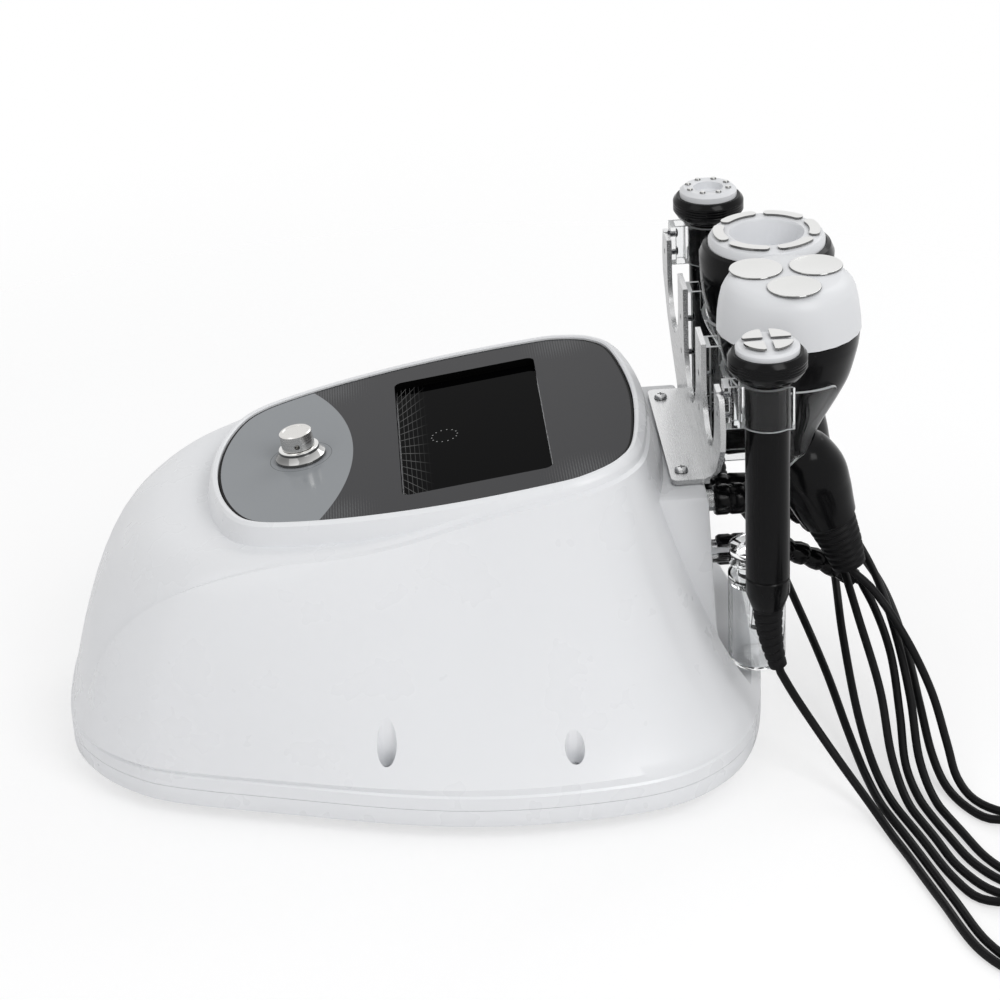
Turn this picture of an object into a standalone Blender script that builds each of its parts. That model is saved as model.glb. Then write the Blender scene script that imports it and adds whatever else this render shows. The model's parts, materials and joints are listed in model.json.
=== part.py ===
"""Cavitation slimming machine: a moulded desk unit with a touch screen and a vacuum knob, a
steel holder with four clear clips at its back, four handpieces and their cables.

Metres, +Z up. The user stands at -Y, the tabletop is Z = 0, and X = 0 is the middle plane.
Places are first given with Y = 0 under the middle of the panel; the whole machine is then
moved along Y so that the origin lies under the middle of its box, without the cords."""

import math

import bmesh
import bpy
from mathutils import Matrix, Vector

# Clearances and finish shared by all pieces
GAP = 0.0003
OVERRUN = 0.004
SMOOTH_ANGLE = math.radians(40)
ROUND_SIDES = 18
SMALL_SIDES = 12
TINY_SIDES = 6
CUP_SIDES = 16
PLUG_SIDES = 10

# Housing and tray
BODY_HALF_WIDTH = 0.1715
BODY_FRONT = 0.254
BODY_BACK = 0.170
WALL = 0.003
FOOT_HEIGHT = 0.010
TRAY_HEIGHT = 0.012
SKIRT_HEIGHT = 0.009
SKIRT_LEDGE = 0.0012
TRAY_EDGE_ROUND = 0.003
TRAY_LIP_HEIGHT = 0.003
# The base outline: shares of the half width, and of the front or back reach
BASE_SHARES = (
    (0, -1), (0.29, -0.985), (0.478, -0.925), (0.618, -0.835), (0.711, -0.724),
    (0.84, -0.453), (0.939, -0.228), (0.991, -0.04), (1, 0.235), (0.962, 0.541),
    (0.863, 0.735), (0.688, 0.876), (0.408, 0.959), (0, 1),
)

# Control panel, its pocket and the collar round it
PANEL_HALF_WIDTH = 0.1017
PANEL_FRONT = 0.1535
PANEL_BACK = 0.0974
PANEL_LEVEL = 0.185
PANEL_TILT = math.radians(7.92)
PANEL_THICKNESS = 0.003
PANEL_SHARES = (
    (0, -1), (0.334, -0.977), (0.616, -0.912), (0.757, -0.827), (0.846, -0.69),
    (0.924, -0.489), (0.978, -0.248), (1, 0), (0.993, 0.411), (0.964, 0.616),
    (0.846, 0.821), (0.61, 0.939), (0, 1),
)
COLLAR_WIDTH = 0.006
COLLAR_RISE = 0.0016
COLLAR_FRONT_DROP = 0.012
COLLAR_BACK_DROP = 0.002
# The raised leaf on each side: its edge falls from the collar to the front corner
LEAF_DEPTH = 0.0018
LEAF_TIP_DEG = 14
LEAF_FALL_DEG = 8.1
# Angles from the front at which each zone of the outline ends, and its steps
AZIMUTH_ZONES = ((42, 7), (180, 14))
RINGS_ABOVE_LEAF = 2
RINGS_ON_LEAF = 4

# Screw recesses in the flared sides
RECESS_RADIUS = 0.0057
RECESS_FLOOR = 0.040
RECESS_FLOOR_THICKNESS = 0.004
RECESS_WALL = 0.002
RECESS_BACK = (0.153, 0.044)
RECESS_FRONT = (0.144, -0.062)
CASE_SCREW_RADIUS = 0.0015
POST_RADIUS = 0.005

# Shelf block at the back, which carries the holder
SHELF_HALF_WIDTH = 0.080
SHELF_TOP = 0.166
SHELF_FRONT = 0.084
SHELF_BACK_TOP = 0.132
SHELF_BACK_BOTTOM = 0.138
LEDGE_LEVEL = 0.039
BLOCK_ROUND = 0.003
VENT_COUNT = 7
VENT_PITCH = 0.007
VENT_WIDTH = 0.003
VENT_HEIGHT = 0.030
VENT_LEVEL = 0.127
VENT_X = -0.021

# Screen
WINDOW_WIDTH = 0.156
WINDOW_LENGTH = 0.088
WINDOW_ROUND = 0.005
WINDOW_DEPTH = 0.0045
WINDOW_THICKNESS = 0.0018
LCD_MARGIN = 0.005
LCD_THICKNESS = 0.008

# Vacuum knob and its valve
KNOB_Q = -0.103
KNOB_RADIUS = 0.010
KNOB_TOP = 0.0175
KNOB_FOOT = 0.0078
RING_RADIUS = 0.01525
RING_HEIGHT = 0.0074
SPINDLE_RADIUS = 0.003
VALVE_RADIUS = 0.009
VALVE_LENGTH = 0.026
GRUB_RADIUS = 0.0013

# Steel holder
PLATE = 0.003
HOLDER_HALF_WIDTH = 0.064
HOLDER_FRONT = 0.1126
HOLDER_TOP = 0.250
HOLDER_CORNER = 0.004
HOLDER_SCREW_X = 0.0515
HOLDER_SCREW_Y = 0.1196
PAN_HEAD_RADIUS = 0.004
PAN_HEAD_HEIGHT = 0.0026
PAN_SCREW_RADIUS = 0.0019
PAN_SCREW_LENGTH = 0.010
HOLDER_REACH = 0.136
FINGER_HALF_WIDTH = 0.013
BAY_FLOOR_SHARE = 0.42
MIDDLE_BAY_FLOOR_SHARE = 0.30

# Clear clips
SMALL_CLIP_X = 0.122
SMALL_AXIS_Y = 0.1596
SMALL_CLIP_BOTTOM = 0.231
SMALL_CLIP_TOP = 0.256
CLIP_WALL = 0.0025
CLIP_BACK = 0.0032
CLIP_STEM_HALF_WIDTH = 0.0065
CLIP_MOUTH_DEG = 52
CLIP_LIP = 0.004
CLIP_SCREW_RISE = 0.0045
BIG_CLIP_X = 0.0415
BIG_AXIS_Y = 0.184
BIG_CLIP_BOTTOM = 0.173
BIG_CLIP_TOP = 0.246
BIG_CLIP_ARM_TOP = 0.228
BIG_CLIP_STEM_HALF_WIDTH = 0.0085
BIG_CLIP_SCREW_LEVELS = (0.227, 0.205)
SMALL_CLIP_SCREW_LEVELS = (0.250, 0.238)
CLIP_SCREW_RADIUS = 0.0015

# Small handpieces
TUBE_RADIUS = 0.0125
TUBE_BOTTOM = 0.116
TUBE_TAPER_TOP = 0.125
TUBE_END_RADIUS = 0.0095
GROOVE_DEPTH = 0.0008
GROOVE_LEVEL = 0.135
HEAD_RADIUS = 0.022
HEAD_BOTTOM = 0.2575
HEAD_TOP = 0.2762
FACE_RADIUS = 0.01775
FACE_TOP = 0.2794
FACE_SEAT = 0.2722
POLE_RISE = 0.0011
SMALL_RELIEF_LENGTH = 0.040
SMALL_RELIEF_RADIUS = 0.0090
SMALL_RELIEF_END_RADIUS = 0.0052
SMALL_RELIEF_BEND = 0.006
RELIEF_RIBS = 4
RIB_DEPTH = 0.0011
POLE_STEM = 0.0011
CARRIER_RADIUS = 0.0148
CARRIER_THICKNESS = 0.0012
DOT_COUNT = 8
DOT_CIRCLE = 0.0129
DOT_RADIUS = 0.0019
SMALL_CUP_RADIUS = 0.0092
SMALL_CUP_FLOOR = 0.2732

# Large handpieces
CAP_RADIUS = 0.0417
CAP_SEAM = 0.253
CAP_TOP = 0.2840
DISC_RADIUS = 0.0155
DISC_CIRCLE = 0.0200
DISC_RISE = 0.0014
DISC_STEM = 0.003
VACUUM_RADIUS = 0.0405
VACUUM_BODY_TOP = 0.2722
VACUUM_RING_RADIUS = 0.035
VACUUM_RING_TOP = 0.2783
CUP_RADIUS = 0.0216
CUP_FLOOR = 0.2560
CUP_SEAT = 0.2500
KIDNEY_COUNT = 6
KIDNEY_CIRCLE = 0.0288
KIDNEY_HALF_WIDTH = 0.0032
KIDNEY_HALF_DEG = 19
KIDNEY_RISE = 0.0012
GRIP_BOTTOM = 0.128
BIG_RELIEF_LENGTH = 0.032
# Spine of a large handpiece: height, run-out behind the head's axis, radius
GRIP_SHARES = (
    (1.000, 0.000, 0.985), (0.955, 0.000, 0.973), (0.896, 0.000, 0.944), (0.776, -0.002, 0.850),
    (0.688, -0.008, 0.735), (0.604, -0.016, 0.607), (0.536, -0.030, 0.508),
    (0.480, -0.046, 0.441), (0.444, -0.050, 0.413), (0.400, -0.006, 0.410),
    (0.352, 0.090, 0.445), (0.304, 0.200, 0.492), (0.232, 0.322, 0.520),
    (0.152, 0.420, 0.487), (0.072, 0.510, 0.441), (0.000, 0.600, 0.390),
)
RELIEF_SHARES = ((0.00, 0.600, 0.365), (0.50, 0.755, 0.300), (1.00, 0.880, 0.250))

# Filter bottle
BOTTLE_X = 0.063
BOTTLE_Y = 0.1620
BOTTLE_RADIUS = 0.017
BOTTLE_BOTTOM = 0.047
BOTTLE_TOP = 0.104
BOTTLE_WALL = 0.0015
FILTER_CAP_HEIGHT = 0.022
FILTER_CAP_RADIUS = 0.0165
FILTER_NECK_RADIUS = 0.0120
FILTER_NECK_HEIGHT = 0.009
FILTER_TUBE_RADIUS = 0.0045
FILTER_ARM_RADIUS = 0.0045

# Rear connectors
PLUG_COLUMNS = (0.020, -0.062)
PLUG_LEVELS = (0.133, 0.099)
SOCKET_RADIUS = 0.0100
SOCKET_FLANGE = 0.0025
SOCKET_NOSE = 0.0075
SOCKET_NOSE_RADIUS = 0.0065
SOCKET_BODY_RADIUS = 0.0075
SOCKET_BODY_LENGTH = 0.012
PLUG_RADIUS = 0.0094
PLUG_LENGTH = 0.030
PLUG_GROOVE_DEPTH = 0.0007
BOOT_RADIUS = 0.0076
BOOT_END_RADIUS = 0.0058
BOOT_RIBS = 3
# How far each boot runs out and drops, from the upper plug to the lower one
BOOT_RUNS = (0.039, 0.054)
BOOT_DROPS = (0.030, 0.026)
BOOT_BEND_POWER = 1.5
INLET_X = -0.030
INLET_LEVEL = 0.064
INLET_WIDTH = 0.048
INLET_HEIGHT = 0.028
INLET_DEPTH = 0.018
INLET_FLANGE = 0.002
INLET_WELL_WIDTH = 0.026
INLET_WELL_HEIGHT = 0.018
INLET_PIN_RADIUS = 0.0014
INLET_PIN_PITCH = 0.007
SWITCH_X = 0.012
SWITCH_LEVEL = 0.064
SWITCH_WIDTH = 0.014
SWITCH_HEIGHT = 0.021
SWITCH_TRAVEL_DEG = 14
SWITCH_RADIUS = 0.022
SWITCH_FRAME = 0.002
SWITCH_DEPTH = 0.012

# Inside the tray
BOARD_WIDTH = 0.170
BOARD_LENGTH = 0.110
BOARD_THICKNESS = 0.0016
BOARD_Y = -0.090
STANDOFF = 0.008
SUPPLY_WIDTH = 0.110
SUPPLY_LENGTH = 0.070
SUPPLY_HEIGHT = 0.038
SUPPLY_X = -0.062
SUPPLY_Y = 0.030
PUMP_RADIUS = 0.024
PUMP_LENGTH = 0.062
PUMP_X = 0.062
PUMP_Y = 0.030
PUMP_HEAD = 0.026

# Feet
FOOT_RADIUS = 0.010
FOOT_PLACES = ((0.085, -0.214), (0.135, 0.110))

# Cords: each handpiece's cable runs from its relief to a coil on the table, and on to its plug
CABLE_DIAMETER = 0.005
CABLE_LEVEL = 0.0027
CORD_SPACING = 0.015
COIL_RADIUS = 0.0295
COIL_PITCH = 0.0059
COIL_LIFT = 0.0057
COIL_TURNS = 2.5
COIL_POINTS_PER_TURN = 16
COIL_PLACES = {
    "rf_right": (0.302, 0.362),
    "rf_left": (0.302, 0.296),
    "tripolar": (0.222, 0.380),
    "vacuum": (0.222, 0.314),
}
# Column and row of each plug, in the order of the coils above
PLUG_ORDER = ((0, 0), (1, 0), (0, 1), (1, 1))
# The coils that the lead from the plug enters on the table, and the handpiece's cable on top
LEAD_FIRST = ("tripolar",)
# Routes between a gland's straight end and the coil's, chosen by hand
CABLE_ROUTES = {
    "rf_right": (
        (0.1235, 0.174, 0.057), (0.129, 0.186, 0.037), (0.143, 0.199, 0.019),
        (0.165, 0.210, 0.008), (0.200, 0.220, 0.0027), (0.260, 0.233, 0.0027),
        (0.310, 0.245, 0.0027), (0.331, 0.260, 0.0027), (0.338, 0.280, 0.0027),
        (0.339, 0.300, 0.0027), (0.336, 0.320, 0.0027), (0.3325, 0.337, 0.0027),
    ),
    "rf_left": (
        (-0.112, 0.175, 0.062), (-0.060, 0.189, 0.054), (0.000, 0.198, 0.042),
        (0.055, 0.206, 0.027), (0.100, 0.211, 0.013), (0.136, 0.215, 0.005),
        (0.165, 0.219, 0.0027), (0.200, 0.227, 0.0027), (0.260, 0.240, 0.0027),
        (0.303, 0.250, 0.0027), (0.324, 0.263, 0.0027),
    ),
    "tripolar": (
        (0.048, 0.234, 0.080), (0.064, 0.250, 0.057), (0.094, 0.261, 0.035),
        (0.126, 0.2645, 0.017), (0.148, 0.266, 0.007), (0.166, 0.272, 0.0032),
        (0.180, 0.285, 0.0027), (0.186, 0.304, 0.0027), (0.186, 0.322, 0.0027),
        (0.188, 0.340, 0.003), (0.1915, 0.355, 0.0052),
    ),
    "vacuum": (
        (-0.030, 0.232, 0.083), (0.010, 0.243, 0.069), (0.056, 0.247, 0.053),
        (0.098, 0.248, 0.033), (0.136, 0.2465, 0.0125), (0.165, 0.250, 0.0034),
        (0.196, 0.258, 0.0027), (0.226, 0.267, 0.0027), (0.244, 0.279, 0.0027),
        (0.250, 0.292, 0.0027),
    ),
}
LEAD_ROUTES = {
    "rf_right": (
        (0.0275, 0.2195, 0.086), (0.056, 0.2245, 0.065), (0.098, 0.230, 0.039),
        (0.134, 0.2305, 0.015), (0.165, 0.234, 0.0036), (0.200, 0.242, 0.0027),
        (0.232, 0.2495, 0.0027), (0.256, 0.263, 0.0027), (0.266, 0.283, 0.0027),
        (0.2655, 0.303, 0.0027), (0.268, 0.322, 0.003), (0.2715, 0.337, 0.0052),
    ),
    "rf_left": (
        (-0.054, 0.2195, 0.086), (-0.010, 0.2205, 0.067), (0.045, 0.217, 0.048),
        (0.100, 0.2175, 0.021), (0.136, 0.221, 0.007), (0.165, 0.226, 0.0027),
        (0.200, 0.2345, 0.0027), (0.240, 0.244, 0.0027), (0.262, 0.254, 0.003),
        (0.2715, 0.270, 0.0056),
    ),
    "tripolar": (
        (0.035, 0.238, 0.060), (0.070, 0.2415, 0.047), (0.106, 0.2405, 0.026),
        (0.136, 0.2385, 0.0095), (0.165, 0.242, 0.0027), (0.200, 0.250, 0.0027),
        (0.230, 0.259, 0.0027), (0.250, 0.273, 0.0027), (0.2585, 0.293, 0.0027),
        (0.2595, 0.315, 0.0027), (0.256, 0.337, 0.0027), (0.2525, 0.355, 0.0027),
    ),
    "vacuum": (
        (-0.045, 0.240, 0.061), (0.000, 0.250, 0.054), (0.050, 0.254, 0.042),
        (0.095, 0.2545, 0.026), (0.128, 0.2555, 0.011), (0.152, 0.259, 0.004),
        (0.174, 0.267, 0.0027), (0.188, 0.277, 0.0034), (0.192, 0.289, 0.0056),
    ),
}


def clear_scene():
    for obj in list(bpy.data.objects):
        bpy.data.objects.remove(obj, do_unlink=True)


clear_scene()
machine = bpy.data.collections.new("cavitation_slimming_machine")
helpers = bpy.data.collections.new("cutters")
bpy.context.scene.collection.children.link(machine)
bpy.context.scene.collection.children.link(helpers)
frame_empty = bpy.data.objects.new("machine_frame", None)
machine.objects.link(frame_empty)
cord_names = []


# Materials


def material(name, colour, roughness, metallic=0.0, alpha=1.0):
    made = bpy.data.materials.new(name)
    made.use_nodes = True
    shader = made.node_tree.nodes["Principled BSDF"]
    shader.inputs["Base Color"].default_value = (*colour, 1.0)
    shader.inputs["Roughness"].default_value = roughness
    shader.inputs["Metallic"].default_value = metallic
    shader.inputs["Alpha"].default_value = alpha
    made.diffuse_color = (*colour, alpha)
    return made


WHITE = material("white_gloss_abs", (0.86, 0.87, 0.89), 0.25)
DARK = material("dark_panel_acrylic", (0.05, 0.05, 0.055), 0.15)
GLASS_BLACK = material("black_glass", (0.01, 0.01, 0.012), 0.05)
STEEL = material("polished_steel", (0.70, 0.71, 0.72), 0.20, 1.0)
CHROME = material("chrome_plate", (0.80, 0.80, 0.79), 0.10, 1.0)
NICKEL = material("nickel_knob", (0.72, 0.71, 0.68), 0.28, 1.0)
CLEAR = material("clear_acrylic", (0.93, 0.95, 0.96), 0.05, 0.0, 0.35)
BLACK = material("black_abs", (0.012, 0.012, 0.013), 0.22)
RUBBER = material("black_rubber", (0.015, 0.015, 0.016), 0.60)
HEAD_WHITE = material("white_head", (0.82, 0.83, 0.85), 0.32)
BOARD_GREEN = material("board_green", (0.03, 0.16, 0.08), 0.45)
ZINC = material("zinc_case", (0.60, 0.61, 0.62), 0.40, 1.0)


# Shapes made from meshes, profiles and curves


def place(obj, name, finish, parent=None):
    """Files an object as a part of the machine, smooth on its round faces."""
    obj.name = name
    obj.data.name = name
    obj.data.materials.clear()
    obj.data.materials.append(finish)
    if obj.name not in machine.objects:
        machine.objects.link(obj)
    for other in list(obj.users_collection):
        if other is not machine:
            other.objects.unlink(obj)
    obj.parent = parent or frame_empty
    if obj.type == "MESH":
        obj.data.shade_smooth()
        obj.data.set_sharp_from_angle(angle=SMOOTH_ANGLE)
    return obj


def helper(obj):
    """Files an object as a cutter."""
    if obj.name not in helpers.objects:
        helpers.objects.link(obj)
    for other in list(obj.users_collection):
        if other is not helpers:
            other.objects.unlink(obj)
    obj.hide_render = True
    obj.display_type = "WIRE"
    obj.parent = frame_empty
    return obj


def mesh_object(name, fill):
    """A new mesh object; fill builds its faces in an empty bmesh."""
    data = bpy.data.meshes.new(name)
    shape = bmesh.new()
    fill(shape)
    bmesh.ops.recalc_face_normals(shape, faces=shape.faces)
    shape.to_mesh(data)
    shape.free()
    obj = bpy.data.objects.new(name, data)
    machine.objects.link(obj)
    return obj


def box(name, low, high, rounding=0):
    low = Vector(low)
    high = Vector(high)

    def fill(shape):
        scale = Matrix.Diagonal(high - low).to_4x4()
        middle = Matrix.Translation((low + high) / 2)
        bmesh.ops.create_cube(shape, size=1, matrix=middle @ scale)

    obj = mesh_object(name, fill)
    if rounding:
        add_bevel(obj, rounding)
    return obj


def add_bevel(obj, width, segments=2):
    bevel = obj.modifiers.new("rounding", "BEVEL")
    bevel.width = width
    bevel.segments = segments
    bevel.limit_method = "ANGLE"
    bevel.angle_limit = SMOOTH_ANGLE
    return bevel


def cylinder(name, radius, low, high, sides=ROUND_SIDES, at=(0, 0), end_radius=None):
    """An upright cylinder, or a cone where end_radius, the radius at the top, is given."""

    def fill(shape):
        bmesh.ops.create_cone(
            shape,
            cap_ends=True,
            segments=sides,
            radius1=radius,
            radius2=radius if end_radius is None else end_radius,
            depth=high - low,
            matrix=Matrix.Translation((at[0], at[1], (low + high) / 2)),
        )

    return mesh_object(name, fill)


def turned(name, profile, sides=ROUND_SIDES):
    """A solid turned about Z from (radius, height) points, from top to bottom."""
    data = bpy.data.meshes.new(name)
    edges = [(i, i + 1) for i in range(len(profile) - 1)]
    data.from_pydata([(r, 0, z) for r, z in profile], edges, [])
    obj = bpy.data.objects.new(name, data)
    machine.objects.link(obj)
    screw = obj.modifiers.new("turning", "SCREW")
    screw.steps = sides
    screw.render_steps = sides
    screw.use_merge_vertices = True
    screw.merge_threshold = 0.00001
    screw.use_smooth_shade = True
    return applied(obj)


def applied(obj):
    """Makes the object's evaluated shape its own mesh, so that it can be cut or joined."""
    bpy.context.view_layer.update()
    graph = bpy.context.evaluated_depsgraph_get()
    data = bpy.data.meshes.new_from_object(obj.evaluated_get(graph))
    shape = bmesh.new()
    shape.from_mesh(data)
    bmesh.ops.remove_doubles(shape, verts=shape.verts, dist=0.000002)
    bmesh.ops.recalc_face_normals(shape, faces=shape.faces)
    shape.to_mesh(data)
    shape.free()
    made = bpy.data.objects.new(obj.name + "_made", data)
    machine.objects.link(made)
    made.matrix_world = obj.matrix_world.copy()
    name = obj.name
    bpy.data.objects.remove(obj, do_unlink=True)
    made.name = name
    return made


def flat_shape(name, outlines, thickness):
    """A plate in the XY plane from one outer outline and any holes, centred on Z = 0."""
    data = bpy.data.curves.new(name, "CURVE")
    data.dimensions = "2D"
    data.fill_mode = "BOTH"
    data.extrude = thickness / 2
    for outline in outlines:
        spline = data.splines.new("POLY")
        spline.points.add(len(outline) - 1)
        for point, (x, y) in zip(spline.points, outline):
            point.co = (x, y, 0, 1)
        spline.use_cyclic_u = True
    obj = bpy.data.objects.new(name, data)
    machine.objects.link(obj)
    return applied(obj)


def upright(obj, y):
    """Turns a plate drawn in XY so that its drawing plane is XZ, with its middle at y."""
    turn = Matrix.Rotation(math.pi / 2, 4, "X")
    obj.data.transform(Matrix.Translation((0, y, 0)) @ turn)
    return obj


def sideways(obj, x):
    """Turns a plate drawn in XY so that it is drawn in YZ, with its middle at x."""
    turn = Matrix.Rotation(math.pi / 2, 4, "Z") @ Matrix.Rotation(math.pi / 2, 4, "X")
    obj.data.transform(Matrix.Translation((x, 0, 0)) @ turn)
    return obj


def shifted(obj, x=0, y=0, z=0):
    obj.data.transform(Matrix.Translation((x, y, z)))
    return obj


def arc(centre, radius, start_deg, end_deg, steps):
    points = []
    for i in range(steps + 1):
        angle = math.radians(start_deg + (end_deg - start_deg) * i / steps)
        points.append((centre[0] + radius * math.cos(angle), centre[1] + radius * math.sin(angle)))
    return points


def rounded_rectangle(half_width, half_length, rounding, steps=4):
    points = []
    for quarter, (sx, sy) in enumerate(((1, 1), (-1, 1), (-1, -1), (1, -1))):
        centre = (sx * (half_width - rounding), sy * (half_length - rounding))
        points += arc(centre, rounding, 90 * quarter, 90 * quarter + 90, steps)
    return points


def loft(name, rings, close_ends=True):
    """A surface through rings of equally many points; the first and last are filled."""

    def fill(shape):
        rows = [[shape.verts.new(point) for point in ring] for ring in rings]
        count = len(rows[0])
        for upper, lower in zip(rows, rows[1:]):
            for i in range(count):
                j = (i + 1) % count
                shape.faces.new((upper[i], upper[j], lower[j], lower[i]))
        if close_ends:
            shape.faces.new(rows[0])
            shape.faces.new(rows[-1])

    return mesh_object(name, fill)


def boolean(obj, other, operation, apply_now=True):
    helper(other)
    step = obj.modifiers.new(operation.lower(), "BOOLEAN")
    step.operation = operation
    step.solver = "EXACT"
    step.object = other
    return obj


def cut(obj, *others):
    for other in others:
        boolean(obj, other, "DIFFERENCE")
    return obj


def join(obj, *others):
    for other in others:
        boolean(obj, other, "UNION")
    return obj


def joined(name, base, pieces):
    """One solid: the pieces, each joined to the base that carries them."""
    base.name = name
    join(base, *pieces)
    return base


# Outlines of the housing, given as polar curves round the vertical line X = Y = 0


def catmull_rom(points, steps):
    """Points along a smooth curve through the given ones."""
    made = []
    last = len(points) - 1
    for i in range(last):
        before = points[max(i - 1, 0)]
        after = points[min(i + 2, last)]
        for k in range(steps):
            t = k / steps
            row = []
            for a, b, c, d in zip(before, points[i], points[i + 1], after):
                row.append(
                    b + 0.5 * t * (c - a + t * (2 * a - 5 * b + 4 * c - d + t * (3 * (b - c) + d - a)))
                )
            made.append(tuple(row))
    made.append(tuple(points[last]))
    return made


def polar_table(shares, half_width, front, back):
    """(angle from the front in degrees, radius) along half an outline."""
    points = [(x * half_width, y * (front if y < 0 else back)) for x, y in shares]
    mirrored_start = [(-x, y) for x, y in points[2:0:-1]]
    mirrored_end = [(-x, y) for x, y in points[-2:-4:-1]]
    dense = catmull_rom(mirrored_start + points + mirrored_end, 12)
    table = []
    for x, y in dense:
        angle = math.degrees(math.atan2(x, -y))
        if -1 < angle < 181:
            table.append((angle, math.hypot(x, y)))
    return sorted(table)


def reach(table, degrees):
    """The outline's radius at an angle from the front, alike on both sides."""
    degrees = abs(degrees)
    for (a0, r0), (a1, r1) in zip(table, table[1:]):
        if degrees <= a1:
            return r0 + (r1 - r0) * (degrees - a0) / (a1 - a0)
    return table[-1][1]


base_table = polar_table(BASE_SHARES, BODY_HALF_WIDTH, BODY_FRONT, BODY_BACK)
panel_table = polar_table(PANEL_SHARES, PANEL_HALF_WIDTH, PANEL_FRONT, PANEL_BACK)


def on_panel(across, along, height):
    """A point in the panel's own frame: across, up the slope, and out of its top face."""
    lean = math.cos(PANEL_TILT)
    rise = math.sin(PANEL_TILT)
    return Vector(
        (across, along * lean - height * rise, PANEL_LEVEL + along * rise + height * lean)
    )


def panel_matrix(across, along, height):
    return Matrix.Translation(on_panel(across, along, height)) @ Matrix.Rotation(PANEL_TILT, 4, "X")


def azimuth_list():
    """Angles round the outline from the back, past the front, and on to the back again."""
    half = [0.0]
    for end, steps in AZIMUTH_ZONES:
        start = half[-1]
        half += [start + (end - start) * (i + 1) / steps for i in range(steps)]
    return [-degrees for degrees in half[:0:-1]] + half[:-1]


AZIMUTHS = azimuth_list()


def smooth_step(value):
    value = min(1.0, max(0.0, value))
    return value * value * (3 - 2 * value)


def panel_ring(offset, height):
    """The panel's outline grown by offset, at a height over its top face."""
    points = []
    for degrees in AZIMUTHS:
        radius = reach(panel_table, degrees) + offset
        turn = math.radians(degrees)
        points.append(on_panel(radius * math.sin(turn), -radius * math.cos(turn), height))
    return points


SKIRT_BOTTOM = FOOT_HEIGHT + TRAY_HEIGHT + GAP
SKIRT_TOP = SKIRT_BOTTOM + SKIRT_HEIGHT
COLLAR_FOOT_ZONE_DEG = 60
COLLAR_FOOT_END_DEG = 110
FRONT_ZONE_START_DEG = 35
FRONT_ZONE_DEG = 55
FRONT_POWER = 0.3125
SIDE_BELL = 1.5
LEAF_START_SHARE = 0.9
LEAF_LEAST_SHARE = 0.02
LEAF_MOST_SHARE = 0.96
LEAF_STEP_SHARE = 0.012
LEAF_RAMP_DEG = 5
LEAF_FADE_DEG = 80


def leaf_edge(degrees):
    """Where the raised leaf starts, as a share of the way down the wall."""
    fall = math.exp((LEAF_TIP_DEG - abs(degrees)) / LEAF_FALL_DEG)
    return min(LEAF_MOST_SHARE, max(LEAF_LEAST_SHARE, LEAF_START_SHARE * fall))


def wall_point(degrees, down, inset=0, leaf=True):
    """A point of the flared wall, from the collar's foot (down = 0) to the skirt (down = 1)."""
    side = abs(degrees)
    top_radius = reach(panel_table, degrees) + COLLAR_WIDTH
    foot_radius = reach(base_table, degrees) - SKIRT_LEDGE
    turn = math.radians(degrees)
    drop_share = smooth_step((COLLAR_FOOT_END_DEG - side) / COLLAR_FOOT_ZONE_DEG)
    drop = COLLAR_BACK_DROP + (COLLAR_FRONT_DROP - COLLAR_BACK_DROP) * drop_share
    top = on_panel(0, -top_radius * math.cos(turn), 0).z - drop
    front_share = 1 - smooth_step((side - FRONT_ZONE_START_DEG) / FRONT_ZONE_DEG)
    bell = SIDE_BELL - math.sqrt(SIDE_BELL * SIDE_BELL - 2 * down)
    bell /= SIDE_BELL - math.sqrt(SIDE_BELL * SIDE_BELL - 2)
    spread = (1 - front_share) * bell + front_share * down**FRONT_POWER
    radius = top_radius + (foot_radius - top_radius) * spread - inset
    height = top + (SKIRT_TOP - top) * down
    if leaf:
        step = smooth_step((down - leaf_edge(degrees)) / LEAF_STEP_SHARE)
        ramp = smooth_step((side - LEAF_TIP_DEG) / LEAF_RAMP_DEG)
        fade = 1 - smooth_step((side - LEAF_FADE_DEG) / LEAF_FADE_DEG)
        end = smooth_step((1 - down) / LEAF_STEP_SHARE / 4)
        radius += LEAF_DEPTH * step * ramp * fade * end
    return Vector((radius * math.sin(turn), -radius * math.cos(turn), height))


def wall_levels(degrees):
    """The rings' places down the wall: closer near the collar and along the leaf's edge."""
    edge = leaf_edge(degrees)
    above = [edge * (i / RINGS_ABOVE_LEAF) ** 1.6 for i in range(RINGS_ABOVE_LEAF)]
    start = edge + LEAF_STEP_SHARE
    below = [start + (1 - start) * i / RINGS_ON_LEAF for i in range(RINGS_ON_LEAF + 1)]
    return above + [edge] + below


def base_ring(offset, height):
    points = []
    for degrees in AZIMUTHS:
        radius = reach(base_table, degrees) + offset
        turn = math.radians(degrees)
        points.append(Vector((radius * math.sin(turn), -radius * math.cos(turn), height)))
    return points


def housing_outside():
    """The closed outer form: deck, pocket, collar, flared wall and skirt."""
    pocket = PANEL_THICKNESS + GAP
    rings = [
        panel_ring(GAP, -pocket),
        panel_ring(GAP, COLLAR_RISE / 2),
        panel_ring(COLLAR_WIDTH * 0.2, COLLAR_RISE),
        panel_ring(COLLAR_WIDTH * 0.5, COLLAR_RISE * 0.9),
        panel_ring(COLLAR_WIDTH * 0.8, 0),
    ]
    levels = [wall_levels(degrees) for degrees in AZIMUTHS]
    for row in range(len(levels[0])):
        rings.append([wall_point(degrees, down[row]) for degrees, down in zip(AZIMUTHS, levels)])
    rings.append(base_ring(0, SKIRT_TOP - SKIRT_LEDGE))
    rings.append(base_ring(0, SKIRT_BOTTOM))
    return loft("housing_outside", rings)


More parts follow.
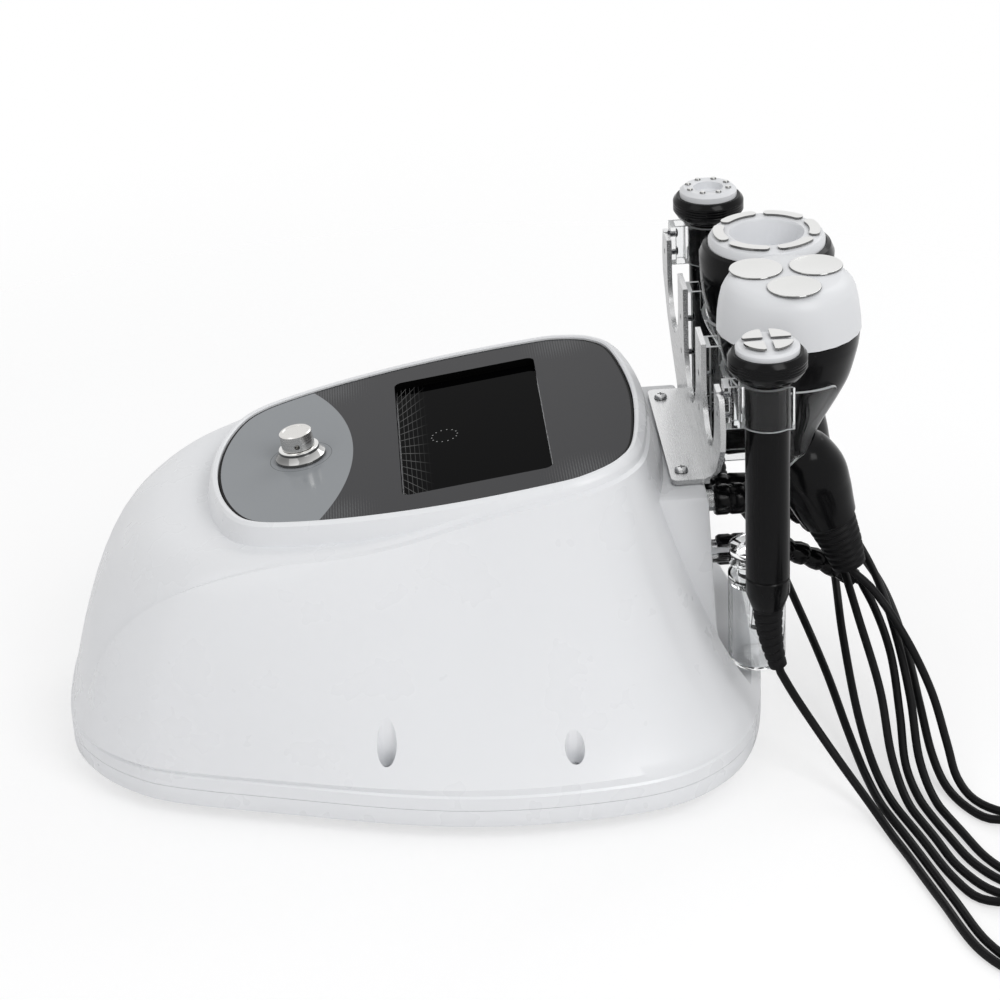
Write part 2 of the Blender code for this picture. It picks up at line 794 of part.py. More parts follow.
def housing_hollow():
    """The space inside the wall, a little under the deck's lower face."""
    deck_bottom = PANEL_THICKNESS + GAP + WALL
    rings = [panel_ring(-WALL, -deck_bottom)]
    for down in (0.0, 0.12, 0.4, 1.0):
        ring = []
        for degrees in AZIMUTHS:
            point = wall_point(degrees, down, inset=WALL, leaf=False)
            point.z -= WALL
            limit = on_panel(0, point.y, -deck_bottom).z
            point.z = min(point.z, limit - GAP * (1 + down))
            ring.append(point)
        rings.append(ring)
    rings.append(base_ring(-WALL, SKIRT_TOP - WALL - GAP))
    rings.append(base_ring(-WALL, SKIRT_BOTTOM - OVERRUN))
    return loft("housing_hollow", rings)


def recess_places():
    places = []
    for x, y in (RECESS_BACK, RECESS_FRONT):
        places += [(x, y), (-x, y)]
    return places


def back_line(height):
    """The Y of the block's sloping back face at a height."""
    share = (SHELF_TOP - height) / (SHELF_TOP - LEDGE_LEVEL)
    return SHELF_BACK_TOP + (SHELF_BACK_BOTTOM - SHELF_BACK_TOP) * share


def make_top_housing():
    shell = housing_outside()
    block_outline = [
        (SHELF_FRONT, SHELF_TOP),
        (SHELF_BACK_TOP, SHELF_TOP),
        (back_line(LEDGE_LEVEL - OVERRUN), LEDGE_LEVEL - OVERRUN),
        (SHELF_FRONT, LEDGE_LEVEL - OVERRUN),
    ]
    block = sideways(flat_shape("shelf_block", [block_outline], 2 * SHELF_HALF_WIDTH), 0)
    add_bevel(block, BLOCK_ROUND)
    join(shell, block)
    far = BODY_BACK + OVERRUN
    ledge_outline = [
        (SHELF_BACK_TOP + GAP, SHELF_TOP + OVERRUN),
        (far, SHELF_TOP + OVERRUN),
        (far, LEDGE_LEVEL),
        (SHELF_BACK_BOTTOM + GAP, LEDGE_LEVEL),
    ]
    ledge_width = 2 * (SHELF_HALF_WIDTH + GAP)
    cut(shell, sideways(flat_shape("ledge_cut", [ledge_outline], ledge_width), 0))
    hollow = housing_hollow()
    for n, at in enumerate(recess_places()):
        boss = cylinder(
            f"boss_{n}",
            RECESS_RADIUS + RECESS_WALL,
            RECESS_FLOOR - RECESS_FLOOR_THICKNESS,
            PANEL_LEVEL,
            SMALL_SIDES,
            at,
        )
        cut(hollow, boss)
    cut(hollow, box(
        "back_wall_keep",
        (-2 * SHELF_HALF_WIDTH, SHELF_BACK_TOP - WALL, LEDGE_LEVEL - WALL),
        (2 * SHELF_HALF_WIDTH, far, PANEL_LEVEL),
    ))
    cut(shell, hollow)
    inner_half = SHELF_HALF_WIDTH - WALL
    cut(shell, box(
        "block_hollow",
        (-inner_half, SHELF_FRONT, LEDGE_LEVEL - OVERRUN),
        (inner_half, SHELF_BACK_TOP - WALL + GAP, SHELF_TOP - WALL),
    ))
    for n, at in enumerate(recess_places()):
        cut(shell, cylinder(f"recess_{n}", RECESS_RADIUS, RECESS_FLOOR, PANEL_LEVEL, SMALL_SIDES, at))
        cut(shell, cylinder(
            f"screw_way_{n}",
            CASE_SCREW_RADIUS + GAP,
            RECESS_FLOOR - 2 * RECESS_FLOOR_THICKNESS,
            RECESS_FLOOR + OVERRUN,
            TINY_SIDES,
            at,
        ))
    window = flat_shape(
        "deck_window",
        [rounded_rectangle(WINDOW_WIDTH / 2 + GAP, WINDOW_LENGTH / 2 + GAP, WINDOW_ROUND)],
        4 * PANEL_THICKNESS,
    )
    window.data.transform(panel_matrix(0, 0, -PANEL_THICKNESS))
    cut(shell, window)
    spindle_way = cylinder(
        "deck_spindle_way", SPINDLE_RADIUS + OVERRUN / 2, -4 * PANEL_THICKNESS, 0, SMALL_SIDES
    )
    spindle_way.data.transform(panel_matrix(0, KNOB_Q, OVERRUN))
    cut(shell, spindle_way)
    for x in (HOLDER_SCREW_X, -HOLDER_SCREW_X):
        cut(shell, cylinder(
            "shelf_screw_way",
            PAN_SCREW_RADIUS + GAP,
            SHELF_TOP - 2 * WALL,
            SHELF_TOP + OVERRUN,
            TINY_SIDES,
            (x, HOLDER_SCREW_Y),
        ))
    for way in back_ways():
        cut(shell, way)
    return place(shell, "top_housing", WHITE)


def back_hole(name, radius, x, level, sides=SMALL_SIDES):
    """A cutter along Y through the block's back wall."""
    hole = cylinder(name, radius, -2 * WALL - OVERRUN, OVERRUN, sides)
    hole.data.transform(Matrix.Rotation(-math.pi / 2, 4, "X"))
    return shifted(hole, x, back_line(level), level)


def back_slot(name, width, height, x, level):
    face = back_line(level)
    return box(
        name,
        (x - width / 2, face - 2 * WALL - OVERRUN, level - height / 2),
        (x + width / 2, face + OVERRUN, level + height / 2),
    )


def back_ways():
    """The openings of the back wall: sockets, nipple, mains inlet, switch and vents."""
    ways = []
    for x in PLUG_COLUMNS:
        for level in PLUG_LEVELS:
            ways.append(back_hole("socket_way", SOCKET_BODY_RADIUS + GAP, x, level))
    ways.append(back_slot(
        "inlet_way",
        INLET_WELL_WIDTH + 4 * INLET_FLANGE,
        INLET_WELL_HEIGHT + 3 * INLET_FLANGE,
        INLET_X,
        INLET_LEVEL,
    ))
    ways.append(back_slot(
        "switch_way",
        SWITCH_WIDTH + 2 * SWITCH_FRAME,
        SWITCH_HEIGHT + 2 * SWITCH_FRAME,
        SWITCH_X,
        SWITCH_LEVEL,
    ))
    for i in range(VENT_COUNT):
        x = VENT_X + VENT_PITCH * (i - (VENT_COUNT - 1) / 2)
        ways.append(back_slot("vent", VENT_WIDTH, VENT_HEIGHT, x, VENT_LEVEL))
    return ways


def make_base_tray():
    low = FOOT_HEIGHT
    top = FOOT_HEIGHT + TRAY_HEIGHT
    lip = WALL + GAP
    rings = [
        base_ring(-TRAY_EDGE_ROUND, low),
        base_ring(-TRAY_EDGE_ROUND * 0.3, low + TRAY_EDGE_ROUND * 0.3),
        base_ring(0, low + TRAY_EDGE_ROUND),
        base_ring(0, top),
        base_ring(-lip, top),
        base_ring(-lip, top + TRAY_LIP_HEIGHT),
        base_ring(-lip - WALL, top + TRAY_LIP_HEIGHT),
        base_ring(-lip - WALL, low + WALL),
    ]
    tray = loft("base_tray", rings)
    floor = low + WALL
    for n, at in enumerate(recess_places()):
        post_top = RECESS_FLOOR - RECESS_FLOOR_THICKNESS - GAP
        join(tray, cylinder(f"post_{n}", POST_RADIUS, floor - WALL / 2, post_top, SMALL_SIDES, at))
        cut(tray, cylinder(
            f"post_bore_{n}", CASE_SCREW_RADIUS + GAP, floor, post_top + OVERRUN, TINY_SIDES, at
        ))
    for n, (x, y) in enumerate(board_corners()):
        join(tray, cylinder(
            f"standoff_{n}", POST_RADIUS * 0.8, floor - WALL / 2, floor + STANDOFF, TINY_SIDES, (x, y)
        ))
    return place(tray, "base_tray", WHITE)


def board_corners():
    half_width = BOARD_WIDTH / 2 - 2 * POST_RADIUS
    half_length = BOARD_LENGTH / 2 - 2 * POST_RADIUS
    return [(sx * half_width, BOARD_Y + sy * half_length) for sx in (1, -1) for sy in (1, -1)]


def make_feet():
    for x, y in FOOT_PLACES:
        for side in (1, -1):
            name = f"foot_{'front' if y < 0 else 'rear'}_{'right' if side > 0 else 'left'}"
            foot = cylinder(
                name, FOOT_RADIUS * 0.88, 0, FOOT_HEIGHT - GAP, SMALL_SIDES, (side * x, y), FOOT_RADIUS
            )
            place(foot, name, RUBBER)


def pan_screw(name, head_radius, head_height, radius, length, sides=SMALL_SIDES):
    """A screw with its head's seat at Z = 0 and its tip at -length."""
    profile = [
        (0, head_height),
        (head_radius * 0.5, head_height * 0.93),
        (head_radius * 0.85, head_height * 0.6),
        (head_radius, 0),
        (radius, 0),
        (radius, radius - length),
        (0, -length),
    ]
    return turned(name, profile, sides)


# Panel, screen and knob


def make_control_panel():
    panel = loft("control_panel", [
        panel_ring(-2 * GAP, 0),
        panel_ring(-GAP, -2 * GAP),
        panel_ring(-GAP, -PANEL_THICKNESS),
    ])
    window = flat_shape(
        "panel_window",
        [rounded_rectangle(WINDOW_WIDTH / 2, WINDOW_LENGTH / 2, WINDOW_ROUND)],
        4 * PANEL_THICKNESS,
    )
    window.data.transform(panel_matrix(0, 0, 0))
    way = cylinder(
        "panel_spindle_way",
        SPINDLE_RADIUS + OVERRUN / 2,
        -4 * PANEL_THICKNESS,
        OVERRUN,
        SMALL_SIDES,
    )
    way.data.transform(panel_matrix(0, KNOB_Q, 0))
    cut(panel, window, way)
    return place(panel, "control_panel", DARK)


def make_screen():
    margin = GAP + GAP
    glass = flat_shape(
        "display_window",
        [rounded_rectangle(WINDOW_WIDTH / 2 - margin, WINDOW_LENGTH / 2 - margin, WINDOW_ROUND)],
        WINDOW_THICKNESS,
    )
    glass.data.transform(panel_matrix(0, 0, -WINDOW_DEPTH - WINDOW_THICKNESS / 2))
    place(glass, "display_window", GLASS_BLACK)
    deck_bottom = PANEL_THICKNESS + GAP + WALL
    seat = max(deck_bottom, WINDOW_DEPTH + WINDOW_THICKNESS) + 2 * GAP
    half_width = WINDOW_WIDTH / 2 + LCD_MARGIN
    half_length = WINDOW_LENGTH / 2 + LCD_MARGIN
    module = box(
        "lcd_module",
        (-half_width, -half_length, -seat - LCD_THICKNESS),
        (half_width, half_length, -seat),
    )
    module.data.transform(panel_matrix(0, 0, 0))
    place(module, "lcd_module", ZINC)


def make_knob():
    to_panel = panel_matrix(0, KNOB_Q, 0)
    bore = SPINDLE_RADIUS + GAP
    ring = turned("knob_ring", [
        (bore + GAP, RING_HEIGHT),
        (RING_RADIUS * 0.74, RING_HEIGHT),
        (RING_RADIUS * 0.80, RING_HEIGHT * 0.93),
        (RING_RADIUS * 0.80, RING_HEIGHT * 0.72),
        (RING_RADIUS * 0.92, RING_HEIGHT * 0.42),
        (RING_RADIUS, RING_HEIGHT * 0.26),
        (RING_RADIUS, GAP),
        (bore + GAP, GAP),
        (bore + GAP, RING_HEIGHT),
    ])
    ring.data.transform(to_panel)
    place(ring, "knob_ring", CHROME)
    cap_depth = 0.35 * KNOB_RADIUS
    knob = turned("knob", [
        (0, KNOB_TOP - GAP),
        (KNOB_RADIUS * 0.72, KNOB_TOP - GAP),
        (KNOB_RADIUS * 0.76, KNOB_TOP),
        (KNOB_RADIUS * 0.90, KNOB_TOP),
        (KNOB_RADIUS * 0.97, KNOB_TOP - KNOB_RADIUS * 0.06),
        (KNOB_RADIUS, KNOB_FOOT),
        (bore, KNOB_FOOT),
        (bore, KNOB_TOP - cap_depth),
        (0, KNOB_TOP - cap_depth),
    ])
    grub_level = (KNOB_TOP - cap_depth + KNOB_FOOT) / 2
    knob_frame = to_panel @ Matrix.Translation((0, 0, grub_level)) @ Matrix.Rotation(math.pi / 2, 4, "Y")
    knob.data.transform(to_panel)
    way = cylinder("grub_way", GRUB_RADIUS + GAP, SPINDLE_RADIUS * 0.5, KNOB_RADIUS + OVERRUN, TINY_SIDES)
    way.data.transform(knob_frame)
    cut(knob, way)
    place(knob, "knob", NICKEL)
    deck_bottom = PANEL_THICKNESS + 2 * GAP + WALL
    spindle_depth = deck_bottom + VALVE_LENGTH * 0.4
    spindle = cylinder(
        "valve_spindle", SPINDLE_RADIUS, -spindle_depth, KNOB_TOP - cap_depth - GAP, SMALL_SIDES
    )
    spindle.data.transform(to_panel)
    place(spindle, "valve_spindle", STEEL)
    valve = cylinder("vacuum_valve", VALVE_RADIUS, -deck_bottom - VALVE_LENGTH, -deck_bottom, SMALL_SIDES)
    valve_bore = cylinder("valve_bore", bore, -spindle_depth - GAP, OVERRUN, SMALL_SIDES)
    cut(valve, valve_bore)
    valve.data.transform(to_panel)
    valve_bore.data.transform(to_panel)
    place(valve, "vacuum_valve", ZINC)


# Steel holder and clips


def holder_outline():
    """Half of the upright plate in XZ, from its lower corner to the middle of its top edge."""
    foot = SHELF_TOP + GAP
    rise = HOLDER_TOP - foot
    spread = HOLDER_REACH - HOLDER_HALF_WIDTH
    side_shares = ((0, 0), (0.03, 0.05), (0.40, 0.23), (0.68, 0.38), (0.97, 0.645), (1, 0.79), (0.96, 0.93))
    side = [(HOLDER_HALF_WIDTH + spread * a, foot + rise * b) for a, b in side_shares]
    outer_finger = SMALL_CLIP_X + FINGER_HALF_WIDTH * 0.6
    points = side + [(outer_finger, HOLDER_TOP)]
    points += bay(SMALL_CLIP_X - FINGER_HALF_WIDTH, BIG_CLIP_X + FINGER_HALF_WIDTH, BAY_FLOOR_SHARE)
    inner_edge = BIG_CLIP_X - FINGER_HALF_WIDTH
    points += bay(inner_edge, -inner_edge, MIDDLE_BAY_FLOOR_SHARE)
    left = [(-x, z) for x, z in side + [(outer_finger, HOLDER_TOP)]]
    left_bay = bay(-BIG_CLIP_X - FINGER_HALF_WIDTH, -SMALL_CLIP_X + FINGER_HALF_WIDTH, BAY_FLOOR_SHARE)
    return points + left_bay + left[::-1]


def bay(start, end, floor_share):
    """A U-shaped cut between two fingers, from the finger at start to the one at end."""
    radius = abs(start - end) / 2
    foot = SHELF_TOP + GAP
    floor = foot + (HOLDER_TOP - foot) * floor_share
    middle = (start + end) / 2
    centre_height = min(floor + radius, HOLDER_TOP - HOLDER_CORNER)
    bottom = arc((middle, centre_height), radius, 0, -180, 8)
    bottom = [(x, max(z, floor)) for x, z in bottom]
    return [(start, HOLDER_TOP)] + bottom + [(end, HOLDER_TOP)]


def make_holder():
    face = SHELF_BACK_TOP - GAP
    upright_plate = upright(flat_shape("holder_bracket", [holder_outline()], PLATE), face + PLATE / 2)
    half = HOLDER_HALF_WIDTH
    foot_outline = [(-half, face + PLATE * 0.7)]
    foot_outline += arc((-half + HOLDER_CORNER, HOLDER_FRONT + HOLDER_CORNER), HOLDER_CORNER, 180, 270, 4)
    foot_outline += arc((half - HOLDER_CORNER, HOLDER_FRONT + HOLDER_CORNER), HOLDER_CORNER, 270, 360, 4)
    foot_outline += [(half, face + PLATE * 0.7)]
    foot = flat_shape("holder_foot", [foot_outline], PLATE)
    shifted(foot, 0, 0, SHELF_TOP + GAP * 2 + PLATE / 2)
    join(upright_plate, foot)
    for x in (HOLDER_SCREW_X, -HOLDER_SCREW_X):
        cut(upright_plate, cylinder(
            "holder_screw_way",
            PAN_SCREW_RADIUS + GAP,
            SHELF_TOP - OVERRUN,
            SHELF_TOP + PLATE + OVERRUN,
            TINY_SIDES,
            (x, HOLDER_SCREW_Y),
        ))
    for x, level in clip_screw_places():
        hole = cylinder("clip_screw_way", CLIP_SCREW_RADIUS + GAP, -OVERRUN, OVERRUN, TINY_SIDES)
        hole.data.transform(Matrix.Rotation(math.pi / 2, 4, "X"))
        cut(upright_plate, shifted(hole, x, face + PLATE / 2, level))
    place(upright_plate, "holder_bracket", STEEL)
    for name, x in (("right", HOLDER_SCREW_X), ("left", -HOLDER_SCREW_X)):
        screw = pan_screw(
            "bracket_screw", PAN_HEAD_RADIUS, PAN_HEAD_HEIGHT, PAN_SCREW_RADIUS, PAN_SCREW_LENGTH
        )
        shifted(screw, x, HOLDER_SCREW_Y, SHELF_TOP + PLATE + 3 * GAP)
        place(screw, f"bracket_screw_{name}", STEEL)


def clip_screw_places():
    places = []
    for side in (1, -1):
        places += [(side * SMALL_CLIP_X, level) for level in SMALL_CLIP_SCREW_LEVELS]
        places += [(side * BIG_CLIP_X, level) for level in BIG_CLIP_SCREW_LEVELS]
    return places


CLIP_START = SHELF_BACK_TOP + PLATE


def make_small_clip(name, x):
    """A C-shaped ring on a hollow stem, drawn in plan."""
    inner = TUBE_RADIUS + GAP
    outer = inner + CLIP_WALL
    half = CLIP_STEM_HALF_WIDTH
    join_y = -math.sqrt(outer * outer - half * half)
    stem_start = CLIP_START - SMALL_AXIS_Y
    lip_deg = 90 - CLIP_MOUTH_DEG
    outline = [(half, stem_start), (half, join_y)]
    start_deg = math.degrees(math.atan2(join_y, half))
    outline += arc((0, 0), outer, start_deg, lip_deg, 6)
    tip = math.radians(lip_deg)
    outline.append((outer * math.cos(tip), outer * math.sin(tip) + CLIP_LIP))
    outline.append((inner * math.cos(tip), inner * math.sin(tip) + CLIP_LIP))
    outline += arc((0, 0), inner, lip_deg, -180 - lip_deg, 14)
    outline.append((-inner * math.cos(tip), inner * math.sin(tip) + CLIP_LIP))
    outline.append((-outer * math.cos(tip), outer * math.sin(tip) + CLIP_LIP))
    outline += arc((0, 0), outer, 180 - lip_deg, 180 - start_deg, 6)
    outline.append((-half, stem_start))
    pocket = rounded_rectangle(half - CLIP_WALL * 0.7, (-outer - stem_start - CLIP_BACK) / 2, CLIP_WALL / 4, 1)
    pocket_y = (stem_start + CLIP_BACK - outer) / 2
    pocket = [(px, py + pocket_y) for px, py in pocket]
    height = SMALL_CLIP_TOP - SMALL_CLIP_BOTTOM
    clip = flat_shape(name, [outline, pocket], height)
    shifted(clip, x, SMALL_AXIS_Y, (SMALL_CLIP_TOP + SMALL_CLIP_BOTTOM) / 2)
    for level in SMALL_CLIP_SCREW_LEVELS:
        cut(clip, clip_hole(x, level))
    return place(clip, name, CLEAR)


def clip_hole(x, level):
    hole = cylinder("clip_hole", CLIP_SCREW_RADIUS + GAP, -OVERRUN, OVERRUN, TINY_SIDES)
    hole.data.transform(Matrix.Rotation(math.pi / 2, 4, "X"))
    return shifted(hole, x, CLIP_START + CLIP_BACK / 2, level)


def grip_station(height_share, run_share, radius_share):
    """Height, Y and radius of a large handpiece's section."""
    height = GRIP_BOTTOM + (CAP_SEAM - GRIP_BOTTOM) * height_share
    return height, BIG_AXIS_Y + CAP_RADIUS * run_share, CAP_RADIUS * radius_share


def bulb_profile(low, high, grow):
    """(radius, height) of the bulb between two heights, from top to bottom, grown by a gap."""
    stations = [grip_station(*share) for share in GRIP_SHARES]
    profile = []
    steps = 6
    for i in range(steps + 1):
        height = high + (low - high) * i / steps
        height_inside = min(height, stations[0][0])
        for (h0, y0, r0), (h1, y1, r1) in zip(stations, stations[1:]):
            if h1 <= height_inside <= h0:
                part = (h0 - height_inside) / (h0 - h1)
                radius = r0 + (r1 - r0) * part
                lean = abs(y0 + (y1 - y0) * part - BIG_AXIS_Y)
                profile.append((radius + lean + grow, height))
                break
    return profile


def make_big_clip(name, x):
    """A conical cradle on a hollow stem, trimmed to its side view and to the bulb."""
    low = BIG_CLIP_BOTTOM
    high = BIG_CLIP_ARM_TOP
    waist = bulb_profile(low, high, 2 * GAP)
    least = min(radius for radius, height in waist)
    waist = [(max(radius, least), height) for radius, height in waist]
    outer = [(radius + CLIP_WALL, height) for radius, height in waist]
    over = low - OVERRUN / 2
    ring = turned(name, [(0, high)] + outer + [(outer[-1][0], over), (0, over)], CUP_SIDES)
    shifted(ring, 0, BIG_AXIS_Y, 0)
    half = BIG_CLIP_STEM_HALF_WIDTH
    stem_depth = BIG_AXIS_Y - CLIP_START
    stem_end = BIG_AXIS_Y - GAP
    stem_outline = [(-half, CLIP_START), (half, CLIP_START), (half, stem_end), (-half, stem_end)]
    inner = half - CLIP_WALL * 0.8
    pocket_outline = [
        (-inner, CLIP_START + CLIP_BACK),
        (inner, CLIP_START + CLIP_BACK),
        (inner, CLIP_START + stem_depth * 2 / 3),
        (-inner, CLIP_START + stem_depth * 2 / 3),
    ]
    stem = flat_shape("stem", [stem_outline, pocket_outline], BIG_CLIP_TOP - low + OVERRUN * 1.5)
    shifted(stem, 0, 0, (BIG_CLIP_TOP + low) / 2)
    envelope_top = BIG_CLIP_TOP + OVERRUN
    envelope_profile = bulb_profile(low - OVERRUN, envelope_top, 2 * GAP)
    envelope_profile = [(max(radius, least), height) for radius, height in envelope_profile]
    ends = [(0, envelope_top)], [(0, low - OVERRUN)]
    envelope = turned("bulb_room", ends[0] + envelope_profile + ends[1], CUP_SIDES)
    shifted(envelope, 0, BIG_AXIS_Y, 0)
    join(ring, stem)
    cut(ring, envelope)
    side = sideways(flat_shape("clip_side", [clip_side_outline()], 4 * CAP_RADIUS), 0)
    boolean(ring, side, "INTERSECT")
    for level in BIG_CLIP_SCREW_LEVELS:
        cut(ring, clip_hole(0, level))
    return place(shifted(applied(ring), x), name, CLEAR)


def clip_side_outline():
    """The cradle's side view in YZ: arms that run forward at the top and narrow downwards."""
    rise = BIG_CLIP_ARM_TOP - BIG_CLIP_BOTTOM
    arm_shares = (
        (0.55, 0.985), (0.55, 0.90), (0.40, 0.60), (0.31, 0.47),
        (0.24, 0.30), (0.15, 0.12), (-0.10, 0.00),
    )
    arms = [(BIG_AXIS_Y + CAP_RADIUS * a, BIG_CLIP_BOTTOM + rise * b) for a, b in arm_shares]
    corner = arc(
        (BIG_AXIS_Y + CAP_RADIUS * 0.47, BIG_CLIP_ARM_TOP - CAP_RADIUS * 0.09), CAP_RADIUS * 0.08, 90, 0, 3
    )
    back = CLIP_START - OVERRUN
    stem_edge = CLIP_START + CLIP_BACK * 3
    outline = [(back, BIG_CLIP_BOTTOM), (back, BIG_CLIP_TOP)]
    outline += [(stem_edge, BIG_CLIP_TOP), (stem_edge, BIG_CLIP_ARM_TOP - GAP)]
    outline += corner + arms[1:-1]
    outline += [(arms[-1][0], BIG_CLIP_BOTTOM)]
    return outline


def make_clips():
    make_small_clip("clip_small_right", SMALL_CLIP_X)
    make_small_clip("clip_small_left", -SMALL_CLIP_X)
    make_big_clip("clip_large_right", BIG_CLIP_X)
    make_big_clip("clip_large_left", -BIG_CLIP_X)


# Handpieces


def ribbed_profile(start_radius, end_radius, length, ribs):
    """Radii and distances along a ribbed, tapering sleeve."""
    points = [(start_radius, 0)]
    for i in range(ribs):
        for edge, depth in ((0.4, 0), (0.6, 1), (1.0, 0)):
            share = (i + edge) / (ribs + 0.6)
            radius = start_radius + (end_radius - start_radius) * share - RIB_DEPTH * depth
            points.append((radius, length * share))
    points.append((end_radius, length))
    return points


def swept(name, centre_line, sides):
    """A closed tube of round sections (centre, direction, radius) that lean in the YZ plane."""
    rings = []
    for centre, direction, radius in centre_line:
        across = Vector((1, 0, 0))
        up = direction.cross(across).normalized()
        ring = []
        for i in range(sides):
            turn = 2 * math.pi * i / sides
            ring.append(centre + radius * (math.cos(turn) * across + math.sin(turn) * up))
        rings.append(ring)
    return loft(name, rings)


def along_spine(points):
    """Adds to each (centre, radius) the direction of the line there."""
    line = []
    for i, (centre, radius) in enumerate(points):
        before = points[max(i - 1, 0)][0]
        after = points[min(i + 1, len(points) - 1)][0]
        direction = (after - before).normalized()
        line.append((centre, direction, radius))
    return line


def make_small_handpiece(side_name, x, quarter_poles):
    """A slim handpiece; gives back where its cable leaves and in which direction."""
    tube = turned(f"rf_tube_{side_name}", [
        (0, FACE_SEAT - 3 * GAP - CARRIER_THICKNESS),
        (CARRIER_RADIUS + GAP, FACE_SEAT - 3 * GAP - CARRIER_THICKNESS),
        (CARRIER_RADIUS + GAP, FACE_SEAT - GAP),
        (FACE_RADIUS + GAP, FACE_SEAT - GAP),
        (FACE_RADIUS + GAP, HEAD_TOP),
        (HEAD_RADIUS * 0.90, HEAD_TOP),
        (HEAD_RADIUS * 0.98, HEAD_TOP - HEAD_RADIUS * 0.09),
        (HEAD_RADIUS, HEAD_TOP - HEAD_RADIUS * 0.25),
        (HEAD_RADIUS * 0.98, HEAD_BOTTOM + HEAD_RADIUS * 0.30),
        (HEAD_RADIUS * 0.86, HEAD_BOTTOM + HEAD_RADIUS * 0.12),
        (HEAD_RADIUS * 0.64, HEAD_BOTTOM),
        (TUBE_RADIUS, HEAD_BOTTOM),
        (TUBE_RADIUS, GROOVE_LEVEL + GROOVE_DEPTH),
        (TUBE_RADIUS - GROOVE_DEPTH, GROOVE_LEVEL),
        (TUBE_RADIUS, GROOVE_LEVEL - GROOVE_DEPTH),
        (TUBE_RADIUS, TUBE_TAPER_TOP),
        (TUBE_END_RADIUS, TUBE_BOTTOM),
        (0, TUBE_BOTTOM),
    ])
    shifted(tube, x, SMALL_AXIS_Y, 0)
    place(tube, f"rf_tube_{side_name}", BLACK)
    rim = FACE_TOP - POLE_RISE
    if quarter_poles:
        face_profile = [
            (0, FACE_TOP),
            (FACE_RADIUS * 0.6, FACE_TOP - POLE_RISE * 0.5),
            (FACE_RADIUS * 0.93, rim - POLE_RISE * 0.4),
            (FACE_RADIUS, rim - POLE_RISE * 1.6),
            (FACE_RADIUS, FACE_SEAT),
            (0, FACE_SEAT),
        ]
    else:
        face_profile = [
            (0, SMALL_CUP_FLOOR),
            (SMALL_CUP_RADIUS * 0.9, SMALL_CUP_FLOOR),
            (SMALL_CUP_RADIUS, SMALL_CUP_FLOOR + POLE_RISE),
            (SMALL_CUP_RADIUS, FACE_TOP - POLE_RISE * 0.4),
            (SMALL_CUP_RADIUS * 1.1, FACE_TOP),
            (FACE_RADIUS * 0.86, FACE_TOP),
            (FACE_RADIUS, rim - POLE_RISE),
            (FACE_RADIUS, FACE_SEAT),
            (0, FACE_SEAT),
        ]
    face = turned(f"rf_face_{side_name}", face_profile)
    shifted(face, x, SMALL_AXIS_Y, 0)
    poles = []
    if quarter_poles:
        stem_circle = FACE_RADIUS * 0.5
        count = 4
        for i in range(count):
            poles.append(quarter_pole(i, x))
    else:
        stem_circle = DOT_CIRCLE
        count = DOT_COUNT
        for i in range(count):
            turn = 2 * math.pi * (i + 0.5) / count
            dot = turned("dot", [
                (0, POLE_RISE),
                (DOT_RADIUS * 0.7, POLE_RISE * 0.75),
                (DOT_RADIUS, 0),
                (0, 0),
            ], TINY_SIDES)
            cx = x + DOT_CIRCLE * math.cos(turn)
            poles.append(shifted(dot, cx, SMALL_AXIS_Y + DOT_CIRCLE * math.sin(turn), FACE_TOP + GAP))
    centre = (x, SMALL_AXIS_Y)
    seat = FACE_SEAT - 2 * GAP
    stems = stem_ring(centre, stem_circle, count, POLE_STEM, (seat - GAP, FACE_TOP + POLE_RISE / 2))
    carrier = cylinder(
        "carrier", CARRIER_RADIUS, seat - CARRIER_THICKNESS, seat, ROUND_SIDES, centre
    )
    place(joined(f"rf_poles_{side_name}", carrier, stems + poles), f"rf_poles_{side_name}", CHROME)
    cut(face, *stem_ring(centre, stem_circle, count, POLE_STEM + GAP, (seat, FACE_TOP + OVERRUN)))
    place(face, f"rf_face_{side_name}", HEAD_WHITE)
    profile = ribbed_profile(
        SMALL_RELIEF_RADIUS, SMALL_RELIEF_END_RADIUS, SMALL_RELIEF_LENGTH, RELIEF_RIBS
    )
    points = []
    for radius, distance in profile:
        share = distance / SMALL_RELIEF_LENGTH
        centre = Vector((x, SMALL_AXIS_Y + SMALL_RELIEF_BEND * share * share, TUBE_BOTTOM - GAP - distance))
        points.append((centre, radius))
    line = along_spine(points)
    place(swept(f"rf_relief_{side_name}", line, SMALL_SIDES), f"rf_relief_{side_name}", RUBBER)
    return line[-1][:2]


def stem_ring(centre, circle, count, radius, heights, first_share=0.5):
    """Upright stems spaced round a circle, from the electrodes to the carrier below."""
    stems = []
    for i in range(count):
        turn = 2 * math.pi * (i + first_share) / count
        at = (centre[0] + circle * math.cos(turn), centre[1] + circle * math.sin(turn))
        stems.append(cylinder("stem", radius, heights[0], heights[1], TINY_SIDES, at))
    return stems


def quarter_pole(index, x):
    """One of four quarter-disc electrodes with round corners on the domed face."""
    inner = FACE_RADIUS * 0.13
    outer = FACE_RADIUS * 0.80
    turn = math.pi / 4 + index * math.pi / 2
    outline = [(inner, inner), (outer * 0.93, inner)]
    outline += arc((0, 0), outer, 16, 74, 5)
    outline += [(inner, outer * 0.93)]
    pole = flat_shape("pole", [outline], POLE_RISE)
    pole.data.transform(Matrix.Rotation(turn - math.pi / 4, 4, "Z"))
    return shifted(pole, x, SMALL_AXIS_Y, FACE_TOP + GAP + POLE_RISE / 2)


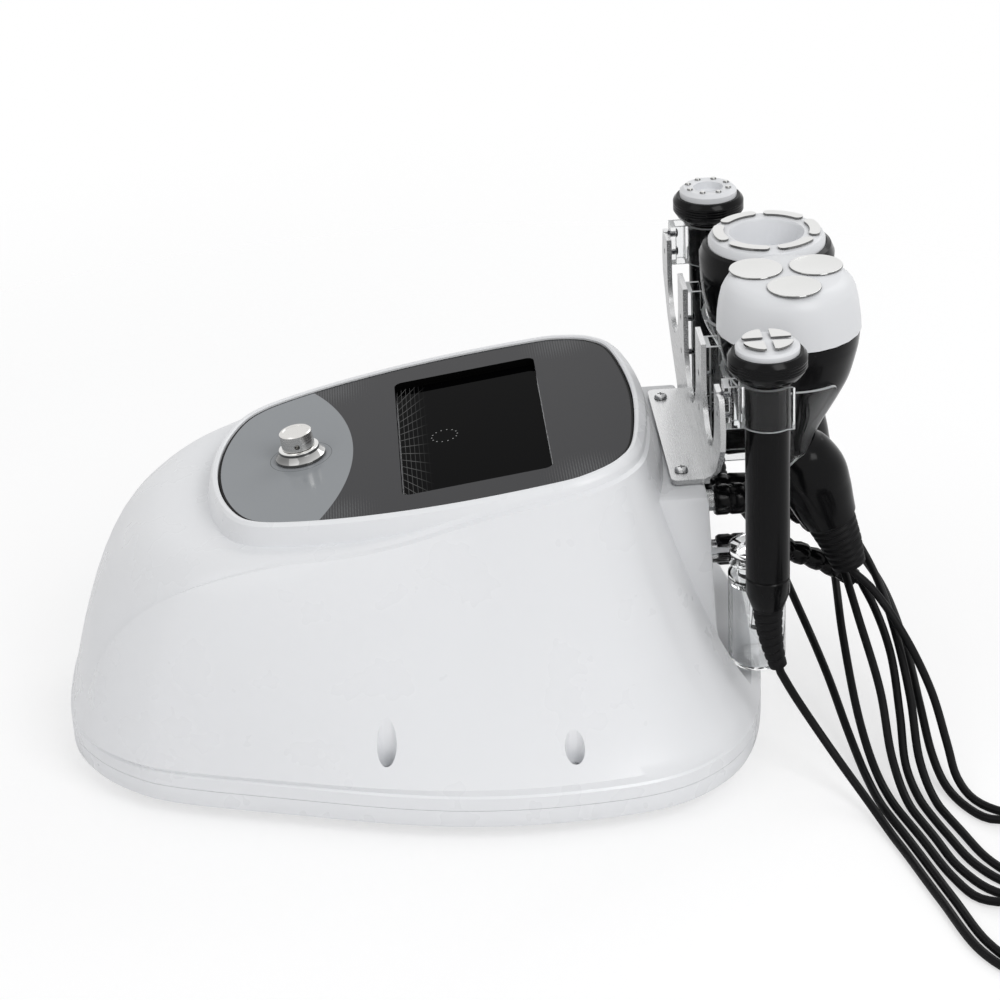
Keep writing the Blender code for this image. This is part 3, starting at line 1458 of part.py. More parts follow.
def make_large_handpiece(name, x, vacuum):
    """A bulbous handpiece; gives back where its cable leaves and in which direction."""
    stations = [grip_station(*share) for share in GRIP_SHARES]
    if vacuum:
        width = VACUUM_RADIUS / CAP_RADIUS
        seat_radius = VACUUM_RING_RADIUS + GAP
        top = VACUUM_BODY_TOP
        head = [
            (CUP_SEAT - GAP, seat_radius),
            (top - GAP, seat_radius),
            (top, seat_radius + GAP * 3),
            (top - 0.03 * VACUUM_RADIUS, VACUUM_RADIUS * 0.95),
            (top - 0.15 * VACUUM_RADIUS, VACUUM_RADIUS),
        ]
    else:
        width = 1
        head = [(CAP_SEAM - GAP, CAP_RADIUS * 0.96)]
    points = [(Vector((x, BIG_AXIS_Y, height)), radius) for height, radius in head]
    for height, y, radius in stations[0 if vacuum else 1:]:
        share = max(0, (height - stations[5][0]) / (CAP_SEAM - stations[5][0]))
        points.append((Vector((x, y, height)), radius * (1 + (width - 1) * share)))
    line = []
    level = Vector((0, 0, -1))
    for i, (centre, direction, radius) in enumerate(along_spine(points)):
        line.append((centre, level if centre.z > BIG_CLIP_BOTTOM + OVERRUN else direction, radius))
    body = swept(f"{name}_body", line, CUP_SIDES)
    place(body, f"{name}_body", BLACK)
    if vacuum:
        make_vacuum_face(name, x)
    else:
        make_tripolar_cap(name, x)
    return make_large_relief(name, x)


def make_large_relief(name, x):
    start = grip_station(*GRIP_SHARES[-1])
    spine = []
    for share, run, radius in RELIEF_SHARES:
        spine.append((start[0] - GAP * 2 - BIG_RELIEF_LENGTH * share, BIG_AXIS_Y + CAP_RADIUS * run))
    profile = ribbed_profile(
        CAP_RADIUS * RELIEF_SHARES[0][2],
        CAP_RADIUS * RELIEF_SHARES[-1][2],
        BIG_RELIEF_LENGTH,
        RELIEF_RIBS,
    )
    points = []
    for radius, distance in profile:
        share = distance / BIG_RELIEF_LENGTH
        low = 0 if share <= RELIEF_SHARES[1][0] else 1
        (z0, y0), (z1, y1) = spine[low], spine[low + 1]
        part = share * 2 - low
        points.append((Vector((x, y0 + (y1 - y0) * part, z0 + (z1 - z0) * part)), radius))
    line = along_spine(points)
    place(swept(f"{name}_relief", line, SMALL_SIDES), f"{name}_relief", RUBBER)
    return line[-1][:2]


def make_tripolar_cap(name, x):
    crown = CAP_TOP - CAP_SEAM
    profile_shares = (
        (0.00, 1.00), (0.70, 1.00), (0.80, 0.965), (0.875, 0.88), (0.925, 0.74),
        (0.965, 0.50), (0.99, 0.25), (1.00, 0.0), (0.93, 0.0), (0.91, 0.50),
        (0.84, 0.80), (0.74, 0.90), (0.00, 0.90),
    )
    profile = [(CAP_RADIUS * r, CAP_SEAM + crown * h) for r, h in profile_shares]
    cap = turned(f"{name}_cap", profile, 24)
    shifted(cap, x, BIG_AXIS_Y, 0)
    centre = (x, BIG_AXIS_Y)
    seat = CAP_SEAM + crown * 0.90 - GAP
    below = seat - 2 * CARRIER_THICKNESS
    cut(cap, *stem_ring(centre, DISC_CIRCLE, 3, DISC_STEM + GAP, (below, CAP_TOP + OVERRUN), 0))
    place(cap, f"{name}_cap", HEAD_WHITE)
    discs = []
    for i in range(3):
        turn = 2 * math.pi * i / 3
        disc = turned("disc", [
            (0, DISC_RISE * 0.85),
            (DISC_RADIUS * 0.88, DISC_RISE * 0.85),
            (DISC_RADIUS * 0.92, DISC_RISE),
            (DISC_RADIUS * 0.98, DISC_RISE * 0.9),
            (DISC_RADIUS, DISC_RISE * 0.5),
            (DISC_RADIUS * 0.97, GAP),
            (0, GAP),
        ], SMALL_SIDES)
        cx = x + DISC_CIRCLE * math.cos(turn)
        discs.append(shifted(disc, cx, BIG_AXIS_Y + DISC_CIRCLE * math.sin(turn), CAP_TOP))
    carrier = cylinder("carrier", CAP_RADIUS * 0.70, below, seat, SMALL_SIDES, centre)
    stems = stem_ring(centre, DISC_CIRCLE, 3, DISC_STEM, (below + GAP, CAP_TOP + DISC_RISE / 2), 0)
    place(joined(f"{name}_discs", carrier, stems + discs), f"{name}_discs", CHROME)


def make_vacuum_face(name, x):
    top = VACUUM_RING_TOP
    edge = VACUUM_RING_RADIUS
    face = turned(f"{name}_cup", [
        (0, CUP_FLOOR),
        (CUP_RADIUS * 0.88, CUP_FLOOR),
        (CUP_RADIUS * 0.96, CUP_FLOOR + 0.05 * edge),
        (CUP_RADIUS, top - 0.04 * edge),
        (CUP_RADIUS * 1.04, top),
        (edge * 0.88, top),
        (edge * 0.96, top - 0.03 * edge),
        (edge, top - 0.10 * edge),
        (edge, CUP_SEAT),
        (edge * 0.93, CUP_SEAT),
        (edge * 0.93, top - 0.12 * edge),
        (CUP_RADIUS * 1.12, top - 0.12 * edge),
        (CUP_RADIUS * 1.12, CUP_SEAT),
        (0, CUP_SEAT),
    ], CUP_SIDES)
    shifted(face, x, BIG_AXIS_Y, 0)
    centre = (x, BIG_AXIS_Y)
    seat = top - 0.12 * edge - GAP
    below = seat - CARRIER_THICKNESS
    count = KIDNEY_COUNT
    cut(face, *stem_ring(centre, KIDNEY_CIRCLE, count, POLE_STEM + GAP, (below, top + OVERRUN)))
    place(face, f"{name}_cup", HEAD_WHITE)
    kidneys = []
    for i in range(count):
        kidneys.append(kidney(360 * (i + 0.5) / count, x))
    carrier = turned("carrier", [
        (CUP_RADIUS * 1.12 + GAP, seat),
        (edge * 0.93 - GAP, seat),
        (edge * 0.93 - GAP, below),
        (CUP_RADIUS * 1.12 + GAP, below),
        (CUP_RADIUS * 1.12 + GAP, seat),
    ], CUP_SIDES)
    shifted(carrier, x, BIG_AXIS_Y, 0)
    stems = stem_ring(centre, KIDNEY_CIRCLE, count, POLE_STEM, (below + GAP, top + KIDNEY_RISE / 2))
    place(joined(f"{name}_poles", carrier, stems + kidneys), f"{name}_poles", CHROME)


def kidney(middle_deg, x):
    """A curved electrode with round ends, on the vacuum ring."""
    low = middle_deg - KIDNEY_HALF_DEG
    high = middle_deg + KIDNEY_HALF_DEG
    half = KIDNEY_HALF_WIDTH
    outline = arc((0, 0), KIDNEY_CIRCLE + half, low, high, 3)
    end = math.radians(high)
    centre = (KIDNEY_CIRCLE * math.cos(end), KIDNEY_CIRCLE * math.sin(end))
    outline += arc(centre, half, high, high + 180, 3)[1:-1]
    outline += arc((0, 0), KIDNEY_CIRCLE - half, high, low, 3)
    start = math.radians(low)
    centre = (KIDNEY_CIRCLE * math.cos(start), KIDNEY_CIRCLE * math.sin(start))
    outline += arc(centre, half, low + 180, low + 360, 3)[1:-1]
    shape = flat_shape("kidney", [outline], KIDNEY_RISE)
    return shifted(shape, x, BIG_AXIS_Y, VACUUM_RING_TOP + GAP + KIDNEY_RISE / 2)


# Filter bottle and rear connectors


def make_filter():
    inside = BOTTLE_RADIUS - BOTTLE_WALL
    bottle = turned("filter_bottle", [
        (inside, BOTTLE_TOP),
        (BOTTLE_RADIUS, BOTTLE_TOP),
        (BOTTLE_RADIUS, BOTTLE_BOTTOM + BOTTLE_WALL * 2),
        (BOTTLE_RADIUS * 0.9, BOTTLE_BOTTOM),
        (0, BOTTLE_BOTTOM),
        (0, BOTTLE_BOTTOM + BOTTLE_WALL * 1.5),
        (inside * 0.92, BOTTLE_BOTTOM + BOTTLE_WALL * 1.5),
        (inside, BOTTLE_BOTTOM + BOTTLE_WALL * 3),
        (inside, BOTTLE_TOP),
    ], ROUND_SIDES)
    shifted(bottle, BOTTLE_X, BOTTLE_Y, 0)
    place(bottle, "filter_bottle", CLEAR)
    low = BOTTLE_TOP + GAP
    high = low + FILTER_CAP_HEIGHT
    plug_radius = inside - GAP
    cap = turned("filter_cap", [
        (0, high),
        (FILTER_CAP_RADIUS * 0.55, high),
        (FILTER_CAP_RADIUS, high - FILTER_CAP_HEIGHT * 0.12),
        (FILTER_CAP_RADIUS, low + FILTER_NECK_HEIGHT),
        (FILTER_NECK_RADIUS, low + FILTER_NECK_HEIGHT * 0.8),
        (FILTER_NECK_RADIUS, low + BOTTLE_WALL),
        (BOTTLE_RADIUS, low + BOTTLE_WALL),
        (BOTTLE_RADIUS, low),
        (plug_radius, low),
        (plug_radius, low - FILTER_NECK_HEIGHT * 0.5),
        (FILTER_TUBE_RADIUS, low - FILTER_NECK_HEIGHT * 0.5),
        (FILTER_TUBE_RADIUS, BOTTLE_BOTTOM + FILTER_CAP_HEIGHT),
        (0, BOTTLE_BOTTOM + FILTER_CAP_HEIGHT),
    ], ROUND_SIDES)
    shifted(cap, BOTTLE_X, BOTTLE_Y, 0)
    arm_level = high - FILTER_CAP_HEIGHT * 0.35
    wall = back_line(arm_level) + 2 * GAP
    arm = cylinder("filter_arm", FILTER_ARM_RADIUS, wall, BOTTLE_Y, SMALL_SIDES)
    arm.data.transform(Matrix.Rotation(-math.pi / 2, 4, "X"))
    shifted(arm, BOTTLE_X, 0, arm_level)
    join(cap, arm)
    place(cap, "filter_cap", CLEAR)


def along_back(obj, x, level, reach_down=0):
    """Turns a piece made along +Z so that it stands out of the sloping back wall."""
    obj.data.transform(Matrix.Rotation(-math.pi / 2, 4, "X"))
    return shifted(obj, x, back_line(level - reach_down) + 2 * GAP, level)


def make_sockets():
    sockets = []
    for x in PLUG_COLUMNS:
        for level in PLUG_LEVELS:
            socket = turned("socket", [
                (0, SOCKET_NOSE),
                (SOCKET_NOSE_RADIUS, SOCKET_NOSE),
                (SOCKET_NOSE_RADIUS, SOCKET_FLANGE),
                (SOCKET_RADIUS, SOCKET_FLANGE * 0.8),
                (SOCKET_RADIUS, 0),
                (SOCKET_BODY_RADIUS, 0),
                (SOCKET_BODY_RADIUS, -SOCKET_BODY_LENGTH),
                (0, -SOCKET_BODY_LENGTH),
            ], PLUG_SIDES)
            sockets.append(along_back(socket, x, level, SOCKET_RADIUS))
    deep = back_line(PLUG_LEVELS[1]) - SOCKET_BODY_LENGTH
    margin = SOCKET_RADIUS
    board = box(
        "socket_board",
        (PLUG_COLUMNS[1] - margin, deep - BOARD_THICKNESS, PLUG_LEVELS[1] - margin),
        (PLUG_COLUMNS[0] + margin, deep + BOARD_THICKNESS, PLUG_LEVELS[0] + margin),
    )
    place(joined("cable_sockets", board, sockets), "cable_sockets", STEEL)


def make_mains():
    """The mains inlet with its three pins, and the rocker switch beside it."""
    flange = box(
        "mains_inlet",
        (-INLET_WIDTH / 2, -INLET_HEIGHT / 2, 0),
        (INLET_WIDTH / 2, INLET_HEIGHT / 2, INLET_FLANGE),
    )
    body_width = INLET_WELL_WIDTH / 2 + INLET_FLANGE
    body_height = INLET_WELL_HEIGHT / 2 + INLET_FLANGE * 0.75
    body = box(
        "inlet_body",
        (-body_width, -body_height, -INLET_DEPTH),
        (body_width, body_height, INLET_FLANGE / 2),
    )
    join(flange, body)
    for piece in (flange, body):
        along_back(piece, INLET_X, INLET_LEVEL, INLET_HEIGHT / 2)
    well = box(
        "inlet_well",
        (-INLET_WELL_WIDTH / 2, -INLET_WELL_HEIGHT / 2, INLET_FLANGE * 2 - INLET_DEPTH),
        (INLET_WELL_WIDTH / 2, INLET_WELL_HEIGHT / 2, OVERRUN),
    )
    along_back(well, INLET_X, INLET_LEVEL, INLET_HEIGHT / 2)
    pins = []
    for x, y in ((-INLET_PIN_PITCH, 0), (0, INLET_PIN_PITCH * 0.4), (INLET_PIN_PITCH, 0)):
        pin = cylinder(
            "inlet_pin",
            INLET_PIN_RADIUS,
            INLET_FLANGE - INLET_DEPTH,
            -INLET_FLANGE,
            TINY_SIDES,
            (x, y),
        )
        pins.append(pin)
    for pin in pins:
        along_back(pin, INLET_X, INLET_LEVEL, INLET_HEIGHT / 2)
    make_switch(flange)
    cut(flange, well)
    join(flange, *pins)
    place(flange, "mains_inlet", BLACK)


def make_switch(flange):
    """The switch's frame, in one moulding with the inlet, and the rocker in it."""
    outer_x = SWITCH_WIDTH / 2 + SWITCH_FRAME
    outer_y = SWITCH_HEIGHT / 2 + SWITCH_FRAME
    bridge = box(
        "switch_bridge", (INLET_X - SWITCH_X, -outer_y, 0), (0, outer_y, SWITCH_FRAME)
    )
    frame = box(
        "switch_frame", (-outer_x - SWITCH_FRAME, -outer_y - SWITCH_FRAME, 0),
        (outer_x + SWITCH_FRAME, outer_y + SWITCH_FRAME, SWITCH_FRAME),
    )
    body = box(
        "switch_body", (-outer_x + GAP, -outer_y + GAP, -SWITCH_DEPTH),
        (outer_x - GAP, outer_y - GAP, SWITCH_FRAME / 2),
    )
    room = box(
        "switch_room", (-SWITCH_WIDTH / 2 - GAP, -SWITCH_HEIGHT / 2 - GAP * 3, SWITCH_FRAME - SWITCH_DEPTH),
        (SWITCH_WIDTH / 2 + GAP, SWITCH_HEIGHT / 2 + GAP * 3, OVERRUN),
    )
    for piece in (bridge, frame, body, room):
        along_back(piece, SWITCH_X, SWITCH_LEVEL, INLET_HEIGHT / 2)
    join(flange, bridge, frame, body)
    cut(flange, room)
    half = SWITCH_HEIGHT / 2
    tilt = SWITCH_TRAVEL_DEG / 2
    face = SWITCH_FRAME + OVERRUN / 2
    dip = face - half * math.tan(math.radians(SWITCH_TRAVEL_DEG))
    middle = face - half * 0.5 * math.tan(math.radians(tilt))
    side = [(-half, dip), (-half * 0.4, middle - GAP), (half * 0.4, middle), (half, face)]
    side += [(half, dip - SWITCH_FRAME), (0, middle - SWITCH_DEPTH * 0.6), (-half, dip - SWITCH_FRAME)]
    rocker = sideways(flat_shape("rocker_switch", [side], SWITCH_WIDTH), 0)
    along_back(rocker, SWITCH_X, SWITCH_LEVEL, INLET_HEIGHT / 2)
    place(rocker, "rocker_switch", BLACK)


# Plugs and cords


def make_plug(name, column, row):
    """A ridged plug on its socket, with a ribbed boot that bends down; returns the boot's end."""
    x = PLUG_COLUMNS[column]
    level = PLUG_LEVELS[row]
    start = back_line(level - SOCKET_RADIUS) + SOCKET_NOSE + 3 * GAP
    groove = PLUG_LENGTH * 0.1
    profile = [(PLUG_RADIUS * 0.9, 0), (PLUG_RADIUS, groove / 2)]
    for share in (0.3, 0.6):
        middle = PLUG_LENGTH * share
        profile += [
            (PLUG_RADIUS, middle - groove / 2),
            (PLUG_RADIUS - PLUG_GROOVE_DEPTH, middle),
            (PLUG_RADIUS, middle + groove / 2),
        ]
    profile.append((PLUG_RADIUS * 0.95, PLUG_LENGTH))
    line = []
    for radius, distance in profile:
        line.append((Vector((x, start + distance, level)), Vector((0, 1, 0)), radius))
    run = BOOT_RUNS[row]
    drop = BOOT_DROPS[row]
    boot = []
    for radius, distance in ribbed_profile(BOOT_RADIUS, BOOT_END_RADIUS, run, BOOT_RIBS):
        fall = drop * (distance / run) ** BOOT_BEND_POWER
        boot.append((Vector((x, start + PLUG_LENGTH + distance, level - fall)), radius))
    boot_line = along_spine(boot)
    boot_line[0] = (boot[0][0], Vector((0, 1, 0)), boot[0][1])
    place(swept(name, line + boot_line, PLUG_SIDES), name, BLACK)
    cord_names.append(name)
    return boot_line[-1][:2]


def smooth_route(points):
    """Points at an even spacing along a smooth curve through the given ones."""
    ends = [2 * points[0] - points[1]], [2 * points[-1] - points[-2]]
    padded = ends[0] + points + ends[1]
    steps = 20
    fine = []
    for p0, p1, p2, p3 in zip(padded, padded[1:], padded[2:], padded[3:]):
        d0 = math.sqrt((p1 - p0).length)
        d1 = math.sqrt((p2 - p1).length)
        d2 = math.sqrt((p3 - p2).length)
        start = (p2 - p1) + d1 * ((p1 - p0) / d0 - (p2 - p0) / (d0 + d1))
        end = (p2 - p1) + d1 * ((p3 - p2) / d2 - (p3 - p1) / (d1 + d2))
        for k in range(steps):
            t = k / steps
            rise = t * t * (3 - 2 * t)
            fine.append(
                p1 + (p2 - p1) * rise + start * (t * (1 - t) ** 2) - end * (t * t * (1 - t))
            )
    fine.append(points[-1])
    return evenly_spaced(fine)


def evenly_spaced(fine):
    along = [0.0]
    for a, b in zip(fine, fine[1:]):
        along.append(along[-1] + (b - a).length)
    count = max(2, round(along[-1] / CORD_SPACING))
    made = []
    place_at = 0
    for i in range(count + 1):
        want = along[-1] * i / count
        while place_at < len(fine) - 2 and along[place_at + 1] < want:
            place_at += 1
        part = (want - along[place_at]) / (along[place_at + 1] - along[place_at])
        made.append(fine[place_at].lerp(fine[place_at + 1], part))
    return made


def cord_tube(name, points, resolution):
    """A round cord along its points; it returns the length."""
    data = bpy.data.curves.new(name, "CURVE")
    data.dimensions = "3D"
    data.bevel_depth = CABLE_DIAMETER / 2
    data.bevel_resolution = resolution
    data.use_fill_caps = True
    spline = data.splines.new("POLY")
    spline.points.add(len(points) - 1)
    for point, co in zip(spline.points, points):
        point.co = (*co, 1)
    obj = bpy.data.objects.new(name, data)
    machine.objects.link(obj)
    place(obj, name, RUBBER)
    cord_names.append(name)
    return sum((b - a).length for a, b in zip(points, points[1:]))


def coil_points(place_name):
    """Two and a half turns: in along the table, up where the spiral reverses, and out again."""
    cx, cy = COIL_PLACES[place_name]
    points = []
    for i in range(int(COIL_TURNS * COIL_POINTS_PER_TURN) + 1):
        turns = i / COIL_POINTS_PER_TURN
        radius = COIL_RADIUS - COIL_PITCH * min(turns, COIL_TURNS - turns)
        climb = min(1, max(0, (turns - 1) * 2))
        angle = 2 * math.pi * turns
        points.append(Vector((
            cx + radius * math.cos(angle),
            cy + radius * math.sin(angle),
            CABLE_LEVEL + COIL_LIFT * climb,
        )))
    straight = Vector((0, CABLE_DIAMETER, 0))
    return [points[0] - straight] + points + [points[-1] - straight]


def least_gap(points):
    """The least gap between turns, measured between points over a third of a turn apart."""
    apart = COIL_POINTS_PER_TURN // 3
    least = min(
        (a - b).length for i, a in enumerate(points) for b in points[i + apart:]
    )
    return least - CABLE_DIAMETER


def stretch_points(gland, route, coil_end):
    """From a gland's end face, straight out, along the route and straight into the coil."""
    centre, direction = gland
    start = centre + GAP * direction
    end = coil_end - Vector((0, GAP, 0))
    before_end = end - Vector((0, CABLE_DIAMETER, 0))
    route = [Vector(point) for point in route]
    curve = smooth_route([start + CABLE_DIAMETER * direction] + route + [before_end])
    for point in curve:
        point.z = max(point.z, CABLE_LEVEL)
    return [start] + curve + [end]


def make_cord(name, relief_end, boot_end):
    coil = coil_points(name)
    length = cord_tube(f"cable_coil_{name}", coil, 1)
    cable_end, lead_end = (coil[-1], coil[0]) if name in LEAD_FIRST else (coil[0], coil[-1])
    cable = stretch_points(relief_end, CABLE_ROUTES[name], cable_end)
    length += cord_tube(f"cable_handle_{name}", cable, 2)
    lead = stretch_points(boot_end, LEAD_ROUTES[name], lead_end)
    length += cord_tube(f"cable_plug_{name}", lead, 2)
    points = len(cable) + len(lead)
    print(f"{name}: cord of {length:.3f} m, {points} route points, least gap {least_gap(coil) * 1000:.2f} mm")


# Inner pieces


def make_inner_pieces():
    floor = FOOT_HEIGHT + WALL
    board_low = floor + STANDOFF + GAP
    board = box(
        "main_board",
        (-BOARD_WIDTH / 2, BOARD_Y - BOARD_LENGTH / 2, board_low),
        (BOARD_WIDTH / 2, BOARD_Y + BOARD_LENGTH / 2, board_low + BOARD_THICKNESS),
    )
    chip = BOARD_LENGTH * 0.16
    chip_shares = ((-0.3, 0.15, 1.4), (0.05, -0.2, 1.0), (0.3, 0.2, 0.8))
    for n, (ax, ay, size) in enumerate(chip_shares):
        cx = BOARD_WIDTH * ax
        cy = BOARD_Y + BOARD_LENGTH * ay
        join(board, box(
            f"chip_{n}",
            (cx - chip * size / 2, cy - chip * size / 2, board_low + BOARD_THICKNESS / 2),
            (cx + chip * size / 2, cy + chip * size / 2, board_low + chip * size / 3),
        ))
    place(board, "main_board", BOARD_GREEN)
    supply = box(
        "power_supply",
        (SUPPLY_X - SUPPLY_WIDTH / 2, SUPPLY_Y - SUPPLY_LENGTH / 2, floor + GAP),
        (SUPPLY_X + SUPPLY_WIDTH / 2, SUPPLY_Y + SUPPLY_LENGTH / 2, floor + SUPPLY_HEIGHT),
        BLOCK_ROUND / 3,
    )
    place(supply, "power_supply", ZINC)
    motor = cylinder("vacuum_pump", PUMP_RADIUS, 0, PUMP_LENGTH, ROUND_SIDES)
    motor.data.transform(Matrix.Rotation(math.pi / 2, 4, "X"))
    shifted(motor, PUMP_X, PUMP_Y + PUMP_LENGTH / 2, floor + GAP + PUMP_RADIUS)
    head = box(
        "pump_head",
        (PUMP_X - PUMP_HEAD, PUMP_Y + PUMP_LENGTH / 2 - PUMP_HEAD * 0.2, floor + GAP),
        (PUMP_X + PUMP_HEAD, PUMP_Y + PUMP_LENGTH / 2 + PUMP_HEAD, floor + 2 * PUMP_HEAD),
        BLOCK_ROUND,
    )
    join(motor, head)
    place(motor, "vacuum_pump", ZINC)


def centre_origin():
    """Moves the machine along Y so that the origin is under the middle of its box."""
    bpy.context.view_layer.update()
    graph = bpy.context.evaluated_depsgraph_get()
    low = []
    high = []
    for obj in machine.objects:
        if obj.type == "EMPTY" or obj.name in cord_names:
            continue
        corners = [obj.matrix_world @ Vector(c) for c in obj.evaluated_get(graph).bound_box]
        low.append(min(corner.y for corner in corners))
        high.append(max(corner.y for corner in corners))
    middle = (min(low) + max(high)) / 2
    frame_empty.location.y = -middle
    bpy.context.view_layer.update()
    print(f"machine moved by {-middle:.6f} m along Y, reaching {min(low):.5f} to {max(high):.5f}")


def main():
    make_base_tray()
    make_feet()
    make_top_housing()
    make_control_panel()
    make_screen()
    make_knob()
    make_holder()
    make_clips()
    relief_ends = {
        "rf_right": make_small_handpiece("right", SMALL_CLIP_X, True),
        "rf_left": make_small_handpiece("left", -SMALL_CLIP_X, False),
        "tripolar": make_large_handpiece("tripolar", BIG_CLIP_X, False),
        "vacuum": make_large_handpiece("vacuum", -BIG_CLIP_X, True),
    }
    make_filter()
    make_sockets()
    make_mains()
    make_inner_pieces()
    for i, (name, relief_end) in enumerate(relief_ends.items()):
        boot_end = make_plug(f"plug_{name}", PLUG_ORDER[i][0], PLUG_ORDER[i][1])
        make_cord(name, relief_end, boot_end)
    centre_origin()


main()
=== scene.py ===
"""The looks of the cavitation slimming machine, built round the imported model."""

import json
import math

import bmesh
import bpy
from mathutils import Matrix, Vector

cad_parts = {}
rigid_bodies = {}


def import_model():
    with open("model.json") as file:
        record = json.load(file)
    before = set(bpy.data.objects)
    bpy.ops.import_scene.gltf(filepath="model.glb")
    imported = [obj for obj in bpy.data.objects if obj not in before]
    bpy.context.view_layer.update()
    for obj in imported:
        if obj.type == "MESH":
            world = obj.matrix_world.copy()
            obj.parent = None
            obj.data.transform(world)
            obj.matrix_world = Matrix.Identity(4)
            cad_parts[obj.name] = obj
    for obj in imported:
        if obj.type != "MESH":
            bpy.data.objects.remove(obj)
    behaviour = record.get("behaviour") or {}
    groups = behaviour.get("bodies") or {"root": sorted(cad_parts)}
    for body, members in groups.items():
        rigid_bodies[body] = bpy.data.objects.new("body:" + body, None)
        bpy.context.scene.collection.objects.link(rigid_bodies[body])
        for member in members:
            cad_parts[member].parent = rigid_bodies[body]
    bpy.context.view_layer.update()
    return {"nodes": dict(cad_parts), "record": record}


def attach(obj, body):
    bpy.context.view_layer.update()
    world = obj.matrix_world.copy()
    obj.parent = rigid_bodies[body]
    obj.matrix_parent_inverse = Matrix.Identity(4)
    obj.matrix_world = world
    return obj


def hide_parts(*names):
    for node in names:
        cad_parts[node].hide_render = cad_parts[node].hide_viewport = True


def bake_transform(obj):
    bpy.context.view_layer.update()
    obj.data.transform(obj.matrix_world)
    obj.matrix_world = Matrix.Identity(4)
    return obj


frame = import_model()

BODY_OF = {
    node: body
    for body, nodes in frame["record"]["behaviour"]["bodies"].items()
    for node in nodes
}
SLOT_OF = {row["node"]: row["material_slot"] for row in frame["record"]["subparts"]}

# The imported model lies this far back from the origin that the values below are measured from
SHIFT = 0.011696

# Clearances, and the fineness of round forms
GAP = 0.0003
OVERRUN = 0.004
SMOOTH_ANGLE = math.radians(32)
ROUND_SIDES = 96
PLUG_SIDES = 64
SMALL_SIDES = 56
TINY_SIDES = 24
ARC_DETAIL = 4
MERGE_DISTANCE = 0.000002
# How far the edges of some pieces are rounded
SOFTEN = {
    "tripolar_discs": 0.0003,
    "vacuum_poles": 0.0005,
    "rf_poles_right": 0.0004,
    "base_tray": 0.0006,
    "holder_bracket": 0.0005,
    "filter_cap": 0.0004,
    "knob_ring": 0.0002,
}

# Housing and tray
BODY_HALF_WIDTH = 0.1715
BODY_FRONT = 0.254
BODY_BACK = 0.170
WALL = 0.003
FOOT_HEIGHT = 0.010
FOOT_RADIUS = 0.010
FOOT_PLACES = ((0.079, -0.203), (0.128, 0.104))
TRAY_HEIGHT = 0.012
TRAY_EDGE_ROUND = 0.003
TRAY_LIP_HEIGHT = 0.003
SKIRT_HEIGHT = 0.009
SKIRT_LEDGE = 0.0012
SKIRT_BOTTOM = FOOT_HEIGHT + TRAY_HEIGHT + GAP
SKIRT_TOP = SKIRT_BOTTOM + SKIRT_HEIGHT
POST_RADIUS = 0.005
STANDOFF = 0.008
BOARD_WIDTH = 0.170
BOARD_LENGTH = 0.110
BOARD_THICKNESS = 0.0016
BOARD_Y = -0.090
# The base outline: shares of the half width, and of the front or back reach
BASE_SHARES = (
    (0, -1), (0.29, -0.985), (0.478, -0.925), (0.618, -0.835), (0.711, -0.724),
    (0.84, -0.453), (0.939, -0.228), (0.991, -0.04), (1, 0.235), (0.962, 0.541),
    (0.863, 0.735), (0.688, 0.876), (0.408, 0.959), (0, 1),
)

# Control panel and the collar round it
PANEL_HALF_WIDTH = 0.1017
PANEL_FRONT = 0.1535
PANEL_BACK = 0.0974
PANEL_LEVEL = 0.185
PANEL_TILT = math.radians(7.92)
PANEL_THICKNESS = 0.003
PANEL_SHARES = (
    (0, -1), (0.334, -0.977), (0.616, -0.912), (0.757, -0.827), (0.846, -0.69),
    (0.924, -0.489), (0.978, -0.248), (1, 0), (0.993, 0.411), (0.964, 0.616),
    (0.846, 0.821), (0.61, 0.939), (0, 1),
)
OUTLINE_STEPS = 40
COLLAR_WIDTH = 0.006
COLLAR_RISE = 0.0016
COLLAR_FRONT_DROP = 0.012
COLLAR_BACK_DROP = 0.002
COLLAR_FOOT_ZONE_DEG = 60
COLLAR_FOOT_END_DEG = 110
# The panel's black rim, and what counts as an edge there and on the clips
BORDER_LINE = 0.0017
BORDER_FACE_AREA = 0.00005
FLAT_SLOPE = 0.9

# The flared wall: the front falls steeply, and the sides open like a bell
FRONT_ZONE_START_DEG = 35
FRONT_ZONE_DEG = 55
FRONT_POWER = 0.3125
SIDE_BELL = 1.5
HOLLOW_STEPS = 24
# Angles from the front at which each zone of the outline ends, and its steps
AZIMUTH_ZONES = ((42, 70), (180, 110))
# The raised leaf on each side: its edge falls from the collar to the front corner
LEAF_DEPTH = 0.0038
LEAF_TIP_DEG = 14
LEAF_FALL_DEG = 8.1
LEAF_START_SHARE = 0.9
LEAF_LEAST_SHARE = 0.02
LEAF_MOST_SHARE = 0.96
LEAF_STEP_SHARE = 0.006
LEAF_RAMP_DEG = 5
LEAF_FADE_DEG = 98
RINGS_ABOVE_LEAF = 12
RINGS_ON_LEAF = 34
RING_POWER = 1.6

# Screw recesses in the flared sides
RECESS_RADIUS = 0.0057
RECESS_OVAL_SHARE = 0.86
RECESS_FLOOR = 0.040
RECESS_FLOOR_THICKNESS = 0.004
RECESS_WALL = 0.002
RECESS_PLACES = tuple(
    (side * x, y) for x, y in ((0.1592, 0.044), (0.1498, -0.062)) for side in (1, -1)
)
CASE_SCREW_RADIUS = 0.0015

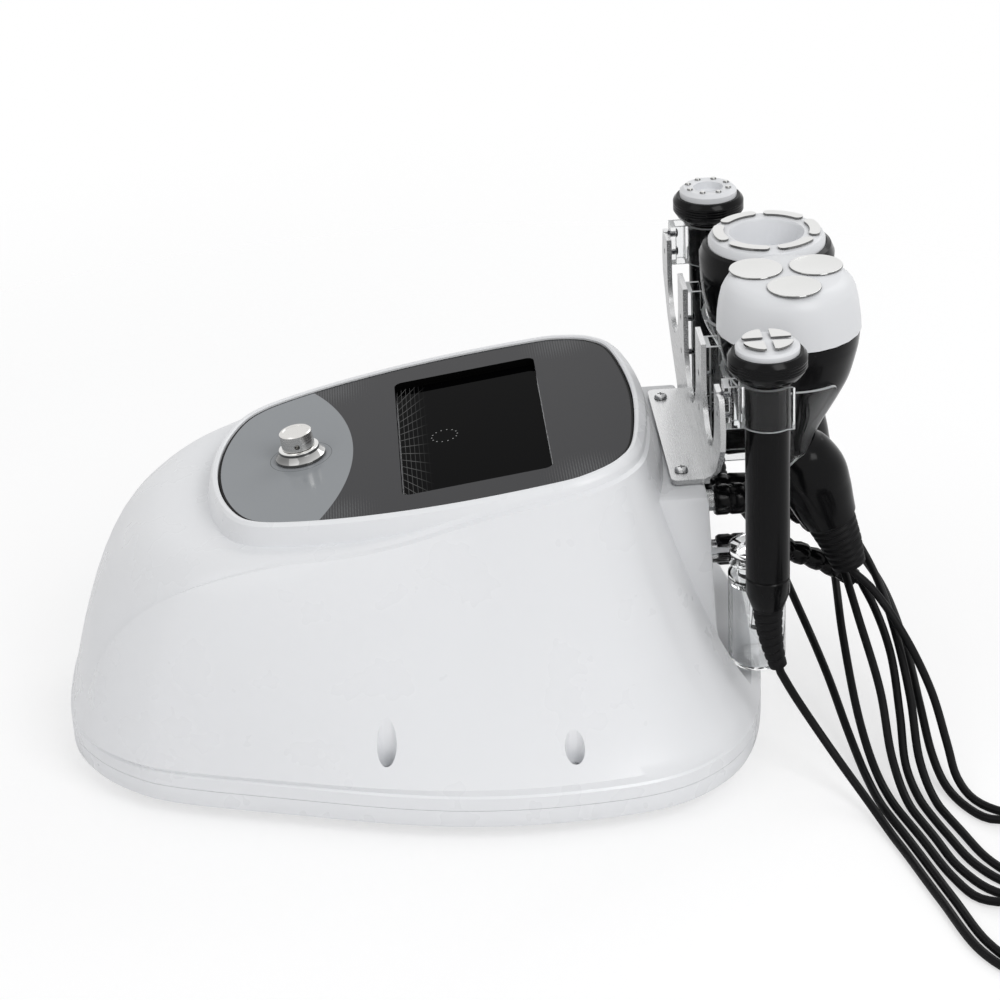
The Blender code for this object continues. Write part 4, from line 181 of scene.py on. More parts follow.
# Shelf block at the back, which carries the holder
SHELF_HALF_WIDTH = 0.080
SHELF_TOP = 0.166
SHELF_FRONT = 0.084
SHELF_BACK_TOP = 0.132
SHELF_BACK_BOTTOM = 0.138
LEDGE_LEVEL = 0.039
BLOCK_ROUND = 0.003
VENT_COUNT = 7
VENT_PITCH = 0.007
VENT_WIDTH = 0.003
VENT_HEIGHT = 0.030
VENT_LEVEL = 0.127
VENT_X = -0.021

# Screen
WINDOW_WIDTH = 0.156
WINDOW_LENGTH = 0.088
WINDOW_ROUND = 0.005
WINDOW_DEPTH = 0.0045
WINDOW_THICKNESS = 0.0018

# Vacuum knob
KNOB_Q = -0.103
KNOB_RADIUS = 0.010
KNOB_TOP = 0.0175
KNOB_FOOT = 0.0078
RING_RADIUS = 0.01525
RING_HEIGHT = 0.0074
SPINDLE_RADIUS = 0.003
GRUB_RADIUS = 0.0013
# The fine rings that turning left on the knob: their centre, and how close they lie
LATHE_CENTRE = (0, -0.0917, 0.18)
LATHE_FINENESS = 14000.0

# Steel holder
PLATE = 0.003
HOLDER_HALF_WIDTH = 0.064
HOLDER_FRONT = 0.1126
HOLDER_TOP = 0.250
HOLDER_CORNER = 0.004
HOLDER_SCREW_X = 0.0515
HOLDER_SCREW_Y = 0.1196
HOLDER_REACH = 0.136
HOLDER_SHARES = (
    (0, 0), (0.03, 0.05), (0.40, 0.23), (0.68, 0.38), (0.97, 0.645), (1, 0.79), (0.96, 0.93),
)
FINGER_HALF_WIDTH = 0.013
BAY_FLOOR_SHARE = 0.42
MIDDLE_BAY_FLOOR_SHARE = 0.30

# Screws: the radius and height of their heads, and the radius of their ways
PAN_HEAD = (0.004, 0.0026)
CLIP_HEAD = (0.0029, 0.0016)
CASE_HEAD = (0.0036, 0.0022)
PAN_SCREW_RADIUS = 0.0019
CLIP_SCREW_RADIUS = 0.0015
# Shares of a head's radius or height: its outline, the shank below it and the cross in its top
HEAD_SHARES = ((0, 1), (0.35, 0.98), (0.65, 0.86), (0.88, 0.60), (0.98, 0.25), (1, 0))
SHANK_RADIUS_SHARE = 0.45
SHANK_LENGTH_SHARE = 1.6
CROSS_LENGTH_SHARE = 0.52
CROSS_WIDTH_SHARE = 0.13
CROSS_BOTTOM_SHARE = 0.35

# Clear clips
SMALL_CLIP_X = 0.122
SMALL_AXIS_Y = 0.1596
SMALL_CLIP_BOTTOM = 0.231
SMALL_CLIP_TOP = 0.256
SMALL_CLIP_SCREW_LEVELS = (0.250, 0.238)
CLIP_START = SHELF_BACK_TOP + PLATE
CLIP_WALL = 0.0025
CLIP_BACK = 0.0032
CLIP_STEM_HALF_WIDTH = 0.0065
CLIP_MOUTH_DEG = 52
CLIP_LIP = 0.004
BIG_CLIP_X = 0.0415
BIG_AXIS_Y = 0.184
BIG_CLIP_BOTTOM = 0.173
BIG_CLIP_TOP = 0.246
BIG_CLIP_ARM_TOP = 0.228
BIG_CLIP_STEM_HALF_WIDTH = 0.0085
BIG_CLIP_SCREW_LEVELS = (0.227, 0.205)
CLIP_SCREW_PLACES = tuple(
    (side * x, level)
    for side in (1, -1)
    for x, levels in ((SMALL_CLIP_X, SMALL_CLIP_SCREW_LEVELS), (BIG_CLIP_X, BIG_CLIP_SCREW_LEVELS))
    for level in levels
)
# The cradle's arms in side view: shares of the cap's radius and of the arms' height
ARM_SHARES = (
    (0.55, 0.90), (0.40, 0.60), (0.31, 0.47), (0.24, 0.30), (0.15, 0.12), (-0.10, 0.00),
)
BULB_STEPS = 24
# Faces of the large clip that get the pale painted highlight of a bright clear edge: how far their normal
# leans back, and how little it turns sideways
HIGHLIGHT_EDGE_SLOPE = 0.3
HIGHLIGHT_EDGE_TURN = 0.05

# Small handpieces
TUBE_RADIUS = 0.0125
TUBE_BOTTOM = 0.116
TUBE_TAPER_TOP = 0.125
TUBE_END_RADIUS = 0.0095
GROOVE_DEPTH = 0.0008
GROOVE_LEVEL = 0.135
HEAD_RADIUS = 0.022
HEAD_BOTTOM = 0.2575
HEAD_TOP = 0.2740
HEAD_GROOVES = 3
HEAD_GROOVE_DEPTH = 0.00018
FACE_RADIUS = 0.01775
FACE_TOP = 0.2794
FACE_SEAT = 0.2722
POLE_RISE = 0.0011
POLE_STEM = 0.0011
CARRIER_RADIUS = 0.0148
CARRIER_THICKNESS = 0.0012
DOT_COUNT = 8
DOT_CIRCLE = 0.0129
DOT_RADIUS = 0.0019
SMALL_CUP_RADIUS = 0.0092
SMALL_CUP_FLOOR = 0.2732
SMALL_RELIEF_LENGTH = 0.040
SMALL_RELIEF_RADIUS = 0.0090
SMALL_RELIEF_END_RADIUS = 0.0052
SMALL_RELIEF_BEND = 0.006
RELIEF_RIBS = 7
RIB_DEPTH = 0.0011

# Large handpieces
CAP_RADIUS = 0.0417
CAP_SEAM = 0.253
CAP_TOP = 0.2840
CAP_SHARES = (
    (0.00, 1.00), (0.70, 1.00), (0.80, 0.965), (0.875, 0.88), (0.925, 0.74),
    (0.965, 0.50), (0.99, 0.25), (1.00, 0.0), (0.93, 0.0), (0.91, 0.50),
    (0.84, 0.80), (0.74, 0.90), (0.00, 0.90),
)
DISC_RADIUS = 0.0155
DISC_CIRCLE = 0.0200
DISC_RISE = 0.0014
DISC_STEM = 0.003
VACUUM_RADIUS = 0.0405
VACUUM_BODY_TOP = 0.2722
VACUUM_RING_RADIUS = 0.035
VACUUM_RING_TOP = 0.2783
CUP_RADIUS = 0.0216
CUP_FLOOR = 0.2560
CUP_SEAT = 0.2500
KIDNEY_COUNT = 6
KIDNEY_CIRCLE = 0.0288
KIDNEY_HALF_WIDTH = 0.0032
KIDNEY_HALF_DEG = 19
KIDNEY_RISE = 0.0012
GRIP_BOTTOM = 0.128
BIG_RELIEF_LENGTH = 0.032
# Spine of a large handpiece: height, run-out behind the head's axis, radius
GRIP_SHARES = (
    (1.000, 0.000, 0.985), (0.955, 0.000, 0.973), (0.896, 0.000, 0.944), (0.776, -0.002, 0.850),
    (0.688, -0.008, 0.735), (0.604, -0.016, 0.607), (0.536, -0.030, 0.508),
    (0.480, -0.046, 0.441), (0.444, -0.050, 0.413), (0.400, -0.006, 0.410),
    (0.352, 0.090, 0.445), (0.304, 0.200, 0.492), (0.232, 0.322, 0.520),
    (0.152, 0.420, 0.487), (0.072, 0.510, 0.441), (0.000, 0.600, 0.390),
)
GRIP_STEPS = 6
GRIP_FLARE = GRIP_BOTTOM + (CAP_SEAM - GRIP_BOTTOM) * GRIP_SHARES[5][0]
RELIEF_SHARES = ((0.00, 0.600, 0.365), (0.50, 0.755, 0.300), (1.00, 0.880, 0.250))

# Filter bottle
BOTTLE_X = 0.063
BOTTLE_Y = 0.1620
BOTTLE_RADIUS = 0.017
BOTTLE_BOTTOM = 0.047
BOTTLE_TOP = 0.104
BOTTLE_WALL = 0.0015
FILTER_CAP_HEIGHT = 0.022
FILTER_CAP_RADIUS = 0.0165
FILTER_NECK_RADIUS = 0.0120
FILTER_NECK_HEIGHT = 0.009
FILTER_TUBE_RADIUS = 0.0045

# Rear connectors
PLUG_COLUMNS = (0.020, -0.062)
PLUG_LEVELS = (0.133, 0.099)
SOCKET_RADIUS = 0.0100
SOCKET_FLANGE = 0.0025
SOCKET_NOSE = 0.0075
SOCKET_NOSE_RADIUS = 0.0065
SOCKET_BODY_RADIUS = 0.0075
SOCKET_BODY_LENGTH = 0.012
PLUG_RADIUS = 0.0094
PLUG_LENGTH = 0.030
PLUG_GROOVE_DEPTH = 0.0007
BOOT_RADIUS = 0.0076
BOOT_END_RADIUS = 0.0058
BOOT_RIBS = 5
# How far each boot runs out and drops, for the upper and the lower plugs
BOOT_RUNS = (0.039, 0.054)
BOOT_DROPS = (0.030, 0.026)
BOOT_BEND_POWER = 1.5
INLET_X = -0.030
INLET_WIDTH = 0.048
INLET_HEIGHT = 0.028
INLET_DEPTH = 0.018
INLET_FLANGE = 0.002
INLET_WELL_WIDTH = 0.026
INLET_WELL_HEIGHT = 0.018
INLET_PIN_RADIUS = 0.0014
INLET_PIN_PITCH = 0.007
MAINS_LEVEL = 0.064
SWITCH_X = 0.012
SWITCH_WIDTH = 0.014
SWITCH_HEIGHT = 0.021
SWITCH_TRAVEL_DEG = 14
SWITCH_FRAME = 0.002
SWITCH_DEPTH = 0.012

# Cords: each handpiece's cable runs from its relief to a coil on the table, and on to its plug
CABLE_DIAMETER = 0.005
CABLE_LEVEL = 0.0027
CABLE_SIDES = 18
CORD_SPACING = 0.005
ROUTE_STEPS = 20
COIL_RADIUS = 0.0295
COIL_PITCH = 0.0059
COIL_LIFT = 0.0057
COIL_TURNS = 2.5
COIL_POINTS_PER_TURN = 16
COIL_PLACES = {
    "rf_right": (0.302, 0.362),
    "rf_left": (0.302, 0.296),
    "tripolar": (0.222, 0.380),
    "vacuum": (0.222, 0.314),
}
# Column and row of each cable's plug
PLUG_OF = {"rf_right": (0, 0), "rf_left": (1, 0), "tripolar": (0, 1), "vacuum": (1, 1)}
# The coils that the lead from the plug enters on the table, and the handpiece's cable on top
LEAD_FIRST = ("tripolar",)
# Routes from a gland to its coil, in millimetres; two numbers mean a point on the table
CABLE_ROUTES = {
    "rf_right": (
        (123.5, 174, 57), (129, 186, 37), (143, 199, 19), (165, 210, 8), (200, 220),
        (260, 233), (310, 245), (331, 260), (338, 280), (339, 300), (336, 320), (332.5, 337),
    ),
    "rf_left": (
        (-112, 175, 62), (-60, 189, 54), (0, 198, 42), (55, 206, 27), (100, 211, 13),
        (136, 215, 5), (165, 219), (200, 227), (260, 240), (303, 250), (324, 263),
    ),
    "tripolar": (
        (48, 234, 80), (64, 250, 57), (94, 261, 35), (126, 264.5, 17), (148, 266, 7),
        (166, 272, 3.2), (180, 285), (186, 304), (186, 322), (188, 340, 3), (191.5, 355, 5.2),
    ),
    "vacuum": (
        (-30, 232, 83), (10, 243, 69), (56, 247, 53), (98, 248, 33), (136, 246.5, 12.5),
        (165, 250, 3.4), (196, 258), (226, 267), (244, 279), (250, 292),
    ),
}
LEAD_ROUTES = {
    "rf_right": (
        (27.5, 219.5, 86), (56, 224.5, 65), (98, 230, 39), (134, 230.5, 15),
        (165, 234, 3.6), (200, 242), (232, 249.5), (256, 263), (266, 283), (265.5, 303),
        (268, 322, 3), (271.5, 337, 5.2),
    ),
    "rf_left": (
        (-54, 219.5, 86), (-10, 220.5, 67), (45, 217, 48), (100, 217.5, 21),
        (136, 221, 7), (165, 226), (200, 234.5), (240, 244), (262, 254, 3), (271.5, 270, 5.6),
    ),
    "tripolar": (
        (35, 238, 60), (70, 241.5, 47), (106, 240.5, 26), (136, 238.5, 9.5), (165, 242),
        (200, 250), (230, 259), (250, 273), (258.5, 293), (259.5, 315), (256, 337),
        (252.5, 355),
    ),
    "vacuum": (
        (-45, 240, 61), (0, 250, 54), (50, 254, 42), (95, 254.5, 26), (128, 255.5, 11),
        (152, 259, 4), (174, 267), (188, 277, 3.4), (192, 289, 5.6),
    ),
}

# The camera: where it stands round the panel's centre, and how it sees, in the photo's pixels
CAMERA_AROUND = math.radians(87.63)
CAMERA_ABOVE = math.radians(26.77)
CAMERA_ROLL = math.radians(2.91)
CAMERA_DISTANCE = 1.62336
CAMERA_FOCAL = 2725.77
CAMERA_CENTRE = (470.43, 423.53)
PHOTO_SIZE = 1000
SENSOR_WIDTH = 36

# What is printed on the panel and shown on the screen
DOT_CORNERS = ((0.086, -0.084), (0.092, 0.062))
DOT_PITCH = 0.0016
DOT_FADE = (0.004, 0.034, 0.36, 0.0)
ZONE_CENTRE = (0.002, -0.2559)
ZONE_RADIUS = 0.1844
KNOB_LINE_RADIUS = 0.0187
KNOB_LINE_HALF_WIDTH = 0.00022
PRINT_BLUR = 0.0003
FAN_REACH = 0.030
FAN_RAYS = 3.6
FAN_ROW = 0.0027
FAN_FADE = (0.002, 0.020, 1.0, 0.0)
FAN_GLOW = 0.16
DOTS_CENTRE = (0.0, -0.016)
DOTS_RADIUS = 0.0078
DOTS_COUNT = 14
DOTS_SIZE = 0.00045
DOTS_GLOW = 0.35

# Floor and light: each lamp has a place, an aim, a size and a power
FLOOR_SIZE = 2.0
FLOOR_LEVEL = -0.0002
FLOOR_FADE = (0.45, 1.1)
FLOOR_WHITE = 0.50
FLOOR_GLOW = 1.16
WORLD_LIGHT = 0.56
LAMPS = (
    ("lamp_above_front", (0.9, -1.4, 1.7), (0, -0.05, 0.1), (1.3, 1.3), 5),
    ("lamp_rear_side", (1.5, 1.0, 1.7), (0, 0.08, 0.12), (1.0, 1.2), 18),
    ("lamp_behind", (-1.2, 1.1, 1.5), (0, 0, 0.15), (1.0, 1.0), 6),
)

TO_FRONT = Matrix.Rotation(math.pi / 2, 4, "X")
TO_BACK = Matrix.Rotation(-math.pi / 2, 4, "X")
SIDEWAYS = Matrix.Rotation(math.pi / 2, 4, "Z") @ TO_FRONT


def make_camera():
    """The photograph's viewpoint."""
    flat = math.cos(CAMERA_ABOVE)
    back = Vector((
        math.sin(CAMERA_AROUND) * flat, -math.cos(CAMERA_AROUND) * flat, math.sin(CAMERA_ABOVE),
    ))
    level = Vector((math.cos(CAMERA_AROUND), math.sin(CAMERA_AROUND), 0))
    upward = back.cross(level)
    right = math.cos(CAMERA_ROLL) * level - math.sin(CAMERA_ROLL) * upward
    up = math.sin(CAMERA_ROLL) * level + math.cos(CAMERA_ROLL) * upward
    across, down = (value - PHOTO_SIZE / 2 for value in CAMERA_CENTRE)
    spot = CAMERA_DISTANCE * back
    spot -= across / CAMERA_FOCAL * CAMERA_DISTANCE * right
    spot += down / CAMERA_FOCAL * CAMERA_DISTANCE * up
    spot += Vector((0, SHIFT, PANEL_LEVEL))
    data = bpy.data.cameras.new("photo_camera")
    data.sensor_width = SENSOR_WIDTH
    data.lens = CAMERA_FOCAL * SENSOR_WIDTH / PHOTO_SIZE
    data.clip_start = 0.05
    data.clip_end = 30
    camera = bpy.data.objects.new("photo_camera", data)
    bpy.context.scene.collection.objects.link(camera)
    turn = Matrix((right, up, back)).transposed().to_4x4()
    camera.matrix_world = Matrix.Translation(spot) @ turn
    bpy.context.scene.camera = camera


# Materials


class Look:
    """A material's nodes, with short ways to make and link them."""

    def __init__(self, name):
        self.material = bpy.data.materials.new(name)
        self.material.use_nodes = True
        self.tree = self.material.node_tree
        self.shader = self.tree.nodes["Principled BSDF"]
        self.place = self.make("ShaderNodeTexCoord").outputs["Object"]

    def make(self, kind, inputs=(), **settings):
        node = self.tree.nodes.new(kind)
        for key, value in settings.items():
            setattr(node, key, value)
        for key, value in dict(inputs).items():
            self.feed(node.inputs[key], value)
        return node

    def feed(self, socket, value):
        """Links a socket to the input, or sets the input itself where the value is plain."""
        if isinstance(value, bpy.types.NodeSocket):
            self.tree.links.new(value, socket)
        else:
            socket.default_value = value

    def set(self, **values):
        for key, value in values.items():
            self.feed(self.shader.inputs[key.replace("_", " ")], value)

    def maths(self, operation, a, b=0.0):
        return self.make("ShaderNodeMath", {0: a, 1: b}, operation=operation).outputs[0]

    def minus(self, a, b):
        return self.maths("SUBTRACT", a, b)

    def times(self, a, b):
        return self.maths("MULTIPLY", a, b)

    def length(self, a, b):
        return self.maths("SQRT", self.maths("ADD", self.times(a, a), self.times(b, b)))

    def from_middle(self, value):
        """How far a value lies from the middle of its whole step."""
        return self.maths("ABSOLUTE", self.minus(self.maths("FRACT", value), 0.5))

    def ramp(self, value, low, high, start=0.0, end=1.0):
        """A smooth change from start to end as the value goes from low to high."""
        inputs = {0: value, 1: low, 2: high, 3: start, 4: end}
        node = self.make("ShaderNodeMapRange", inputs, interpolation_type="SMOOTHSTEP")
        return node.outputs[0]

    def noise(self, scale, detail=3.0, stretch=(1, 1, 1)):
        spot = self.make("ShaderNodeMapping", {"Vector": self.place, "Scale": stretch})
        inputs = {"Vector": spot.outputs[0], "Scale": scale, "Detail": detail}
        return self.make("ShaderNodeTexNoise", inputs).outputs["Fac"]

    def mix(self, share, first, second):
        inputs = {0: share, 6: first, 7: second}
        return self.make("ShaderNodeMix", inputs, data_type="RGBA").outputs[2]

    def rough(self, value, low, high, spread=0.2):
        """Lets the roughness go from low to high with a noise."""
        self.set(Roughness=self.ramp(value, 0.5 - spread, 0.5 + spread, low, high))

    def bump(self, height, strength, distance):
        inputs = {"Height": height, "Strength": strength, "Distance": distance}
        self.set(Normal=self.make("ShaderNodeBump", inputs).outputs[0])


def colour(rgb, share=1.0):
    return (*(value * share for value in rgb), 1.0)


def moulded(name, base, rough, grain=0.02, spread=0.02, specular=0.5, coat=0.0):
    """Moulded plastic: a faint waviness, fine grain and uneven gloss."""
    look = Look(name)
    look.set(Base_Color=look.mix(look.noise(14), colour(base, 1 - spread), colour(base)))
    fine = look.noise(1800, 2.0)
    broad = look.noise(30)
    look.rough(broad, rough * 0.85, rough * 1.2)
    look.set(Specular_IOR_Level=specular, Coat_Weight=coat, Coat_Roughness=0.06)
    look.bump(look.maths("ADD", fine, look.times(broad, 0.5)), grain, 0.0004)
    return look.material


def metal(name, base, low, high, stretch=(1, 1, 1), scale=500, strength=0.05, sideways_painted_shade=1.0):
    """Metal with fine marks along one direction; its base colour is darker on faces that look sideways, a
    painted shade that stands in for the reflection of a darker surround.
    """
    look = Look(name)
    normal = look.make("ShaderNodeTexCoord").outputs["Normal"]
    upward = look.make("ShaderNodeSeparateXYZ", {0: normal}).outputs[2]
    light = look.mix(look.noise(40), colour(base, 0.94), colour(base))
    # Painted shade: faces that look sideways get a darker base colour, standing in for the dark reflection
    # that such faces catch.
    shade = look.mix(look.ramp(upward, 0.55, 0.93), colour(base, sideways_painted_shade), light)
    lines = look.noise(scale, 4.0, stretch)
    look.rough(lines, low, high, 0.25)
    look.set(Base_Color=shade, Metallic=1.0)
    look.bump(lines, strength, 0.0002)
    return look.material


def turned_metal(name, base, centre, low, high):
    """Metal with the fine rings that a lathe leaves round its centre."""
    look = Look(name)
    shift = look.make("ShaderNodeMapping", {
        "Vector": look.place,
        "Location": tuple(-value for value in centre),
    })
    length = look.make("ShaderNodeVectorMath", {0: shift.outputs[0]}, operation="LENGTH")
    rings = look.maths("SINE", look.times(length.outputs["Value"], LATHE_FINENESS))
    look.set(
        Base_Color=look.mix(look.noise(60), colour(base, 0.95), colour(base)),
        Roughness=look.ramp(rings, -1.0, 1.0, low, high),
        Metallic=1.0,
    )
    look.bump(rings, 0.05, 0.0001)
    return look.material


def clear_plastic(name, tint, rough):
    """Clear plastic with a slight tint and faint flow marks."""
    look = Look(name)
    flow = look.noise(60)
    look.rough(flow, rough * 0.5, rough)
    look.set(
        Base_Color=look.mix(flow, colour(tint), colour((1, 1, 1))),
        Transmission_Weight=1.0,
        IOR=1.45,
        Specular_Tint=colour((0.3, 0.3, 0.3)),
    )
    look.bump(flow, 0.04, 0.0004)
    return look.material


def panel_plane(look):
    """Where a point lies on the panel, across and up its slope, in metres."""
    split = look.make("ShaderNodeSeparateXYZ", {0: look.place})
    along = look.maths("DIVIDE", look.minus(split.outputs[1], SHIFT), math.cos(PANEL_TILT))
    return split.outputs[0], along


def spread_from(look, across, along, centre):
    """The distance of a panel point from a centre."""
    return look.length(look.minus(across, centre[0]), look.minus(along, centre[1]))


def panel_print():
    """The overlay: dark grey with fading dots at its corners, and a light zone round the knob."""
    look = Look("dark_panel_print")
    across, along = panel_plane(look)
    spread = spread_from(look, across, along, ZONE_CENTRE)
    inside = look.ramp(spread, ZONE_RADIUS, ZONE_RADIUS + PRINT_BLUR, 1.0, 0.0)
    cells = [look.from_middle(look.maths("DIVIDE", way, DOT_PITCH)) for way in (across, along)]
    wide = look.maths("ABSOLUTE", across)
    fades = [look.ramp(spread_from(look, wide, along, spot), *DOT_FADE) for spot in DOT_CORNERS]
    dots = look.maths("LESS_THAN", look.length(*cells), look.maths("MAXIMUM", *fades))
    dark = look.mix(look.times(dots, 0.55), colour((0.035, 0.035, 0.038)), colour((0.15, 0.155, 0.16)))
    away = look.minus(spread_from(look, across, along, (0.0, KNOB_Q)), KNOB_LINE_RADIUS)
    line = look.maths("LESS_THAN", look.maths("ABSOLUTE", away), KNOB_LINE_HALF_WIDTH)
    light = look.mix(look.noise(8), colour((0.27, 0.285, 0.30)), colour((0.31, 0.325, 0.34)))
    light = look.mix(look.times(line, 0.7), light, colour((0.10, 0.105, 0.11)))
    look.rough(look.noise(40), 0.10, 0.16)
    look.set(Base_Color=look.mix(inside, dark, light), Specular_IOR_Level=0.1)
    look.bump(look.noise(900, 2.0), 0.015, 0.0003)
    return look.material


def screen_glass():
    """Black glass over a dark display: lines that fan out at its front end, and a ring of dots."""
    look = Look("black_screen_glass")
    across, along = panel_plane(look)
    front = look.minus(along, -WINDOW_LENGTH / 2)
    fan = look.maths("DIVIDE", across, look.maths("ADD", front, FAN_REACH))
    rays = look.ramp(look.from_middle(look.times(fan, FAN_RAYS)), 0.0, 0.07, 1.0, 0.0)
    rows = look.ramp(look.from_middle(look.maths("DIVIDE", front, FAN_ROW)), 0.0, 0.10, 0.7, 0.0)
    lines = look.times(look.maths("MAXIMUM", rays, rows), FAN_GLOW)
    glow = look.times(lines, look.ramp(front, *FAN_FADE))
    sides = [look.minus(way, middle) for way, middle in zip((across, along), DOTS_CENTRE)]
    turn = look.times(look.maths("ARCTAN2", sides[1], sides[0]), DOTS_COUNT / (2 * math.pi))
    beside = look.times(look.from_middle(turn), 2 * math.pi * DOTS_RADIUS / DOTS_COUNT)
    away = look.length(look.minus(look.length(*sides), DOTS_RADIUS), beside)
    dots = look.times(look.maths("LESS_THAN", away, DOTS_SIZE), DOTS_GLOW)
    shown = look.mix(look.maths("MAXIMUM", glow, dots), colour((0.0008, 0.0008, 0.001)), colour((1, 1, 1)))
    look.rough(look.noise(30), 0.03, 0.06)
    look.set(Base_Color=shown, Specular_IOR_Level=0.01)
    return look.material


# Shapes made from meshes, profiles and curves

scratch = bpy.data.collections.new("scratch")
bpy.context.scene.collection.children.link(scratch)


def filed(data):
    """A scratch object with the given mesh or curve."""
    obj = bpy.data.objects.new("scratch", data)
    scratch.objects.link(obj)
    return obj


def mesh_object(fill, data=None):
    """A mesh object; fill builds its faces in a bmesh, which starts from data where given."""
    shape = bmesh.new()
    if data:
        shape.from_mesh(data)
    data = data or bpy.data.meshes.new("scratch")
    fill(shape)
    bmesh.ops.recalc_face_normals(shape, faces=shape.faces)
    shape.to_mesh(data)
    shape.free()
    return filed(data)


def applied(obj):
    """Makes the object's evaluated shape its own mesh, so that it can be cut or joined."""
    bpy.context.view_layer.update()
    graph = bpy.context.evaluated_depsgraph_get()
    data = bpy.data.meshes.new_from_object(obj.evaluated_get(graph))
    bpy.data.objects.remove(obj, do_unlink=True)
    return mesh_object(
        lambda shape: bmesh.ops.remove_doubles(shape, verts=shape.verts, dist=MERGE_DISTANCE), data
    )


def brought_in(obj, name):
    """Moves a scratch object into the scene, under its own name."""
    obj.name = name
    obj.data.name = name
    scratch.objects.unlink(obj)
    bpy.context.scene.collection.objects.link(obj)
    return obj


def show(obj, name, look, body=None, soften=0.0):
    """Turns a made shape into a shown piece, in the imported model's place."""
    made = brought_in(shifted(applied(obj), 0, SHIFT, 0), name)
    dress(made, look)
    if soften:
        add_bevel(made, soften, 3).harden_normals = True
    if body:
        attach(made, body)
    return made


def dress(obj, look):
    obj.data.materials.clear()
    obj.data.materials.append(LOOKS[look])
    obj.data.shade_smooth()
    obj.data.set_sharp_from_angle(angle=SMOOTH_ANGLE)


def place(obj, name):
    """Shows a fine shape in the place of the CAD node of that name."""
    made = show(obj, f"{name}_form", SLOT_OF[name], BODY_OF[name], SOFTEN.get(name, 0.0))
    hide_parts(name)
    return made


def dress_faces(made, look, chosen):
    """Gives the chosen faces of a shown piece a second look."""
    made.data.materials.append(LOOKS[look])
    for face in made.data.polygons:
        if chosen(face):
            face.material_index = 1


def moved(obj, matrix):
    obj.data.transform(matrix)
    return obj


def shifted(obj, x=0, y=0, z=0):
    return moved(obj, Matrix.Translation((x, y, z)))


def combine(operation, obj, others):
    for other in others:
        other.hide_render = True
        step = obj.modifiers.new("step", "BOOLEAN")
        step.operation = operation
        step.solver = "MANIFOLD"
        step.object = other
    return obj


def cut(obj, *others):
    return combine("DIFFERENCE", obj, others)


def join(obj, *others):
    return combine("UNION", obj, others)


def add_bevel(obj, width, segments=2):
    bevel = obj.modifiers.new("rounding", "BEVEL")
    bevel.width = width
    bevel.segments = segments
    bevel.limit_method = "ANGLE"
    bevel.angle_limit = SMOOTH_ANGLE
    return bevel


def box(low, high):
    low = Vector(low)
    high = Vector(high)
    matrix = Matrix.Translation((low + high) / 2) @ Matrix.Diagonal(high - low).to_4x4()
    return mesh_object(lambda shape: bmesh.ops.create_cube(shape, size=1, matrix=matrix))


def slab(half_width, half_length, low, high):
    """A box that is centred on Z."""
    return box((-half_width, -half_length, low), (half_width, half_length, high))


def cylinder(radius, low, high, sides=ROUND_SIDES, at=(0, 0), end_radius=None):
    """An upright cylinder, or a cone where end_radius, the radius at the top, is given."""
    return mesh_object(lambda shape: bmesh.ops.create_cone(
        shape,
        cap_ends=True,
        segments=sides,
        radius1=radius,
        radius2=end_radius or radius,
        depth=high - low,
        matrix=Matrix.Translation((at[0], at[1], (low + high) / 2)),
    ))


def turned(profile, sides=ROUND_SIDES, at=(0, 0)):
    """A solid turned about Z from (radius, height) points, from top to bottom."""
    data = bpy.data.meshes.new("scratch")
    edges = [(i, i + 1) for i in range(len(profile) - 1)]
    data.from_pydata([(r, 0, z) for r, z in profile], edges, [])
    obj = filed(data)
    screw = obj.modifiers.new("turning", "SCREW")
    screw.steps = sides
    screw.render_steps = sides
    screw.use_merge_vertices = True
    screw.merge_threshold = 0.00001
    screw.use_smooth_shade = True
    return shifted(applied(obj), *at)


def flat_shape(thickness, *outlines):
    """A plate in the XY plane from one outer outline and any holes, centred on Z = 0."""
    data = bpy.data.curves.new("scratch", "CURVE")
    data.dimensions = "2D"
    data.fill_mode = "BOTH"
    data.extrude = thickness / 2
    for outline in outlines:
        spline = data.splines.new("POLY")
        spline.points.add(len(outline) - 1)
        for point, (x, y) in zip(spline.points, outline):
            point.co = (x, y, 0, 1)
        spline.use_cyclic_u = True
    return applied(filed(data))


def arc(centre, radius, start_deg, end_deg, steps):
    steps *= ARC_DETAIL
    points = []
    for i in range(steps + 1):
        angle = math.radians(start_deg + (end_deg - start_deg) * i / steps)
        points.append((centre[0] + radius * math.cos(angle), centre[1] + radius * math.sin(angle)))
    return points


def rounded_rectangle(half_width, half_length, rounding, steps=4):
    points = []
    for quarter, (sx, sy) in enumerate(((1, 1), (-1, 1), (-1, -1), (1, -1))):
        centre = (sx * (half_width - rounding), sy * (half_length - rounding))
        points += arc(centre, rounding, 90 * quarter, 90 * quarter + 90, steps)
    return points


def loft(rings):
    """A closed surface through rings of equally many points, filled at both ends."""

    def fill(shape):
        rows = [[shape.verts.new(point) for point in ring] for ring in rings]
        count = len(rows[0])
        for upper, lower in zip(rows, rows[1:]):
            for i in range(count):
                j = (i + 1) % count
                shape.faces.new((upper[i], upper[j], lower[j], lower[i]))
        shape.faces.new(rows[0])
        shape.faces.new(rows[-1])

    return mesh_object(fill)


def ring_at(centre, radius, first, second, sides):
    """A ring of points round a centre, in the plane of two directions."""
    turns = [2 * math.pi * i / sides for i in range(sides)]
    return [centre + radius * (math.cos(turn) * first + math.sin(turn) * second) for turn in turns]


def swept(line, sides):
    """A closed tube of round sections (centre, direction, radius) that lean in the YZ plane."""
    across = Vector((1, 0, 0))
    rings = []
    for centre, direction, radius in line:
        rings.append(ring_at(centre, radius, across, direction.cross(across).normalized(), sides))
    return loft(rings)


def along_spine(points):
    """Adds to each (centre, radius) the direction of the line there."""
    line = []
    for i, (centre, radius) in enumerate(points):
        before = points[max(i - 1, 0)][0]
        after = points[min(i + 1, len(points) - 1)][0]
        line.append((centre, (after - before).normalized(), radius))
    return line


